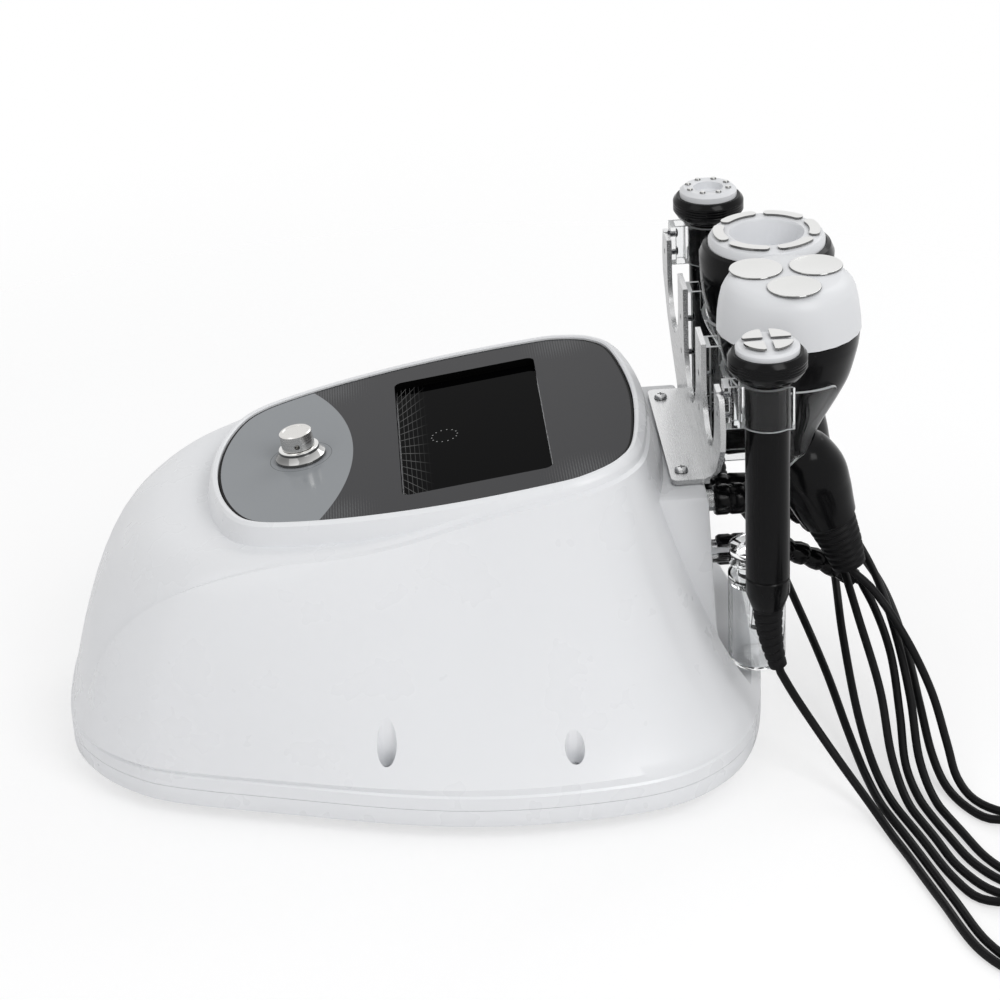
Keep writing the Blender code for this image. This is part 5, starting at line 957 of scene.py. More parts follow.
def ribbed_profile(start_radius, end_radius, length, ribs):
    """Radii and distances along a ribbed, tapering sleeve."""
    points = [(start_radius, 0)]
    for i in range(ribs):
        for edge, depth in ((0.4, 0), (0.6, 1), (1.0, 0)):
            share = (i + edge) / (ribs + 0.6)
            radius = start_radius + (end_radius - start_radius) * share - RIB_DEPTH * depth
            points.append((radius, length * share))
    points.append((end_radius, length))
    return points


def round_places(centre, circle, count, first_share=0.5):
    """Places spaced evenly round a circle."""
    places = []
    for i in range(count):
        turn = 2 * math.pi * (i + first_share) / count
        places.append((centre[0] + circle * math.cos(turn), centre[1] + circle * math.sin(turn)))
    return places


def stems(places, radius, low, high):
    """Upright stems, from the electrodes to the carrier below."""
    return [cylinder(radius, low, high, TINY_SIDES, at) for at in places]


# The outlines and the panel's plane


def catmull_rom(points, steps):
    """Points along a smooth curve through the given ones."""
    made = []
    last = len(points) - 1
    for i in range(last):
        around = (points[max(i - 1, 0)], points[i], points[i + 1], points[min(i + 2, last)])
        for k in range(steps):
            t = k / steps
            made.append(tuple(
                b + 0.5 * t * (c - a + t * (2 * a - 5 * b + 4 * c - d + t * (3 * (b - c) + d - a)))
                for a, b, c, d in zip(*around)
            ))
    return made + [tuple(points[last])]


def polar_table(shares, half_width, front, back):
    """(angle from the front in degrees, radius) along half an outline."""
    points = [(x * half_width, y * (front if y < 0 else back)) for x, y in shares]
    mirrored_start = [(-x, y) for x, y in points[2:0:-1]]
    mirrored_end = [(-x, y) for x, y in points[-2:-4:-1]]
    table = []
    for x, y in catmull_rom(mirrored_start + points + mirrored_end, OUTLINE_STEPS):
        angle = math.degrees(math.atan2(x, -y))
        if -1 < angle < 181:
            table.append((angle, math.hypot(x, y)))
    return sorted(table)


def reach(table, degrees):
    """The outline's radius at an angle from the front, alike on both sides."""
    degrees = abs(degrees)
    for (a0, r0), (a1, r1) in zip(table, table[1:]):
        if degrees <= a1:
            return r0 + (r1 - r0) * (degrees - a0) / (a1 - a0)
    return table[-1][1]


def azimuth_list():
    """Angles round the outline from the back, past the front, and on to the back again."""
    half = [0.0]
    for end, steps in AZIMUTH_ZONES:
        start = half[-1]
        half += [start + (end - start) * (i + 1) / steps for i in range(steps)]
    return [-degrees for degrees in half[:0:-1]] + half[:-1]


def grip_station(height_share, run_share, radius_share):
    """Height, Y and radius of a large handpiece's section."""
    height = GRIP_BOTTOM + (CAP_SEAM - GRIP_BOTTOM) * height_share
    return height, BIG_AXIS_Y + CAP_RADIUS * run_share, CAP_RADIUS * radius_share


BASE_TABLE = polar_table(BASE_SHARES, BODY_HALF_WIDTH, BODY_FRONT, BODY_BACK)
PANEL_TABLE = polar_table(PANEL_SHARES, PANEL_HALF_WIDTH, PANEL_FRONT, PANEL_BACK)
AZIMUTHS = azimuth_list()
GRIP_STATIONS = [grip_station(*shares) for shares in catmull_rom(GRIP_SHARES, GRIP_STEPS)]


def on_panel(across, along, height):
    """A point in the panel's own frame: across, up the slope, and out of its top face."""
    lean = math.cos(PANEL_TILT)
    rise = math.sin(PANEL_TILT)
    return Vector(
        (across, along * lean - height * rise, PANEL_LEVEL + along * rise + height * lean)
    )


def panel_matrix(along, height):
    return Matrix.Translation(on_panel(0, along, height)) @ Matrix.Rotation(PANEL_TILT, 4, "X")


def smooth_step(value):
    value = min(1.0, max(0.0, value))
    return value * value * (3 - 2 * value)


def outline_ring(table, offset, spot):
    """An outline grown by offset, with each point's place given by spot."""
    points = []
    for degrees in AZIMUTHS:
        radius = reach(table, degrees) + offset
        turn = math.radians(degrees)
        points.append(spot(radius * math.sin(turn), -radius * math.cos(turn)))
    return points


def panel_ring(offset, height):
    """The panel's outline grown by offset, at a height over its top face."""
    return outline_ring(PANEL_TABLE, offset, lambda x, y: on_panel(x, y, height))


def base_ring(offset, height):
    return outline_ring(BASE_TABLE, offset, lambda x, y: Vector((x, y, height)))


def leaf_edge(degrees):
    """Where the raised leaf starts, as a share of the way down the wall."""
    fall = math.exp((LEAF_TIP_DEG - abs(degrees)) / LEAF_FALL_DEG)
    return min(LEAF_MOST_SHARE, max(LEAF_LEAST_SHARE, LEAF_START_SHARE * fall))


def wall_point(degrees, down, inset=0, leaf=True):
    """A point of the flared wall, from the collar's foot (down = 0) to the skirt (down = 1)."""
    side = abs(degrees)
    turn = math.radians(degrees)
    top_radius = reach(PANEL_TABLE, degrees) + COLLAR_WIDTH
    foot_radius = reach(BASE_TABLE, degrees) - SKIRT_LEDGE
    drop_share = smooth_step((COLLAR_FOOT_END_DEG - side) / COLLAR_FOOT_ZONE_DEG)
    drop = COLLAR_BACK_DROP + (COLLAR_FRONT_DROP - COLLAR_BACK_DROP) * drop_share
    top = on_panel(0, -top_radius * math.cos(turn), 0).z - drop
    front_share = 1 - smooth_step((side - FRONT_ZONE_START_DEG) / FRONT_ZONE_DEG)
    bell = SIDE_BELL - math.sqrt(SIDE_BELL * SIDE_BELL - 2 * down)
    bell /= SIDE_BELL - math.sqrt(SIDE_BELL * SIDE_BELL - 2)
    spread = (1 - front_share) * bell + front_share * down**FRONT_POWER
    radius = top_radius + (foot_radius - top_radius) * spread - inset
    if leaf:
        step = smooth_step((down - leaf_edge(degrees)) / LEAF_STEP_SHARE)
        ramp = smooth_step((side - LEAF_TIP_DEG) / LEAF_RAMP_DEG)
        fade = 1 - smooth_step((side - LEAF_FADE_DEG) / LEAF_FADE_DEG)
        end = smooth_step((1 - down) / LEAF_STEP_SHARE / 4)
        radius += LEAF_DEPTH * step * ramp * fade * end
    height = top + (SKIRT_TOP - top) * down
    return Vector((radius * math.sin(turn), -radius * math.cos(turn), height))


def wall_levels(degrees):
    """The rings' places down the wall: closer near the collar and along the leaf's edge."""
    edge = leaf_edge(degrees)
    start = edge + LEAF_STEP_SHARE
    above = [edge * (i / RINGS_ABOVE_LEAF) ** RING_POWER for i in range(RINGS_ABOVE_LEAF)]
    below = [start + (1 - start) * i / RINGS_ON_LEAF for i in range(RINGS_ON_LEAF + 1)]
    return above + [edge] + below


# Housing, tray, feet, panel, screen and knob


def housing_outside():
    """The closed outer form: deck, pocket, collar, flared wall and skirt."""
    rings = [
        panel_ring(GAP, -PANEL_THICKNESS - GAP),
        panel_ring(GAP, COLLAR_RISE / 2),
        panel_ring(COLLAR_WIDTH * 0.2, COLLAR_RISE),
        panel_ring(COLLAR_WIDTH * 0.5, COLLAR_RISE * 0.9),
        panel_ring(COLLAR_WIDTH * 0.8, 0),
    ]
    for row in zip(*(wall_levels(degrees) for degrees in AZIMUTHS)):
        rings.append([wall_point(degrees, down) for degrees, down in zip(AZIMUTHS, row)])
    rings.append(base_ring(0, SKIRT_TOP - SKIRT_LEDGE))
    rings.append(base_ring(0, SKIRT_BOTTOM))
    return loft(rings)


def housing_hollow():
    """The space inside the wall, a little under the deck's lower face."""
    deck_bottom = PANEL_THICKNESS + GAP + WALL
    rings = [panel_ring(-WALL, -deck_bottom)]
    for step in range(HOLLOW_STEPS + 1):
        down = (step / HOLLOW_STEPS) ** 2
        ring = []
        for degrees in AZIMUTHS:
            point = wall_point(degrees, down, inset=WALL, leaf=False)
            limit = on_panel(0, point.y, -deck_bottom).z
            point.z = min(point.z - WALL, limit - GAP * (1 + down))
            ring.append(point)
        rings.append(ring)
    rings.append(base_ring(-WALL, SKIRT_TOP - WALL - GAP))
    rings.append(base_ring(-WALL, SKIRT_BOTTOM - OVERRUN))
    return loft(rings)


def window_plate(grow, thickness, height):
    """A plate of the screen window's outline, centred at a height over the panel's top face."""
    outline = rounded_rectangle(WINDOW_WIDTH / 2 + grow, WINDOW_LENGTH / 2 + grow, WINDOW_ROUND)
    return moved(flat_shape(thickness, outline), panel_matrix(0, height))


def spindle_way(top, height):
    way = cylinder(SPINDLE_RADIUS + OVERRUN / 2, -4 * PANEL_THICKNESS, top, SMALL_SIDES)
    return moved(way, panel_matrix(KNOB_Q, height))


def back_line(height):
    """The Y of the block's sloping back face at a height."""
    share = (SHELF_TOP - height) / (SHELF_TOP - LEDGE_LEVEL)
    return SHELF_BACK_TOP + (SHELF_BACK_BOTTOM - SHELF_BACK_TOP) * share


def back_slot(width, height, x, level):
    face = back_line(level)
    return box(
        (x - width / 2, face - 2 * WALL - OVERRUN, level - height / 2),
        (x + width / 2, face + OVERRUN, level + height / 2),
    )


def back_ways():
    """The openings of the back wall: sockets, mains inlet, switch and vents."""
    ways = []
    for x in PLUG_COLUMNS:
        for level in PLUG_LEVELS:
            hole = cylinder(SOCKET_BODY_RADIUS + GAP, -2 * WALL - OVERRUN, OVERRUN, SMALL_SIDES)
            ways.append(shifted(moved(hole, TO_BACK), x, back_line(level), level))
    well = (INLET_WELL_WIDTH + 4 * INLET_FLANGE, INLET_WELL_HEIGHT + 3 * INLET_FLANGE)
    room = (SWITCH_WIDTH + 2 * SWITCH_FRAME, SWITCH_HEIGHT + 2 * SWITCH_FRAME)
    ways.append(back_slot(*well, INLET_X, MAINS_LEVEL))
    ways.append(back_slot(*room, SWITCH_X, MAINS_LEVEL))
    for i in range(VENT_COUNT):
        x = VENT_X + VENT_PITCH * (i - (VENT_COUNT - 1) / 2)
        ways.append(back_slot(VENT_WIDTH, VENT_HEIGHT, x, VENT_LEVEL))
    return ways


def side_plate(outline, width):
    """A plate drawn in YZ, with its middle at X = 0."""
    return moved(flat_shape(width, outline), SIDEWAYS)


def make_top_housing():
    shell = housing_outside()
    under = LEDGE_LEVEL - OVERRUN
    over = SHELF_TOP + OVERRUN
    far = BODY_BACK + OVERRUN
    inner_half = SHELF_HALF_WIDTH - WALL
    block = side_plate([
        (SHELF_FRONT, SHELF_TOP), (SHELF_BACK_TOP, SHELF_TOP),
        (back_line(under), under), (SHELF_FRONT, under),
    ], 2 * SHELF_HALF_WIDTH)
    add_bevel(block, BLOCK_ROUND)
    join(shell, block)
    cut(shell, side_plate([
        (SHELF_BACK_TOP + GAP, over), (far, over),
        (far, LEDGE_LEVEL), (SHELF_BACK_BOTTOM + GAP, LEDGE_LEVEL),
    ], 2 * (SHELF_HALF_WIDTH + GAP)))
    hollow = housing_hollow()
    boss = (RECESS_RADIUS + RECESS_WALL, RECESS_FLOOR - RECESS_FLOOR_THICKNESS, PANEL_LEVEL)
    for at in RECESS_PLACES:
        cut(hollow, cylinder(*boss, SMALL_SIDES, at))
    cut(hollow, box(
        (-2 * SHELF_HALF_WIDTH, SHELF_BACK_TOP - WALL, LEDGE_LEVEL - WALL),
        (2 * SHELF_HALF_WIDTH, far, PANEL_LEVEL),
    ))
    cut(shell, hollow, box(
        (-inner_half, SHELF_FRONT, under),
        (inner_half, SHELF_BACK_TOP - WALL + GAP, SHELF_TOP - WALL),
    ))
    screw_low = RECESS_FLOOR - 2 * RECESS_FLOOR_THICKNESS
    for at in RECESS_PLACES:
        recess = cylinder(RECESS_RADIUS, RECESS_FLOOR, PANEL_LEVEL, SMALL_SIDES)
        moved(recess, Matrix.Diagonal((RECESS_OVAL_SHARE, 1, 1, 1)))
        way = cylinder(CASE_SCREW_RADIUS + GAP, screw_low, RECESS_FLOOR + OVERRUN, TINY_SIDES, at)
        cut(shell, shifted(recess, *at), way)
    cut(shell, window_plate(GAP, 4 * PANEL_THICKNESS, -PANEL_THICKNESS), spindle_way(0, OVERRUN))
    for x in (HOLDER_SCREW_X, -HOLDER_SCREW_X):
        cut(shell, shelf_screw_way(x, SHELF_TOP - 2 * WALL, over))
    made = place(cut(shell, *back_ways()), "top_housing")
    to_panel = (Matrix.Translation((0, SHIFT, 0)) @ panel_matrix(0, 0)).inverted()

    def round_window(face):
        spot = to_panel @ face.center
        beside = abs(spot.x) < WINDOW_WIDTH / 2 + 2 * GAP and abs(spot.y) < WINDOW_LENGTH / 2 + 2 * GAP
        return beside and -4 * PANEL_THICKNESS < spot.z < 0

    dress_faces(made, "black_line", round_window)


def shelf_screw_way(x, low, high):
    return cylinder(PAN_SCREW_RADIUS + GAP, low, high, TINY_SIDES, (x, HOLDER_SCREW_Y))


def make_base_tray():
    low = FOOT_HEIGHT
    top = FOOT_HEIGHT + TRAY_HEIGHT
    floor = low + WALL
    lip = WALL + GAP
    lip_top = top + TRAY_LIP_HEIGHT
    tray = loft([base_ring(offset, height) for offset, height in (
        (-TRAY_EDGE_ROUND, low),
        (-TRAY_EDGE_ROUND * 0.3, low + TRAY_EDGE_ROUND * 0.3),
        (0, low + TRAY_EDGE_ROUND),
        (0, top),
        (-lip, top),
        (-lip, lip_top),
        (-lip - WALL, lip_top),
        (-lip - WALL, floor),
    )])
    post_low = floor - WALL / 2
    post_top = RECESS_FLOOR - RECESS_FLOOR_THICKNESS - GAP
    for at in RECESS_PLACES:
        join(tray, cylinder(POST_RADIUS, post_low, post_top, SMALL_SIDES, at))
        cut(tray, cylinder(CASE_SCREW_RADIUS + GAP, floor, post_top + OVERRUN, TINY_SIDES, at))
    half_width = BOARD_WIDTH / 2 - 2 * POST_RADIUS
    half_length = BOARD_LENGTH / 2 - 2 * POST_RADIUS
    for x in (half_width, -half_width):
        for y in (BOARD_Y + half_length, BOARD_Y - half_length):
            join(tray, cylinder(POST_RADIUS * 0.8, post_low, floor + STANDOFF, TINY_SIDES, (x, y)))
    place(tray, "base_tray")


def make_feet():
    for end, (x, y) in zip(("front", "rear"), FOOT_PLACES):
        for word, side in (("right", 1), ("left", -1)):
            at = (side * x, y)
            foot = cylinder(FOOT_RADIUS * 0.88, 0, FOOT_HEIGHT - GAP, SMALL_SIDES, at, FOOT_RADIUS)
            place(foot, f"foot_{end}_{word}")


def make_control_panel():
    panel = loft([
        panel_ring(-BORDER_LINE, 0),
        panel_ring(-2 * GAP, 0),
        panel_ring(-GAP, -2 * GAP),
        panel_ring(-GAP, -PANEL_THICKNESS),
    ])
    cut(panel, window_plate(0, 4 * PANEL_THICKNESS, 0), spindle_way(OVERRUN, 0))
    dress_faces(
        place(panel, "control_panel"),
        "black_line",
        lambda face: face.area < BORDER_FACE_AREA or abs(face.normal.z) < FLAT_SLOPE,
    )


def make_knob():
    to_panel = panel_matrix(KNOB_Q, 0)
    bore = SPINDLE_RADIUS + GAP
    ring_bore = bore + GAP
    ring = turned([
        (ring_bore, RING_HEIGHT),
        (RING_RADIUS * 0.74, RING_HEIGHT),
        (RING_RADIUS * 0.80, RING_HEIGHT * 0.93),
        (RING_RADIUS * 0.80, RING_HEIGHT * 0.72),
        (RING_RADIUS * 0.92, RING_HEIGHT * 0.42),
        (RING_RADIUS, RING_HEIGHT * 0.26),
        (RING_RADIUS, GAP),
        (ring_bore, GAP),
        (ring_bore, RING_HEIGHT),
    ])
    place(moved(ring, to_panel), "knob_ring")
    cap_bottom = KNOB_TOP - 0.35 * KNOB_RADIUS
    knob = turned([
        (0, KNOB_TOP - GAP),
        (KNOB_RADIUS * 0.72, KNOB_TOP - GAP),
        (KNOB_RADIUS * 0.76, KNOB_TOP),
        (KNOB_RADIUS * 0.90, KNOB_TOP),
        (KNOB_RADIUS * 0.97, KNOB_TOP - KNOB_RADIUS * 0.06),
        (KNOB_RADIUS, KNOB_FOOT),
        (bore, KNOB_FOOT),
        (bore, cap_bottom),
        (0, cap_bottom),
    ])
    way = cylinder(GRUB_RADIUS + GAP, SPINDLE_RADIUS * 0.5, KNOB_RADIUS + OVERRUN, TINY_SIDES)
    to_grub = to_panel @ Matrix.Translation((0, 0, (cap_bottom + KNOB_FOOT) / 2))
    moved(way, to_grub @ Matrix.Rotation(math.pi / 2, 4, "Y"))
    place(cut(moved(knob, to_panel), way), "knob")


# Holder, clips and screws


def bay(start, end, floor_share):
    """A U-shaped cut between two fingers, from the finger at start to the one at end."""
    radius = abs(start - end) / 2
    foot = SHELF_TOP + GAP
    floor = foot + (HOLDER_TOP - foot) * floor_share
    centre = ((start + end) / 2, min(floor + radius, HOLDER_TOP - HOLDER_CORNER))
    bottom = [(x, max(z, floor)) for x, z in arc(centre, radius, 0, -180, 8)]
    return [(start, HOLDER_TOP)] + bottom + [(end, HOLDER_TOP)]


def holder_outline():
    """The upright plate in XZ: one side, the three bays between its fingers, the other side."""
    foot = SHELF_TOP + GAP
    rise = HOLDER_TOP - foot
    spread = HOLDER_REACH - HOLDER_HALF_WIDTH
    side = [(HOLDER_HALF_WIDTH + spread * a, foot + rise * b) for a, b in HOLDER_SHARES]
    side.append((SMALL_CLIP_X + FINGER_HALF_WIDTH * 0.6, HOLDER_TOP))
    near = SMALL_CLIP_X - FINGER_HALF_WIDTH
    outer_edge = BIG_CLIP_X + FINGER_HALF_WIDTH
    inner_edge = BIG_CLIP_X - FINGER_HALF_WIDTH
    outline = side + bay(near, outer_edge, BAY_FLOOR_SHARE)
    outline += bay(inner_edge, -inner_edge, MIDDLE_BAY_FLOOR_SHARE)
    outline += bay(-outer_edge, -near, BAY_FLOOR_SHARE)
    return outline + [(-x, z) for x, z in side[::-1]]


def clip_way(x, y, level):
    way = cylinder(CLIP_SCREW_RADIUS + GAP, -OVERRUN, OVERRUN, TINY_SIDES)
    return shifted(moved(way, TO_FRONT), x, y, level)


def make_holder():
    middle = SHELF_BACK_TOP - GAP + PLATE / 2
    back = SHELF_BACK_TOP - GAP + PLATE * 0.7
    half = HOLDER_HALF_WIDTH
    inner = half - HOLDER_CORNER
    corner_y = HOLDER_FRONT + HOLDER_CORNER
    foot_outline = [(-half, back)]
    foot_outline += arc((-inner, corner_y), HOLDER_CORNER, 180, 270, 4)
    foot_outline += arc((inner, corner_y), HOLDER_CORNER, 270, 360, 4)
    foot_outline += [(half, back)]
    plate = flat_shape(PLATE, holder_outline())
    moved(plate, Matrix.Translation((0, middle, 0)) @ TO_FRONT)
    join(plate, shifted(flat_shape(PLATE, foot_outline), 0, 0, SHELF_TOP + GAP * 2 + PLATE / 2))
    for x in (HOLDER_SCREW_X, -HOLDER_SCREW_X):
        cut(plate, shelf_screw_way(x, SHELF_TOP - OVERRUN, SHELF_TOP + PLATE + OVERRUN))
    for x, level in CLIP_SCREW_PLACES:
        cut(plate, clip_way(x, middle, level))
    place(plate, "holder_bracket")


def make_small_clip(name, x):
    """A C-shaped ring on a hollow stem, drawn in plan."""
    inner = TUBE_RADIUS + GAP
    outer = inner + CLIP_WALL
    half = CLIP_STEM_HALF_WIDTH
    join_y = -math.sqrt(outer * outer - half * half)
    stem_start = CLIP_START - SMALL_AXIS_Y
    lip_deg = 90 - CLIP_MOUTH_DEG
    start_deg = math.degrees(math.atan2(join_y, half))
    tip = math.radians(lip_deg)
    tips = [(radius * math.cos(tip), radius * math.sin(tip) + CLIP_LIP) for radius in (outer, inner)]
    outline = [(half, stem_start), (half, join_y)]
    outline += arc((0, 0), outer, start_deg, lip_deg, 6) + tips
    outline += arc((0, 0), inner, lip_deg, -180 - lip_deg, 14)
    outline += [(-tip_x, tip_y) for tip_x, tip_y in tips[::-1]]
    outline += arc((0, 0), outer, 180 - lip_deg, 180 - start_deg, 6)
    outline.append((-half, stem_start))
    pocket = rounded_rectangle(
        half - CLIP_WALL * 0.7, (-outer - stem_start - CLIP_BACK) / 2, CLIP_WALL / 4, 1
    )
    pocket_y = (stem_start + CLIP_BACK - outer) / 2
    pocket = [(px, py + pocket_y) for px, py in pocket]
    clip = flat_shape(SMALL_CLIP_TOP - SMALL_CLIP_BOTTOM, outline, pocket)
    shifted(clip, x, SMALL_AXIS_Y, (SMALL_CLIP_TOP + SMALL_CLIP_BOTTOM) / 2)
    for level in SMALL_CLIP_SCREW_LEVELS:
        cut(clip, clip_way(x, CLIP_START + CLIP_BACK / 2, level))
    # Painted highlight: the clip's top and bottom faces get an opaque pale plastic that stands in for the
    # bright rims of clear plastic
    dress_faces(place(clip, name), "painted_edge_highlight", lambda face: abs(face.normal.z) > FLAT_SLOPE)


def bulb_profile(low, high, least=0.0):
    """(radius, height) of the room that the bulb needs, from top to bottom."""
    profile = []
    for i in range(BULB_STEPS + 1):
        height = high + (low - high) * i / BULB_STEPS
        inside = min(height, GRIP_STATIONS[0][0])
        for (h0, y0, r0), (h1, y1, r1) in zip(GRIP_STATIONS, GRIP_STATIONS[1:]):
            if h1 <= inside <= h0:
                part = (h0 - inside) / (h0 - h1)
                lean = abs(y0 + (y1 - y0) * part - BIG_AXIS_Y)
                profile.append((max(least, r0 + (r1 - r0) * part + lean + 2 * GAP), height))
                break
    return profile


def cradle_side():
    """The cradle's side view in YZ: arms that run forward at the top and narrow downwards."""
    rise = BIG_CLIP_ARM_TOP - BIG_CLIP_BOTTOM
    back = CLIP_START - OVERRUN
    stem_edge = CLIP_START + CLIP_BACK * 3
    corner = (BIG_AXIS_Y + CAP_RADIUS * 0.47, BIG_CLIP_ARM_TOP - CAP_RADIUS * 0.09)
    arms = [(BIG_AXIS_Y + CAP_RADIUS * a, BIG_CLIP_BOTTOM + rise * b) for a, b in ARM_SHARES]
    return [
        (back, BIG_CLIP_BOTTOM), (back, BIG_CLIP_TOP),
        (stem_edge, BIG_CLIP_TOP), (stem_edge, BIG_CLIP_ARM_TOP - GAP),
        *arc(corner, CAP_RADIUS * 0.08, 90, 0, 3),
        *arms,
    ]


def make_big_clip(name, x):
    """A conical cradle on a hollow stem, trimmed to its side view and to the bulb."""
    low = BIG_CLIP_BOTTOM
    high = BIG_CLIP_ARM_TOP
    under = low - OVERRUN / 2
    envelope_low = low - OVERRUN
    envelope_high = BIG_CLIP_TOP + OVERRUN
    waist = bulb_profile(low, high)
    least = min(radius for radius, height in waist)
    outer = [(radius + CLIP_WALL, height) for radius, height in waist]
    at = (0, BIG_AXIS_Y)
    ring = turned([(0, high)] + outer + [(outer[-1][0], under), (0, under)], at=at)
    half = BIG_CLIP_STEM_HALF_WIDTH
    inner = half - CLIP_WALL * 0.8
    depth = BIG_AXIS_Y - CLIP_START
    stem = flat_shape(
        BIG_CLIP_TOP - low + OVERRUN * 1.5,
        corners(half, CLIP_START, BIG_AXIS_Y - GAP),
        corners(inner, CLIP_START + CLIP_BACK, CLIP_START + depth * 2 / 3),
    )
    room = bulb_profile(envelope_low, envelope_high, least)
    envelope = turned([(0, envelope_high)] + room + [(0, envelope_low)], at=at)
    join(ring, shifted(stem, 0, 0, (BIG_CLIP_TOP + low) / 2))
    cut(ring, envelope)
    combine("INTERSECT", ring, [side_plate(cradle_side(), 4 * CAP_RADIUS)])
    for level in BIG_CLIP_SCREW_LEVELS:
        cut(ring, clip_way(0, CLIP_START + CLIP_BACK / 2, level))
    made = place(shifted(applied(ring), x), name)

    # Painted highlight: cut edges and flat faces get an opaque pale plastic that stands in for the bright
    # rims of clear plastic
    def cut_edge(face):
        below = face.normal.y > HIGHLIGHT_EDGE_SLOPE and abs(face.normal.x) < HIGHLIGHT_EDGE_TURN
        return below or face.center.z > BIG_CLIP_ARM_TOP or abs(face.normal.z) > FLAT_SLOPE

    dress_faces(made, "painted_edge_highlight", cut_edge)


def corners(half, start, end):
    return [(-half, start), (half, start), (half, end), (-half, end)]


def cross_screw(head, matrix):
    """A pan-head screw with a cross recess; the seat of its head lies at the matrix's origin."""
    radius, height = head
    shank = radius * SHANK_RADIUS_SHARE
    foot = -radius * SHANK_LENGTH_SHARE
    profile = [(radius * r, height * h) for r, h in HEAD_SHARES]
    screw = turned(profile + [(shank, 0), (shank, foot), (0, foot)], SMALL_SIDES)
    long = radius * CROSS_LENGTH_SHARE
    slim = radius * CROSS_WIDTH_SHARE
    for half_x, half_y in ((long, slim), (slim, long)):
        cut(screw, slab(half_x, half_y, height * CROSS_BOTTOM_SHARE, height * 2))
    return moved(applied(screw), matrix)


def make_screws():
    seat = SHELF_TOP + PLATE + 3 * GAP
    for side, word in ((1, "right"), (-1, "left")):
        spot = Matrix.Translation((side * HOLDER_SCREW_X, HOLDER_SCREW_Y, seat))
        place(cross_screw(PAN_HEAD, spot), f"bracket_screw_{word}")
    for n, (x, level) in enumerate(CLIP_SCREW_PLACES):
        spot = Matrix.Translation((x, CLIP_START + CLIP_BACK + GAP, level))
        show(cross_screw(CLIP_HEAD, spot @ TO_BACK), f"clip_screw_{n}", "dark_screw", "root")
    for n, at in enumerate(RECESS_PLACES):
        spot = Matrix.Translation((*at, RECESS_FLOOR + GAP))
        show(cross_screw(CASE_HEAD, spot), f"case_screw_{n}", "zinc_case", "root")


# Handpieces: a small or a large one gives back where its cable leaves and in which direction


def head_ridges():
    """Fine grooves round the side of a slim handpiece's head."""
    points = []
    low = HEAD_BOTTOM + HEAD_RADIUS * 0.36
    high = HEAD_TOP - HEAD_RADIUS * 0.16
    for n in range(HEAD_GROOVES + 1):
        level = high + (low - high) * n / HEAD_GROOVES
        points += [
            (HEAD_RADIUS, level + HEAD_GROOVE_DEPTH * 2),
            (HEAD_RADIUS - HEAD_GROOVE_DEPTH, level),
            (HEAD_RADIUS, level - HEAD_GROOVE_DEPTH * 2),
        ]
    return points


def quarter_pole(index, x):
    """One of four quarter-disc electrodes with round corners on the domed face."""
    inner = FACE_RADIUS * 0.13
    outer = FACE_RADIUS * 0.80
    outline = [(inner, inner), (outer * 0.93, inner)]
    outline += arc((0, 0), outer, 16, 74, 5) + [(inner, outer * 0.93)]
    turn = Matrix.Rotation(index * math.pi / 2, 4, "Z")
    pole = moved(flat_shape(POLE_RISE, outline), turn)
    return shifted(pole, x, SMALL_AXIS_Y, FACE_TOP + GAP + POLE_RISE / 2)


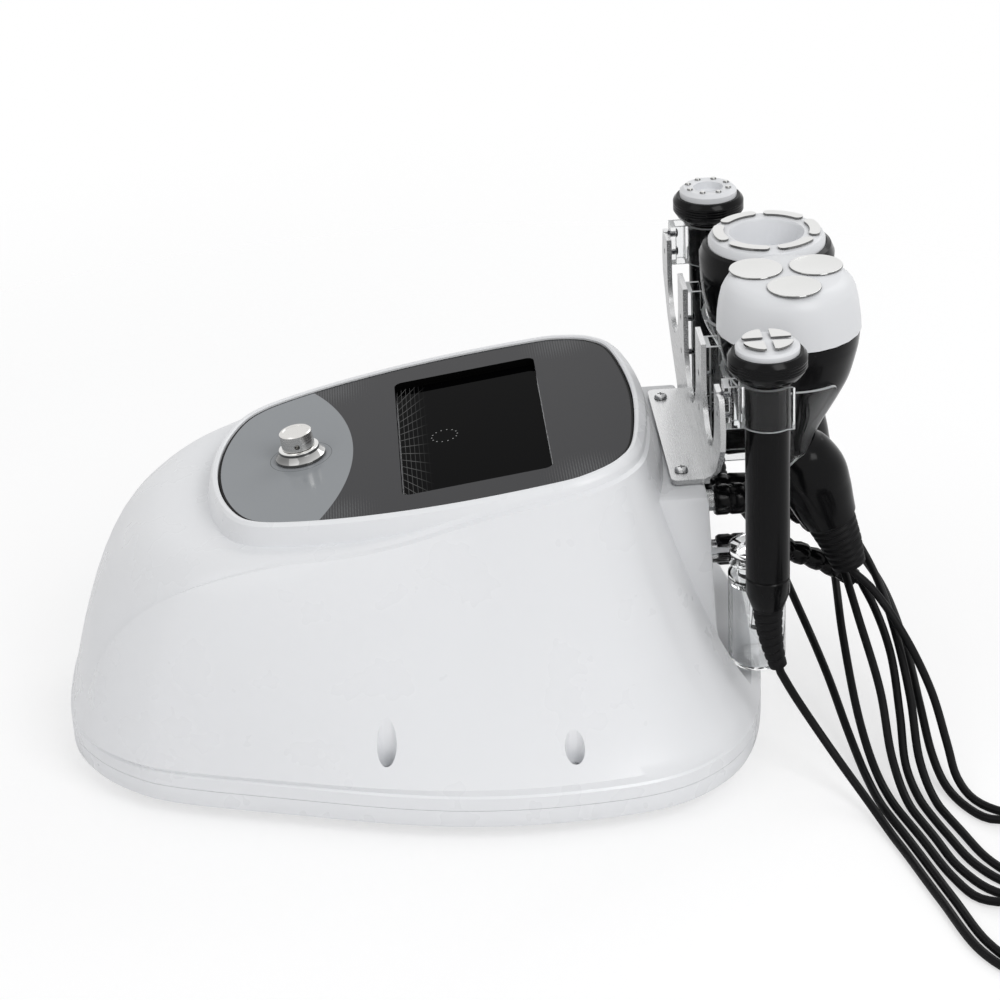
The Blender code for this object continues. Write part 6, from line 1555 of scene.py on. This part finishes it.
def make_small_handpiece(side_name, x, quarter_poles):
    centre = (x, SMALL_AXIS_Y)
    shoulder = FACE_SEAT - 3 * GAP - CARRIER_THICKNESS
    tube = turned([
        (0, shoulder),
        (CARRIER_RADIUS + GAP, shoulder),
        (CARRIER_RADIUS + GAP, FACE_SEAT - GAP),
        (FACE_RADIUS + GAP, FACE_SEAT - GAP),
        (FACE_RADIUS + GAP, HEAD_TOP),
        (HEAD_RADIUS * 0.90, HEAD_TOP),
        (HEAD_RADIUS * 0.98, HEAD_TOP - HEAD_RADIUS * 0.09),
        *head_ridges(),
        (HEAD_RADIUS * 0.98, HEAD_BOTTOM + HEAD_RADIUS * 0.30),
        (HEAD_RADIUS * 0.86, HEAD_BOTTOM + HEAD_RADIUS * 0.12),
        (HEAD_RADIUS * 0.64, HEAD_BOTTOM),
        (TUBE_RADIUS, HEAD_BOTTOM),
        (TUBE_RADIUS, GROOVE_LEVEL + GROOVE_DEPTH),
        (TUBE_RADIUS - GROOVE_DEPTH, GROOVE_LEVEL),
        (TUBE_RADIUS, GROOVE_LEVEL - GROOVE_DEPTH),
        (TUBE_RADIUS, TUBE_TAPER_TOP),
        (TUBE_END_RADIUS, TUBE_BOTTOM),
        (0, TUBE_BOTTOM),
    ], at=centre)
    place(tube, f"rf_tube_{side_name}")
    rim = FACE_TOP - POLE_RISE
    if quarter_poles:
        profile = [
            (0, FACE_TOP),
            (FACE_RADIUS * 0.6, FACE_TOP - POLE_RISE * 0.5),
            (FACE_RADIUS * 0.93, rim - POLE_RISE * 0.4),
            (FACE_RADIUS, rim - POLE_RISE * 1.6),
        ]
        places = round_places(centre, FACE_RADIUS * 0.5, 4)
        poles = [quarter_pole(i, x) for i in range(4)]
    else:
        profile = [
            (0, SMALL_CUP_FLOOR),
            (SMALL_CUP_RADIUS * 0.9, SMALL_CUP_FLOOR),
            (SMALL_CUP_RADIUS, SMALL_CUP_FLOOR + POLE_RISE),
            (SMALL_CUP_RADIUS, FACE_TOP - POLE_RISE * 0.4),
            (SMALL_CUP_RADIUS * 1.1, FACE_TOP),
            (FACE_RADIUS * 0.86, FACE_TOP),
            (FACE_RADIUS, rim - POLE_RISE),
        ]
        dot = ((0, POLE_RISE), (DOT_RADIUS * 0.7, POLE_RISE * 0.75), (DOT_RADIUS, 0), (0, 0))
        places = round_places(centre, DOT_CIRCLE, DOT_COUNT)
        poles = [shifted(turned(dot, TINY_SIDES), *at, FACE_TOP + GAP) for at in places]
    face = turned(profile + [(FACE_RADIUS, FACE_SEAT), (0, FACE_SEAT)], at=centre)
    seat = FACE_SEAT - 2 * GAP
    carrier = cylinder(CARRIER_RADIUS, seat - CARRIER_THICKNESS, seat, ROUND_SIDES, centre)
    join(carrier, *stems(places, POLE_STEM, seat - GAP, FACE_TOP + POLE_RISE / 2), *poles)
    place(carrier, f"rf_poles_{side_name}")
    cut(face, *stems(places, POLE_STEM + GAP, seat, FACE_TOP + OVERRUN))
    place(face, f"rf_face_{side_name}")
    points = []
    for radius, distance in ribbed_profile(
        SMALL_RELIEF_RADIUS, SMALL_RELIEF_END_RADIUS, SMALL_RELIEF_LENGTH, RELIEF_RIBS
    ):
        share = distance / SMALL_RELIEF_LENGTH
        y = SMALL_AXIS_Y + SMALL_RELIEF_BEND * share * share
        points.append((Vector((x, y, TUBE_BOTTOM - GAP - distance)), radius))
    return place_relief(f"rf_relief_{side_name}", points)


def place_relief(name, points):
    line = along_spine(points)
    place(swept(line, SMALL_SIDES), name)
    return line[-1][:2]


def make_large_handpiece(name, x, vacuum):
    if vacuum:
        width = VACUUM_RADIUS / CAP_RADIUS
        seat_radius = VACUUM_RING_RADIUS + GAP
        top = VACUUM_BODY_TOP
        head = [
            (CUP_SEAT - GAP, seat_radius),
            (top - GAP, seat_radius),
            (top, seat_radius + GAP * 3),
            (top - 0.03 * VACUUM_RADIUS, VACUUM_RADIUS * 0.95),
            (top - 0.15 * VACUUM_RADIUS, VACUUM_RADIUS),
        ]
    else:
        width = 1
        head = [(CAP_SEAM - GAP, CAP_RADIUS * 0.96)]
    points = [(Vector((x, BIG_AXIS_Y, height)), radius) for height, radius in head]
    for height, y, radius in GRIP_STATIONS[0 if vacuum else 1:]:
        share = max(0, (height - GRIP_FLARE) / (CAP_SEAM - GRIP_FLARE))
        points.append((Vector((x, y, height)), radius * (1 + (width - 1) * share)))
    line = []
    for centre, direction, radius in along_spine(points):
        if centre.z > BIG_CLIP_BOTTOM + OVERRUN:
            direction = Vector((0, 0, -1))
        line.append((centre, direction, radius))
    place(swept(line, ROUND_SIDES), f"{name}_body")
    if vacuum:
        make_vacuum_face(name, (x, BIG_AXIS_Y))
    else:
        make_tripolar_cap(name, (x, BIG_AXIS_Y))
    start = grip_station(*GRIP_SHARES[-1])[0] - GAP * 2
    spine = [
        (start - BIG_RELIEF_LENGTH * share, BIG_AXIS_Y + CAP_RADIUS * run)
        for share, run, radius in RELIEF_SHARES
    ]
    points = []
    for radius, distance in ribbed_profile(
        CAP_RADIUS * RELIEF_SHARES[0][2], CAP_RADIUS * RELIEF_SHARES[-1][2],
        BIG_RELIEF_LENGTH, RELIEF_RIBS,
    ):
        share = distance / BIG_RELIEF_LENGTH
        low = 0 if share <= RELIEF_SHARES[1][0] else 1
        (z0, y0), (z1, y1) = spine[low], spine[low + 1]
        part = share * 2 - low
        points.append((Vector((x, y0 + (y1 - y0) * part, z0 + (z1 - z0) * part)), radius))
    return place_relief(f"{name}_relief", points)


def make_tripolar_cap(name, centre):
    crown = CAP_TOP - CAP_SEAM
    profile = [(CAP_RADIUS * r, CAP_SEAM + crown * h) for r, h in CAP_SHARES]
    cap = turned(profile, TINY_SIDES, centre)
    seat = CAP_SEAM + crown * 0.90 - GAP
    below = seat - 2 * CARRIER_THICKNESS
    places = round_places(centre, DISC_CIRCLE, 3, 0)
    cut(cap, *stems(places, DISC_STEM + GAP, below, CAP_TOP + OVERRUN))
    place(cap, f"{name}_cap")
    disc = (
        (0, DISC_RISE * 0.85),
        (DISC_RADIUS * 0.88, DISC_RISE * 0.85),
        (DISC_RADIUS * 0.92, DISC_RISE),
        (DISC_RADIUS * 0.98, DISC_RISE * 0.9),
        (DISC_RADIUS, DISC_RISE * 0.5),
        (DISC_RADIUS * 0.97, GAP),
        (0, GAP),
    )
    discs = [shifted(turned(disc, SMALL_SIDES), *at, CAP_TOP) for at in places]
    carrier = cylinder(CAP_RADIUS * 0.70, below, seat, SMALL_SIDES, centre)
    join(carrier, *stems(places, DISC_STEM, below + GAP, CAP_TOP + DISC_RISE / 2), *discs)
    place(carrier, f"{name}_discs")


def make_vacuum_face(name, centre):
    top = VACUUM_RING_TOP
    edge = VACUUM_RING_RADIUS
    wall = CUP_RADIUS * 1.12
    under = top - 0.12 * edge
    face = turned([
        (0, CUP_FLOOR),
        (CUP_RADIUS * 0.88, CUP_FLOOR),
        (CUP_RADIUS * 0.96, CUP_FLOOR + 0.05 * edge),
        (CUP_RADIUS, top - 0.04 * edge),
        (CUP_RADIUS * 1.04, top),
        (edge * 0.88, top),
        (edge * 0.96, top - 0.03 * edge),
        (edge, top - 0.10 * edge),
        (edge, CUP_SEAT),
        (edge * 0.93, CUP_SEAT),
        (edge * 0.93, under),
        (wall, under),
        (wall, CUP_SEAT),
        (0, CUP_SEAT),
    ], at=centre)
    seat = under - GAP
    below = seat - CARRIER_THICKNESS
    places = round_places(centre, KIDNEY_CIRCLE, KIDNEY_COUNT)
    cut(face, *stems(places, POLE_STEM + GAP, below, top + OVERRUN))
    place(face, f"{name}_cup")
    kidneys = [kidney(360 * (i + 0.5) / KIDNEY_COUNT, centre) for i in range(KIDNEY_COUNT)]
    hole = wall + GAP
    rim = edge * 0.93 - GAP
    carrier = turned([(hole, seat), (rim, seat), (rim, below), (hole, below), (hole, seat)], at=centre)
    join(carrier, *stems(places, POLE_STEM, below + GAP, top + KIDNEY_RISE / 2), *kidneys)
    place(carrier, f"{name}_poles")


def kidney(middle_deg, centre):
    """A curved electrode with round ends, on the vacuum ring."""
    low = middle_deg - KIDNEY_HALF_DEG
    high = middle_deg + KIDNEY_HALF_DEG
    half = KIDNEY_HALF_WIDTH
    ends = [
        (KIDNEY_CIRCLE * math.cos(math.radians(angle)), KIDNEY_CIRCLE * math.sin(math.radians(angle)))
        for angle in (high, low)
    ]
    outline = arc((0, 0), KIDNEY_CIRCLE + half, low, high, 3)
    outline += arc(ends[0], half, high, high + 180, 3)[1:-1]
    outline += arc((0, 0), KIDNEY_CIRCLE - half, high, low, 3)
    outline += arc(ends[1], half, low + 180, low + 360, 3)[1:-1]
    shape = flat_shape(KIDNEY_RISE, outline)
    return shifted(shape, *centre, VACUUM_RING_TOP + GAP + KIDNEY_RISE / 2)


# Filter, sockets, mains and plugs


def make_filter():
    at = (BOTTLE_X, BOTTLE_Y)
    inside = BOTTLE_RADIUS - BOTTLE_WALL
    bottom = BOTTLE_BOTTOM
    place(turned([
        (inside, BOTTLE_TOP),
        (BOTTLE_RADIUS, BOTTLE_TOP),
        (BOTTLE_RADIUS, bottom + BOTTLE_WALL * 2),
        (BOTTLE_RADIUS * 0.9, bottom),
        (0, bottom),
        (0, bottom + BOTTLE_WALL * 1.5),
        (inside * 0.92, bottom + BOTTLE_WALL * 1.5),
        (inside, bottom + BOTTLE_WALL * 3),
        (inside, BOTTLE_TOP),
    ], at=at), "filter_bottle")
    low = BOTTLE_TOP + GAP
    high = low + FILTER_CAP_HEIGHT
    plug_bottom = low - FILTER_NECK_HEIGHT * 0.5
    cap = turned([
        (0, high),
        (FILTER_CAP_RADIUS * 0.55, high),
        (FILTER_CAP_RADIUS, high - FILTER_CAP_HEIGHT * 0.12),
        (FILTER_CAP_RADIUS, low + FILTER_NECK_HEIGHT),
        (FILTER_NECK_RADIUS, low + FILTER_NECK_HEIGHT * 0.8),
        (FILTER_NECK_RADIUS, low + BOTTLE_WALL),
        (BOTTLE_RADIUS, low + BOTTLE_WALL),
        (BOTTLE_RADIUS, low),
        (inside - GAP, low),
        (inside - GAP, plug_bottom),
        (FILTER_TUBE_RADIUS, plug_bottom),
        (FILTER_TUBE_RADIUS, bottom + FILTER_CAP_HEIGHT),
        (0, bottom + FILTER_CAP_HEIGHT),
    ], at=at)
    arm_level = high - FILTER_CAP_HEIGHT * 0.35
    arm = cylinder(FILTER_TUBE_RADIUS, back_line(arm_level) + 2 * GAP, BOTTLE_Y, SMALL_SIDES)
    join(cap, shifted(moved(arm, TO_BACK), BOTTLE_X, 0, arm_level))
    place(cap, "filter_cap")


def along_back(obj, x, level, reach_down):
    """Turns a piece made along +Z so that it stands out of the sloping back wall."""
    return shifted(moved(obj, TO_BACK), x, back_line(level - reach_down) + 2 * GAP, level)


def make_sockets():
    deep = back_line(PLUG_LEVELS[1]) - SOCKET_BODY_LENGTH
    margin = SOCKET_RADIUS
    board = box(
        (PLUG_COLUMNS[1] - margin, deep - BOARD_THICKNESS, PLUG_LEVELS[1] - margin),
        (PLUG_COLUMNS[0] + margin, deep + BOARD_THICKNESS, PLUG_LEVELS[0] + margin),
    )
    profile = (
        (0, SOCKET_NOSE),
        (SOCKET_NOSE_RADIUS, SOCKET_NOSE),
        (SOCKET_NOSE_RADIUS, SOCKET_FLANGE),
        (SOCKET_RADIUS, SOCKET_FLANGE * 0.8),
        (SOCKET_RADIUS, 0),
        (SOCKET_BODY_RADIUS, 0),
        (SOCKET_BODY_RADIUS, -SOCKET_BODY_LENGTH),
        (0, -SOCKET_BODY_LENGTH),
    )
    for x in PLUG_COLUMNS:
        for level in PLUG_LEVELS:
            join(board, along_back(turned(profile, PLUG_SIDES), x, level, SOCKET_RADIUS))
    place(board, "cable_sockets")


def make_mains():
    """The mains inlet with its three pins, in one moulding with the switch's frame, and the rocker."""

    def at_inlet(obj):
        return along_back(obj, INLET_X, MAINS_LEVEL, INLET_HEIGHT / 2)

    def at_switch(obj):
        return along_back(obj, SWITCH_X, MAINS_LEVEL, INLET_HEIGHT / 2)

    well_x = INLET_WELL_WIDTH / 2
    well_y = INLET_WELL_HEIGHT / 2
    rim = INLET_FLANGE
    flange = at_inlet(slab(INLET_WIDTH / 2, INLET_HEIGHT / 2, 0, rim))
    body = at_inlet(slab(well_x + rim, well_y + rim * 0.75, -INLET_DEPTH, rim / 2))
    well = at_inlet(slab(well_x, well_y, rim * 2 - INLET_DEPTH, OVERRUN))
    pins = [
        at_inlet(cylinder(INLET_PIN_RADIUS, rim - INLET_DEPTH, -rim, TINY_SIDES, at))
        for at in ((-INLET_PIN_PITCH, 0), (0, INLET_PIN_PITCH * 0.4), (INLET_PIN_PITCH, 0))
    ]
    edge = SWITCH_FRAME
    half_x = SWITCH_WIDTH / 2
    half_y = SWITCH_HEIGHT / 2
    outer_x = half_x + edge
    outer_y = half_y + edge
    bridge = at_switch(box((INLET_X - SWITCH_X, -outer_y, 0), (0, outer_y, edge)))
    frame_plate = at_switch(slab(outer_x + edge, outer_y + edge, 0, edge))
    frame_body = at_switch(slab(outer_x - GAP, outer_y - GAP, -SWITCH_DEPTH, edge / 2))
    room = at_switch(slab(half_x + GAP, half_y + GAP * 3, edge - SWITCH_DEPTH, OVERRUN))
    join(flange, body, bridge, frame_plate, frame_body)
    cut(flange, room, well)
    face = edge + OVERRUN / 2
    dip = face - half_y * math.tan(math.radians(SWITCH_TRAVEL_DEG))
    middle = face - half_y * 0.5 * math.tan(math.radians(SWITCH_TRAVEL_DEG / 2))
    side = [
        (-half_y, dip), (-half_y * 0.4, middle - GAP), (half_y * 0.4, middle), (half_y, face),
        (half_y, dip - edge), (0, middle - SWITCH_DEPTH * 0.6), (-half_y, dip - edge),
    ]
    place(at_switch(side_plate(side, SWITCH_WIDTH)), "rocker_switch")
    place(join(flange, *pins), "mains_inlet")


def make_plug(name, column, row):
    """A ridged plug on its socket, with a ribbed boot that bends down; returns the boot's end."""
    x = PLUG_COLUMNS[column]
    level = PLUG_LEVELS[row]
    run = BOOT_RUNS[row]
    outward = Vector((0, 1, 0))
    start = back_line(level - SOCKET_RADIUS) + SOCKET_NOSE + 3 * GAP
    groove = PLUG_LENGTH * 0.1
    profile = [(PLUG_RADIUS * 0.9, 0), (PLUG_RADIUS, groove / 2)]
    for middle in (PLUG_LENGTH * 0.3, PLUG_LENGTH * 0.6):
        profile += [
            (PLUG_RADIUS, middle - groove / 2),
            (PLUG_RADIUS - PLUG_GROOVE_DEPTH, middle),
            (PLUG_RADIUS, middle + groove / 2),
        ]
    profile.append((PLUG_RADIUS * 0.95, PLUG_LENGTH))
    line = [(Vector((x, start + away, level)), outward, radius) for radius, away in profile]
    boot = []
    for radius, away in ribbed_profile(BOOT_RADIUS, BOOT_END_RADIUS, run, BOOT_RIBS):
        fall = BOOT_DROPS[row] * (away / run) ** BOOT_BEND_POWER
        boot.append((Vector((x, start + PLUG_LENGTH + away, level - fall)), radius))
    boot_line = along_spine(boot)
    boot_line[0] = (boot[0][0], outward, boot[0][1])
    place(swept(line + boot_line, PLUG_SIDES), name)
    return boot_line[-1][:2]


# Cords


def smooth_route(points):
    """Points at an even spacing along a smooth curve through the given ones."""
    padded = [2 * points[0] - points[1]] + points + [2 * points[-1] - points[-2]]
    fine = []
    for p0, p1, p2, p3 in zip(padded, padded[1:], padded[2:], padded[3:]):
        d0 = math.sqrt((p1 - p0).length)
        d1 = math.sqrt((p2 - p1).length)
        d2 = math.sqrt((p3 - p2).length)
        start = (p2 - p1) + d1 * ((p1 - p0) / d0 - (p2 - p0) / (d0 + d1))
        end = (p2 - p1) + d1 * ((p3 - p2) / d2 - (p3 - p1) / (d1 + d2))
        for k in range(ROUTE_STEPS):
            t = k / ROUTE_STEPS
            rise = t * t * (3 - 2 * t)
            fine.append(p1 + (p2 - p1) * rise + start * (t * (1 - t) ** 2) - end * (t * t * (1 - t)))
    return evenly_spaced(fine + [points[-1]])


def evenly_spaced(fine):
    along = [0.0]
    for a, b in zip(fine, fine[1:]):
        along.append(along[-1] + (b - a).length)
    count = max(2, round(along[-1] / CORD_SPACING))
    made = []
    spot = 0
    for i in range(count + 1):
        want = along[-1] * i / count
        while spot < len(fine) - 2 and along[spot + 1] < want:
            spot += 1
        part = (want - along[spot]) / (along[spot + 1] - along[spot])
        made.append(fine[spot].lerp(fine[spot + 1], part))
    return made


def over_table(points):
    for point in points:
        point.z = max(point.z, CABLE_LEVEL)
    return points


def coil_points(name):
    """Two and a half turns: in along the table, up where the spiral reverses, and out again."""
    cx, cy = COIL_PLACES[name]
    points = []
    for i in range(int(COIL_TURNS * COIL_POINTS_PER_TURN) + 1):
        turns = i / COIL_POINTS_PER_TURN
        radius = COIL_RADIUS - COIL_PITCH * min(turns, COIL_TURNS - turns)
        climb = min(1, max(0, (turns - 1) * 2))
        angle = 2 * math.pi * turns
        points.append(Vector((
            cx + radius * math.cos(angle),
            cy + radius * math.sin(angle),
            CABLE_LEVEL + COIL_LIFT * climb,
        )))
    straight = Vector((0, CABLE_DIAMETER, 0))
    return [points[0] - straight] + points + [points[-1] - straight]


def stretch_points(gland, route, coil_end):
    """From a gland's end face, straight out, along the route and straight into the coil."""
    centre, direction = gland
    start = centre + GAP * direction
    end = coil_end - Vector((0, GAP, 0))
    middle = []
    for x, y, *height in route:
        middle.append(Vector((x / 1000, y / 1000, height[0] / 1000 if height else CABLE_LEVEL)))
    before_end = end - Vector((0, CABLE_DIAMETER, 0))
    curve = smooth_route([start + CABLE_DIAMETER * direction] + middle + [before_end])
    return [start] + over_table(curve) + [end]


def cord_tube(points):
    """A closed round tube whose rings keep their twist along the points."""
    rings = []
    side = None
    for i, centre in enumerate(points):
        ahead = points[min(i + 1, len(points) - 1)]
        behind = points[max(i - 1, 0)]
        direction = (ahead - behind).normalized()
        if side is None:
            side = direction.cross(Vector((1, 0, 0))).normalized()
        side = (side - direction * side.dot(direction)).normalized()
        rings.append(ring_at(centre, CABLE_DIAMETER / 2, side, direction.cross(side), CABLE_SIDES))
    return loft(rings)


def show_cord(name, points, nodes):
    points = over_table(evenly_spaced(points))
    made = show(cord_tube(points), name, "black_rubber")
    move = Vector((0, SHIFT, 0))
    path = [point + move for point in points]
    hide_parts(*nodes)
    return made, path


def make_cord(name, relief_end, boot_end):
    """The two stretches of a handpiece's cable: plug to coil, and handpiece to coil."""
    coil = coil_points(name)
    if name not in LEAD_FIRST:
        coil.reverse()
    lead = stretch_points(boot_end, LEAD_ROUTES[name], coil[0]) + smooth_route(coil)
    nodes = (f"cable_plug_{name}", f"cable_coil_{name}")
    made, path = show_cord(f"cord_{name}_lead", lead, nodes)
    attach(made, "root")
    cable = stretch_points(relief_end, CABLE_ROUTES[name], coil[-1])
    nodes = (f"cable_handle_{name}",)
    made, path = show_cord(f"cord_{name}_handle", cable, nodes)
    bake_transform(made)


# Stage and light


def make_floor():
    """A pale floor that fades into a white surround."""
    look = Look("pale_floor")
    split = look.make("ShaderNodeSeparateXYZ", {0: look.place})
    flat = look.make("ShaderNodeCombineXYZ", {0: split.outputs[0], 1: split.outputs[1]})
    away = look.make("ShaderNodeVectorMath", {0: flat.outputs[0]}, operation="LENGTH")
    look.set(Base_Color=colour((0.93, 0.93, 0.935)), Roughness=0.6)
    path = look.make("ShaderNodeLightPath")
    white = look.make("ShaderNodeEmission", {"Color": colour((1, 1, 1)), "Strength": FLOOR_GLOW})
    seen = look.times(path.outputs["Is Camera Ray"], FLOOR_WHITE)
    lit = look.make("ShaderNodeMixShader", {0: seen, 1: look.shader.outputs[0], 2: white.outputs[0]})
    clear = look.make("ShaderNodeBsdfTransparent")
    rim = look.ramp(away.outputs["Value"], *FLOOR_FADE)
    whole = look.make("ShaderNodeMixShader", {0: rim, 1: lit.outputs[0], 2: clear.outputs[0]})
    look.feed(look.tree.nodes["Material Output"].inputs["Surface"], whole.outputs[0])
    floor = mesh_object(lambda shape: bmesh.ops.create_grid(
        shape, x_segments=4, y_segments=4, size=FLOOR_SIZE
    ))
    shifted(brought_in(floor, "floor"), 0, 0, FLOOR_LEVEL)
    floor.data.materials.append(look.material)


def make_light():
    """A world that is white where it is seen, and soft studio lamps."""
    world = bpy.data.worlds.new("studio")
    bpy.context.scene.world = world
    world.use_nodes = True
    nodes = world.node_tree.nodes
    links = world.node_tree.links
    rays = nodes.new("ShaderNodeLightPath").outputs
    shown = rays["Is Camera Ray"]
    for kind in ("Is Glossy Ray", "Is Transmission Ray"):
        either = nodes.new("ShaderNodeMath")
        either.operation = "MAXIMUM"
        links.new(shown, either.inputs[0])
        links.new(rays[kind], either.inputs[1])
        shown = either.outputs[0]
    strength = nodes.new("ShaderNodeMapRange")
    links.new(shown, strength.inputs[0])
    strength.inputs[3].default_value = WORLD_LIGHT
    strength.inputs[4].default_value = 1.0
    links.new(strength.outputs[0], nodes["Background"].inputs["Strength"])
    nodes["Background"].inputs["Color"].default_value = colour((1, 1, 1))
    for name, spot, aim, size, power in LAMPS:
        data = bpy.data.lights.new(name, "AREA")
        data.shape = "RECTANGLE"
        data.size, data.size_y = size
        data.energy = power
        lamp = bpy.data.objects.new(name, data)
        bpy.context.scene.collection.objects.link(lamp)
        lamp.location = spot
        lamp.rotation_mode = "QUATERNION"
        lamp.rotation_quaternion = (Vector(aim) - Vector(spot)).to_track_quat("-Z", "Y")


def main():
    bpy.context.scene.view_settings.view_transform = "Standard"
    make_camera()
    relief_ends = {
        "rf_right": make_small_handpiece("right", SMALL_CLIP_X, True),
        "rf_left": make_small_handpiece("left", -SMALL_CLIP_X, False),
        "tripolar": make_large_handpiece("tripolar", BIG_CLIP_X, False),
        "vacuum": make_large_handpiece("vacuum", -BIG_CLIP_X, True),
    }
    for name, relief_end in relief_ends.items():
        boot_end = make_plug(f"plug_{name}", *PLUG_OF[name])
        make_cord(name, relief_end, boot_end)
    make_base_tray()
    make_feet()
    make_top_housing()
    make_control_panel()
    glass = window_plate(-2 * GAP, WINDOW_THICKNESS, -WINDOW_DEPTH - WINDOW_THICKNESS / 2)
    place(glass, "display_window")
    make_knob()
    make_holder()
    make_small_clip("clip_small_right", SMALL_CLIP_X)
    make_small_clip("clip_small_left", -SMALL_CLIP_X)
    make_big_clip("clip_large_right", BIG_CLIP_X)
    make_big_clip("clip_large_left", -BIG_CLIP_X)
    make_filter()
    make_sockets()
    make_mains()
    make_screws()
    for name, node in frame["nodes"].items():
        if not node.hide_render:
            dress(node, SLOT_OF[name])
    for obj in list(scratch.objects):
        bpy.data.objects.remove(obj, do_unlink=True)
    make_floor()
    make_light()


LOOKS = {
    "white_gloss_abs": moulded("white_housing", (0.84, 0.85, 0.87), 0.30, 0.004, 0.003, 0.45, 0.06),
    "dark_panel_acrylic": panel_print(),
    "black_glass": screen_glass(),
    "black_line": moulded("black_line", (0.002, 0.002, 0.002), 0.30, specular=0.05),
    # The steel's last number is the painted shade of its sideways faces
    "polished_steel": metal(
        "satin_steel", (0.78, 0.785, 0.79), 0.22, 0.30, (0.04, 1, 1), 1400, 0.012, 0.6
    ),
    # The chrome's sideways faces carry a strong painted shade, a stand-in for the dark reflection on the
    # disc rims
    "chrome_plate": metal(
        "chrome", (0.80, 0.80, 0.79), 0.08, 0.14, scale=90, strength=0.01, sideways_painted_shade=0.22
    ),
    "nickel_knob": turned_metal("turned_knob", (0.72, 0.71, 0.69), LATHE_CENTRE, 0.14, 0.26),
    "clear_acrylic": clear_plastic("clear_plastic", (0.97, 0.985, 0.99), 0.02),
    # Painted highlight: an opaque pale plastic for the edges of the clear clips, standing in for the
    # bright rims of clear plastic
    "painted_edge_highlight": moulded("painted_edge_highlight", (0.78, 0.80, 0.81), 0.35, specular=0.6),
    "black_abs": moulded("black_gloss", (0.004, 0.004, 0.0045), 0.16, 0.006, 0.2, 0.12),
    "black_rubber": moulded("black_soft", (0.005, 0.005, 0.0055), 0.45, 0.05, 0.2, 0.12),
    "white_head": moulded("white_head", (0.78, 0.79, 0.81), 0.34, 0.02, 0.02, 0.35),
    "board_green": moulded("board_laminate", (0.03, 0.16, 0.08), 0.45),
    "dark_screw": metal("blackened_steel", (0.10, 0.10, 0.11), 0.25, 0.40, scale=200),
    "zinc_case": metal("zinc", (0.6, 0.61, 0.62), 0.30, 0.45, scale=200),
}
main()
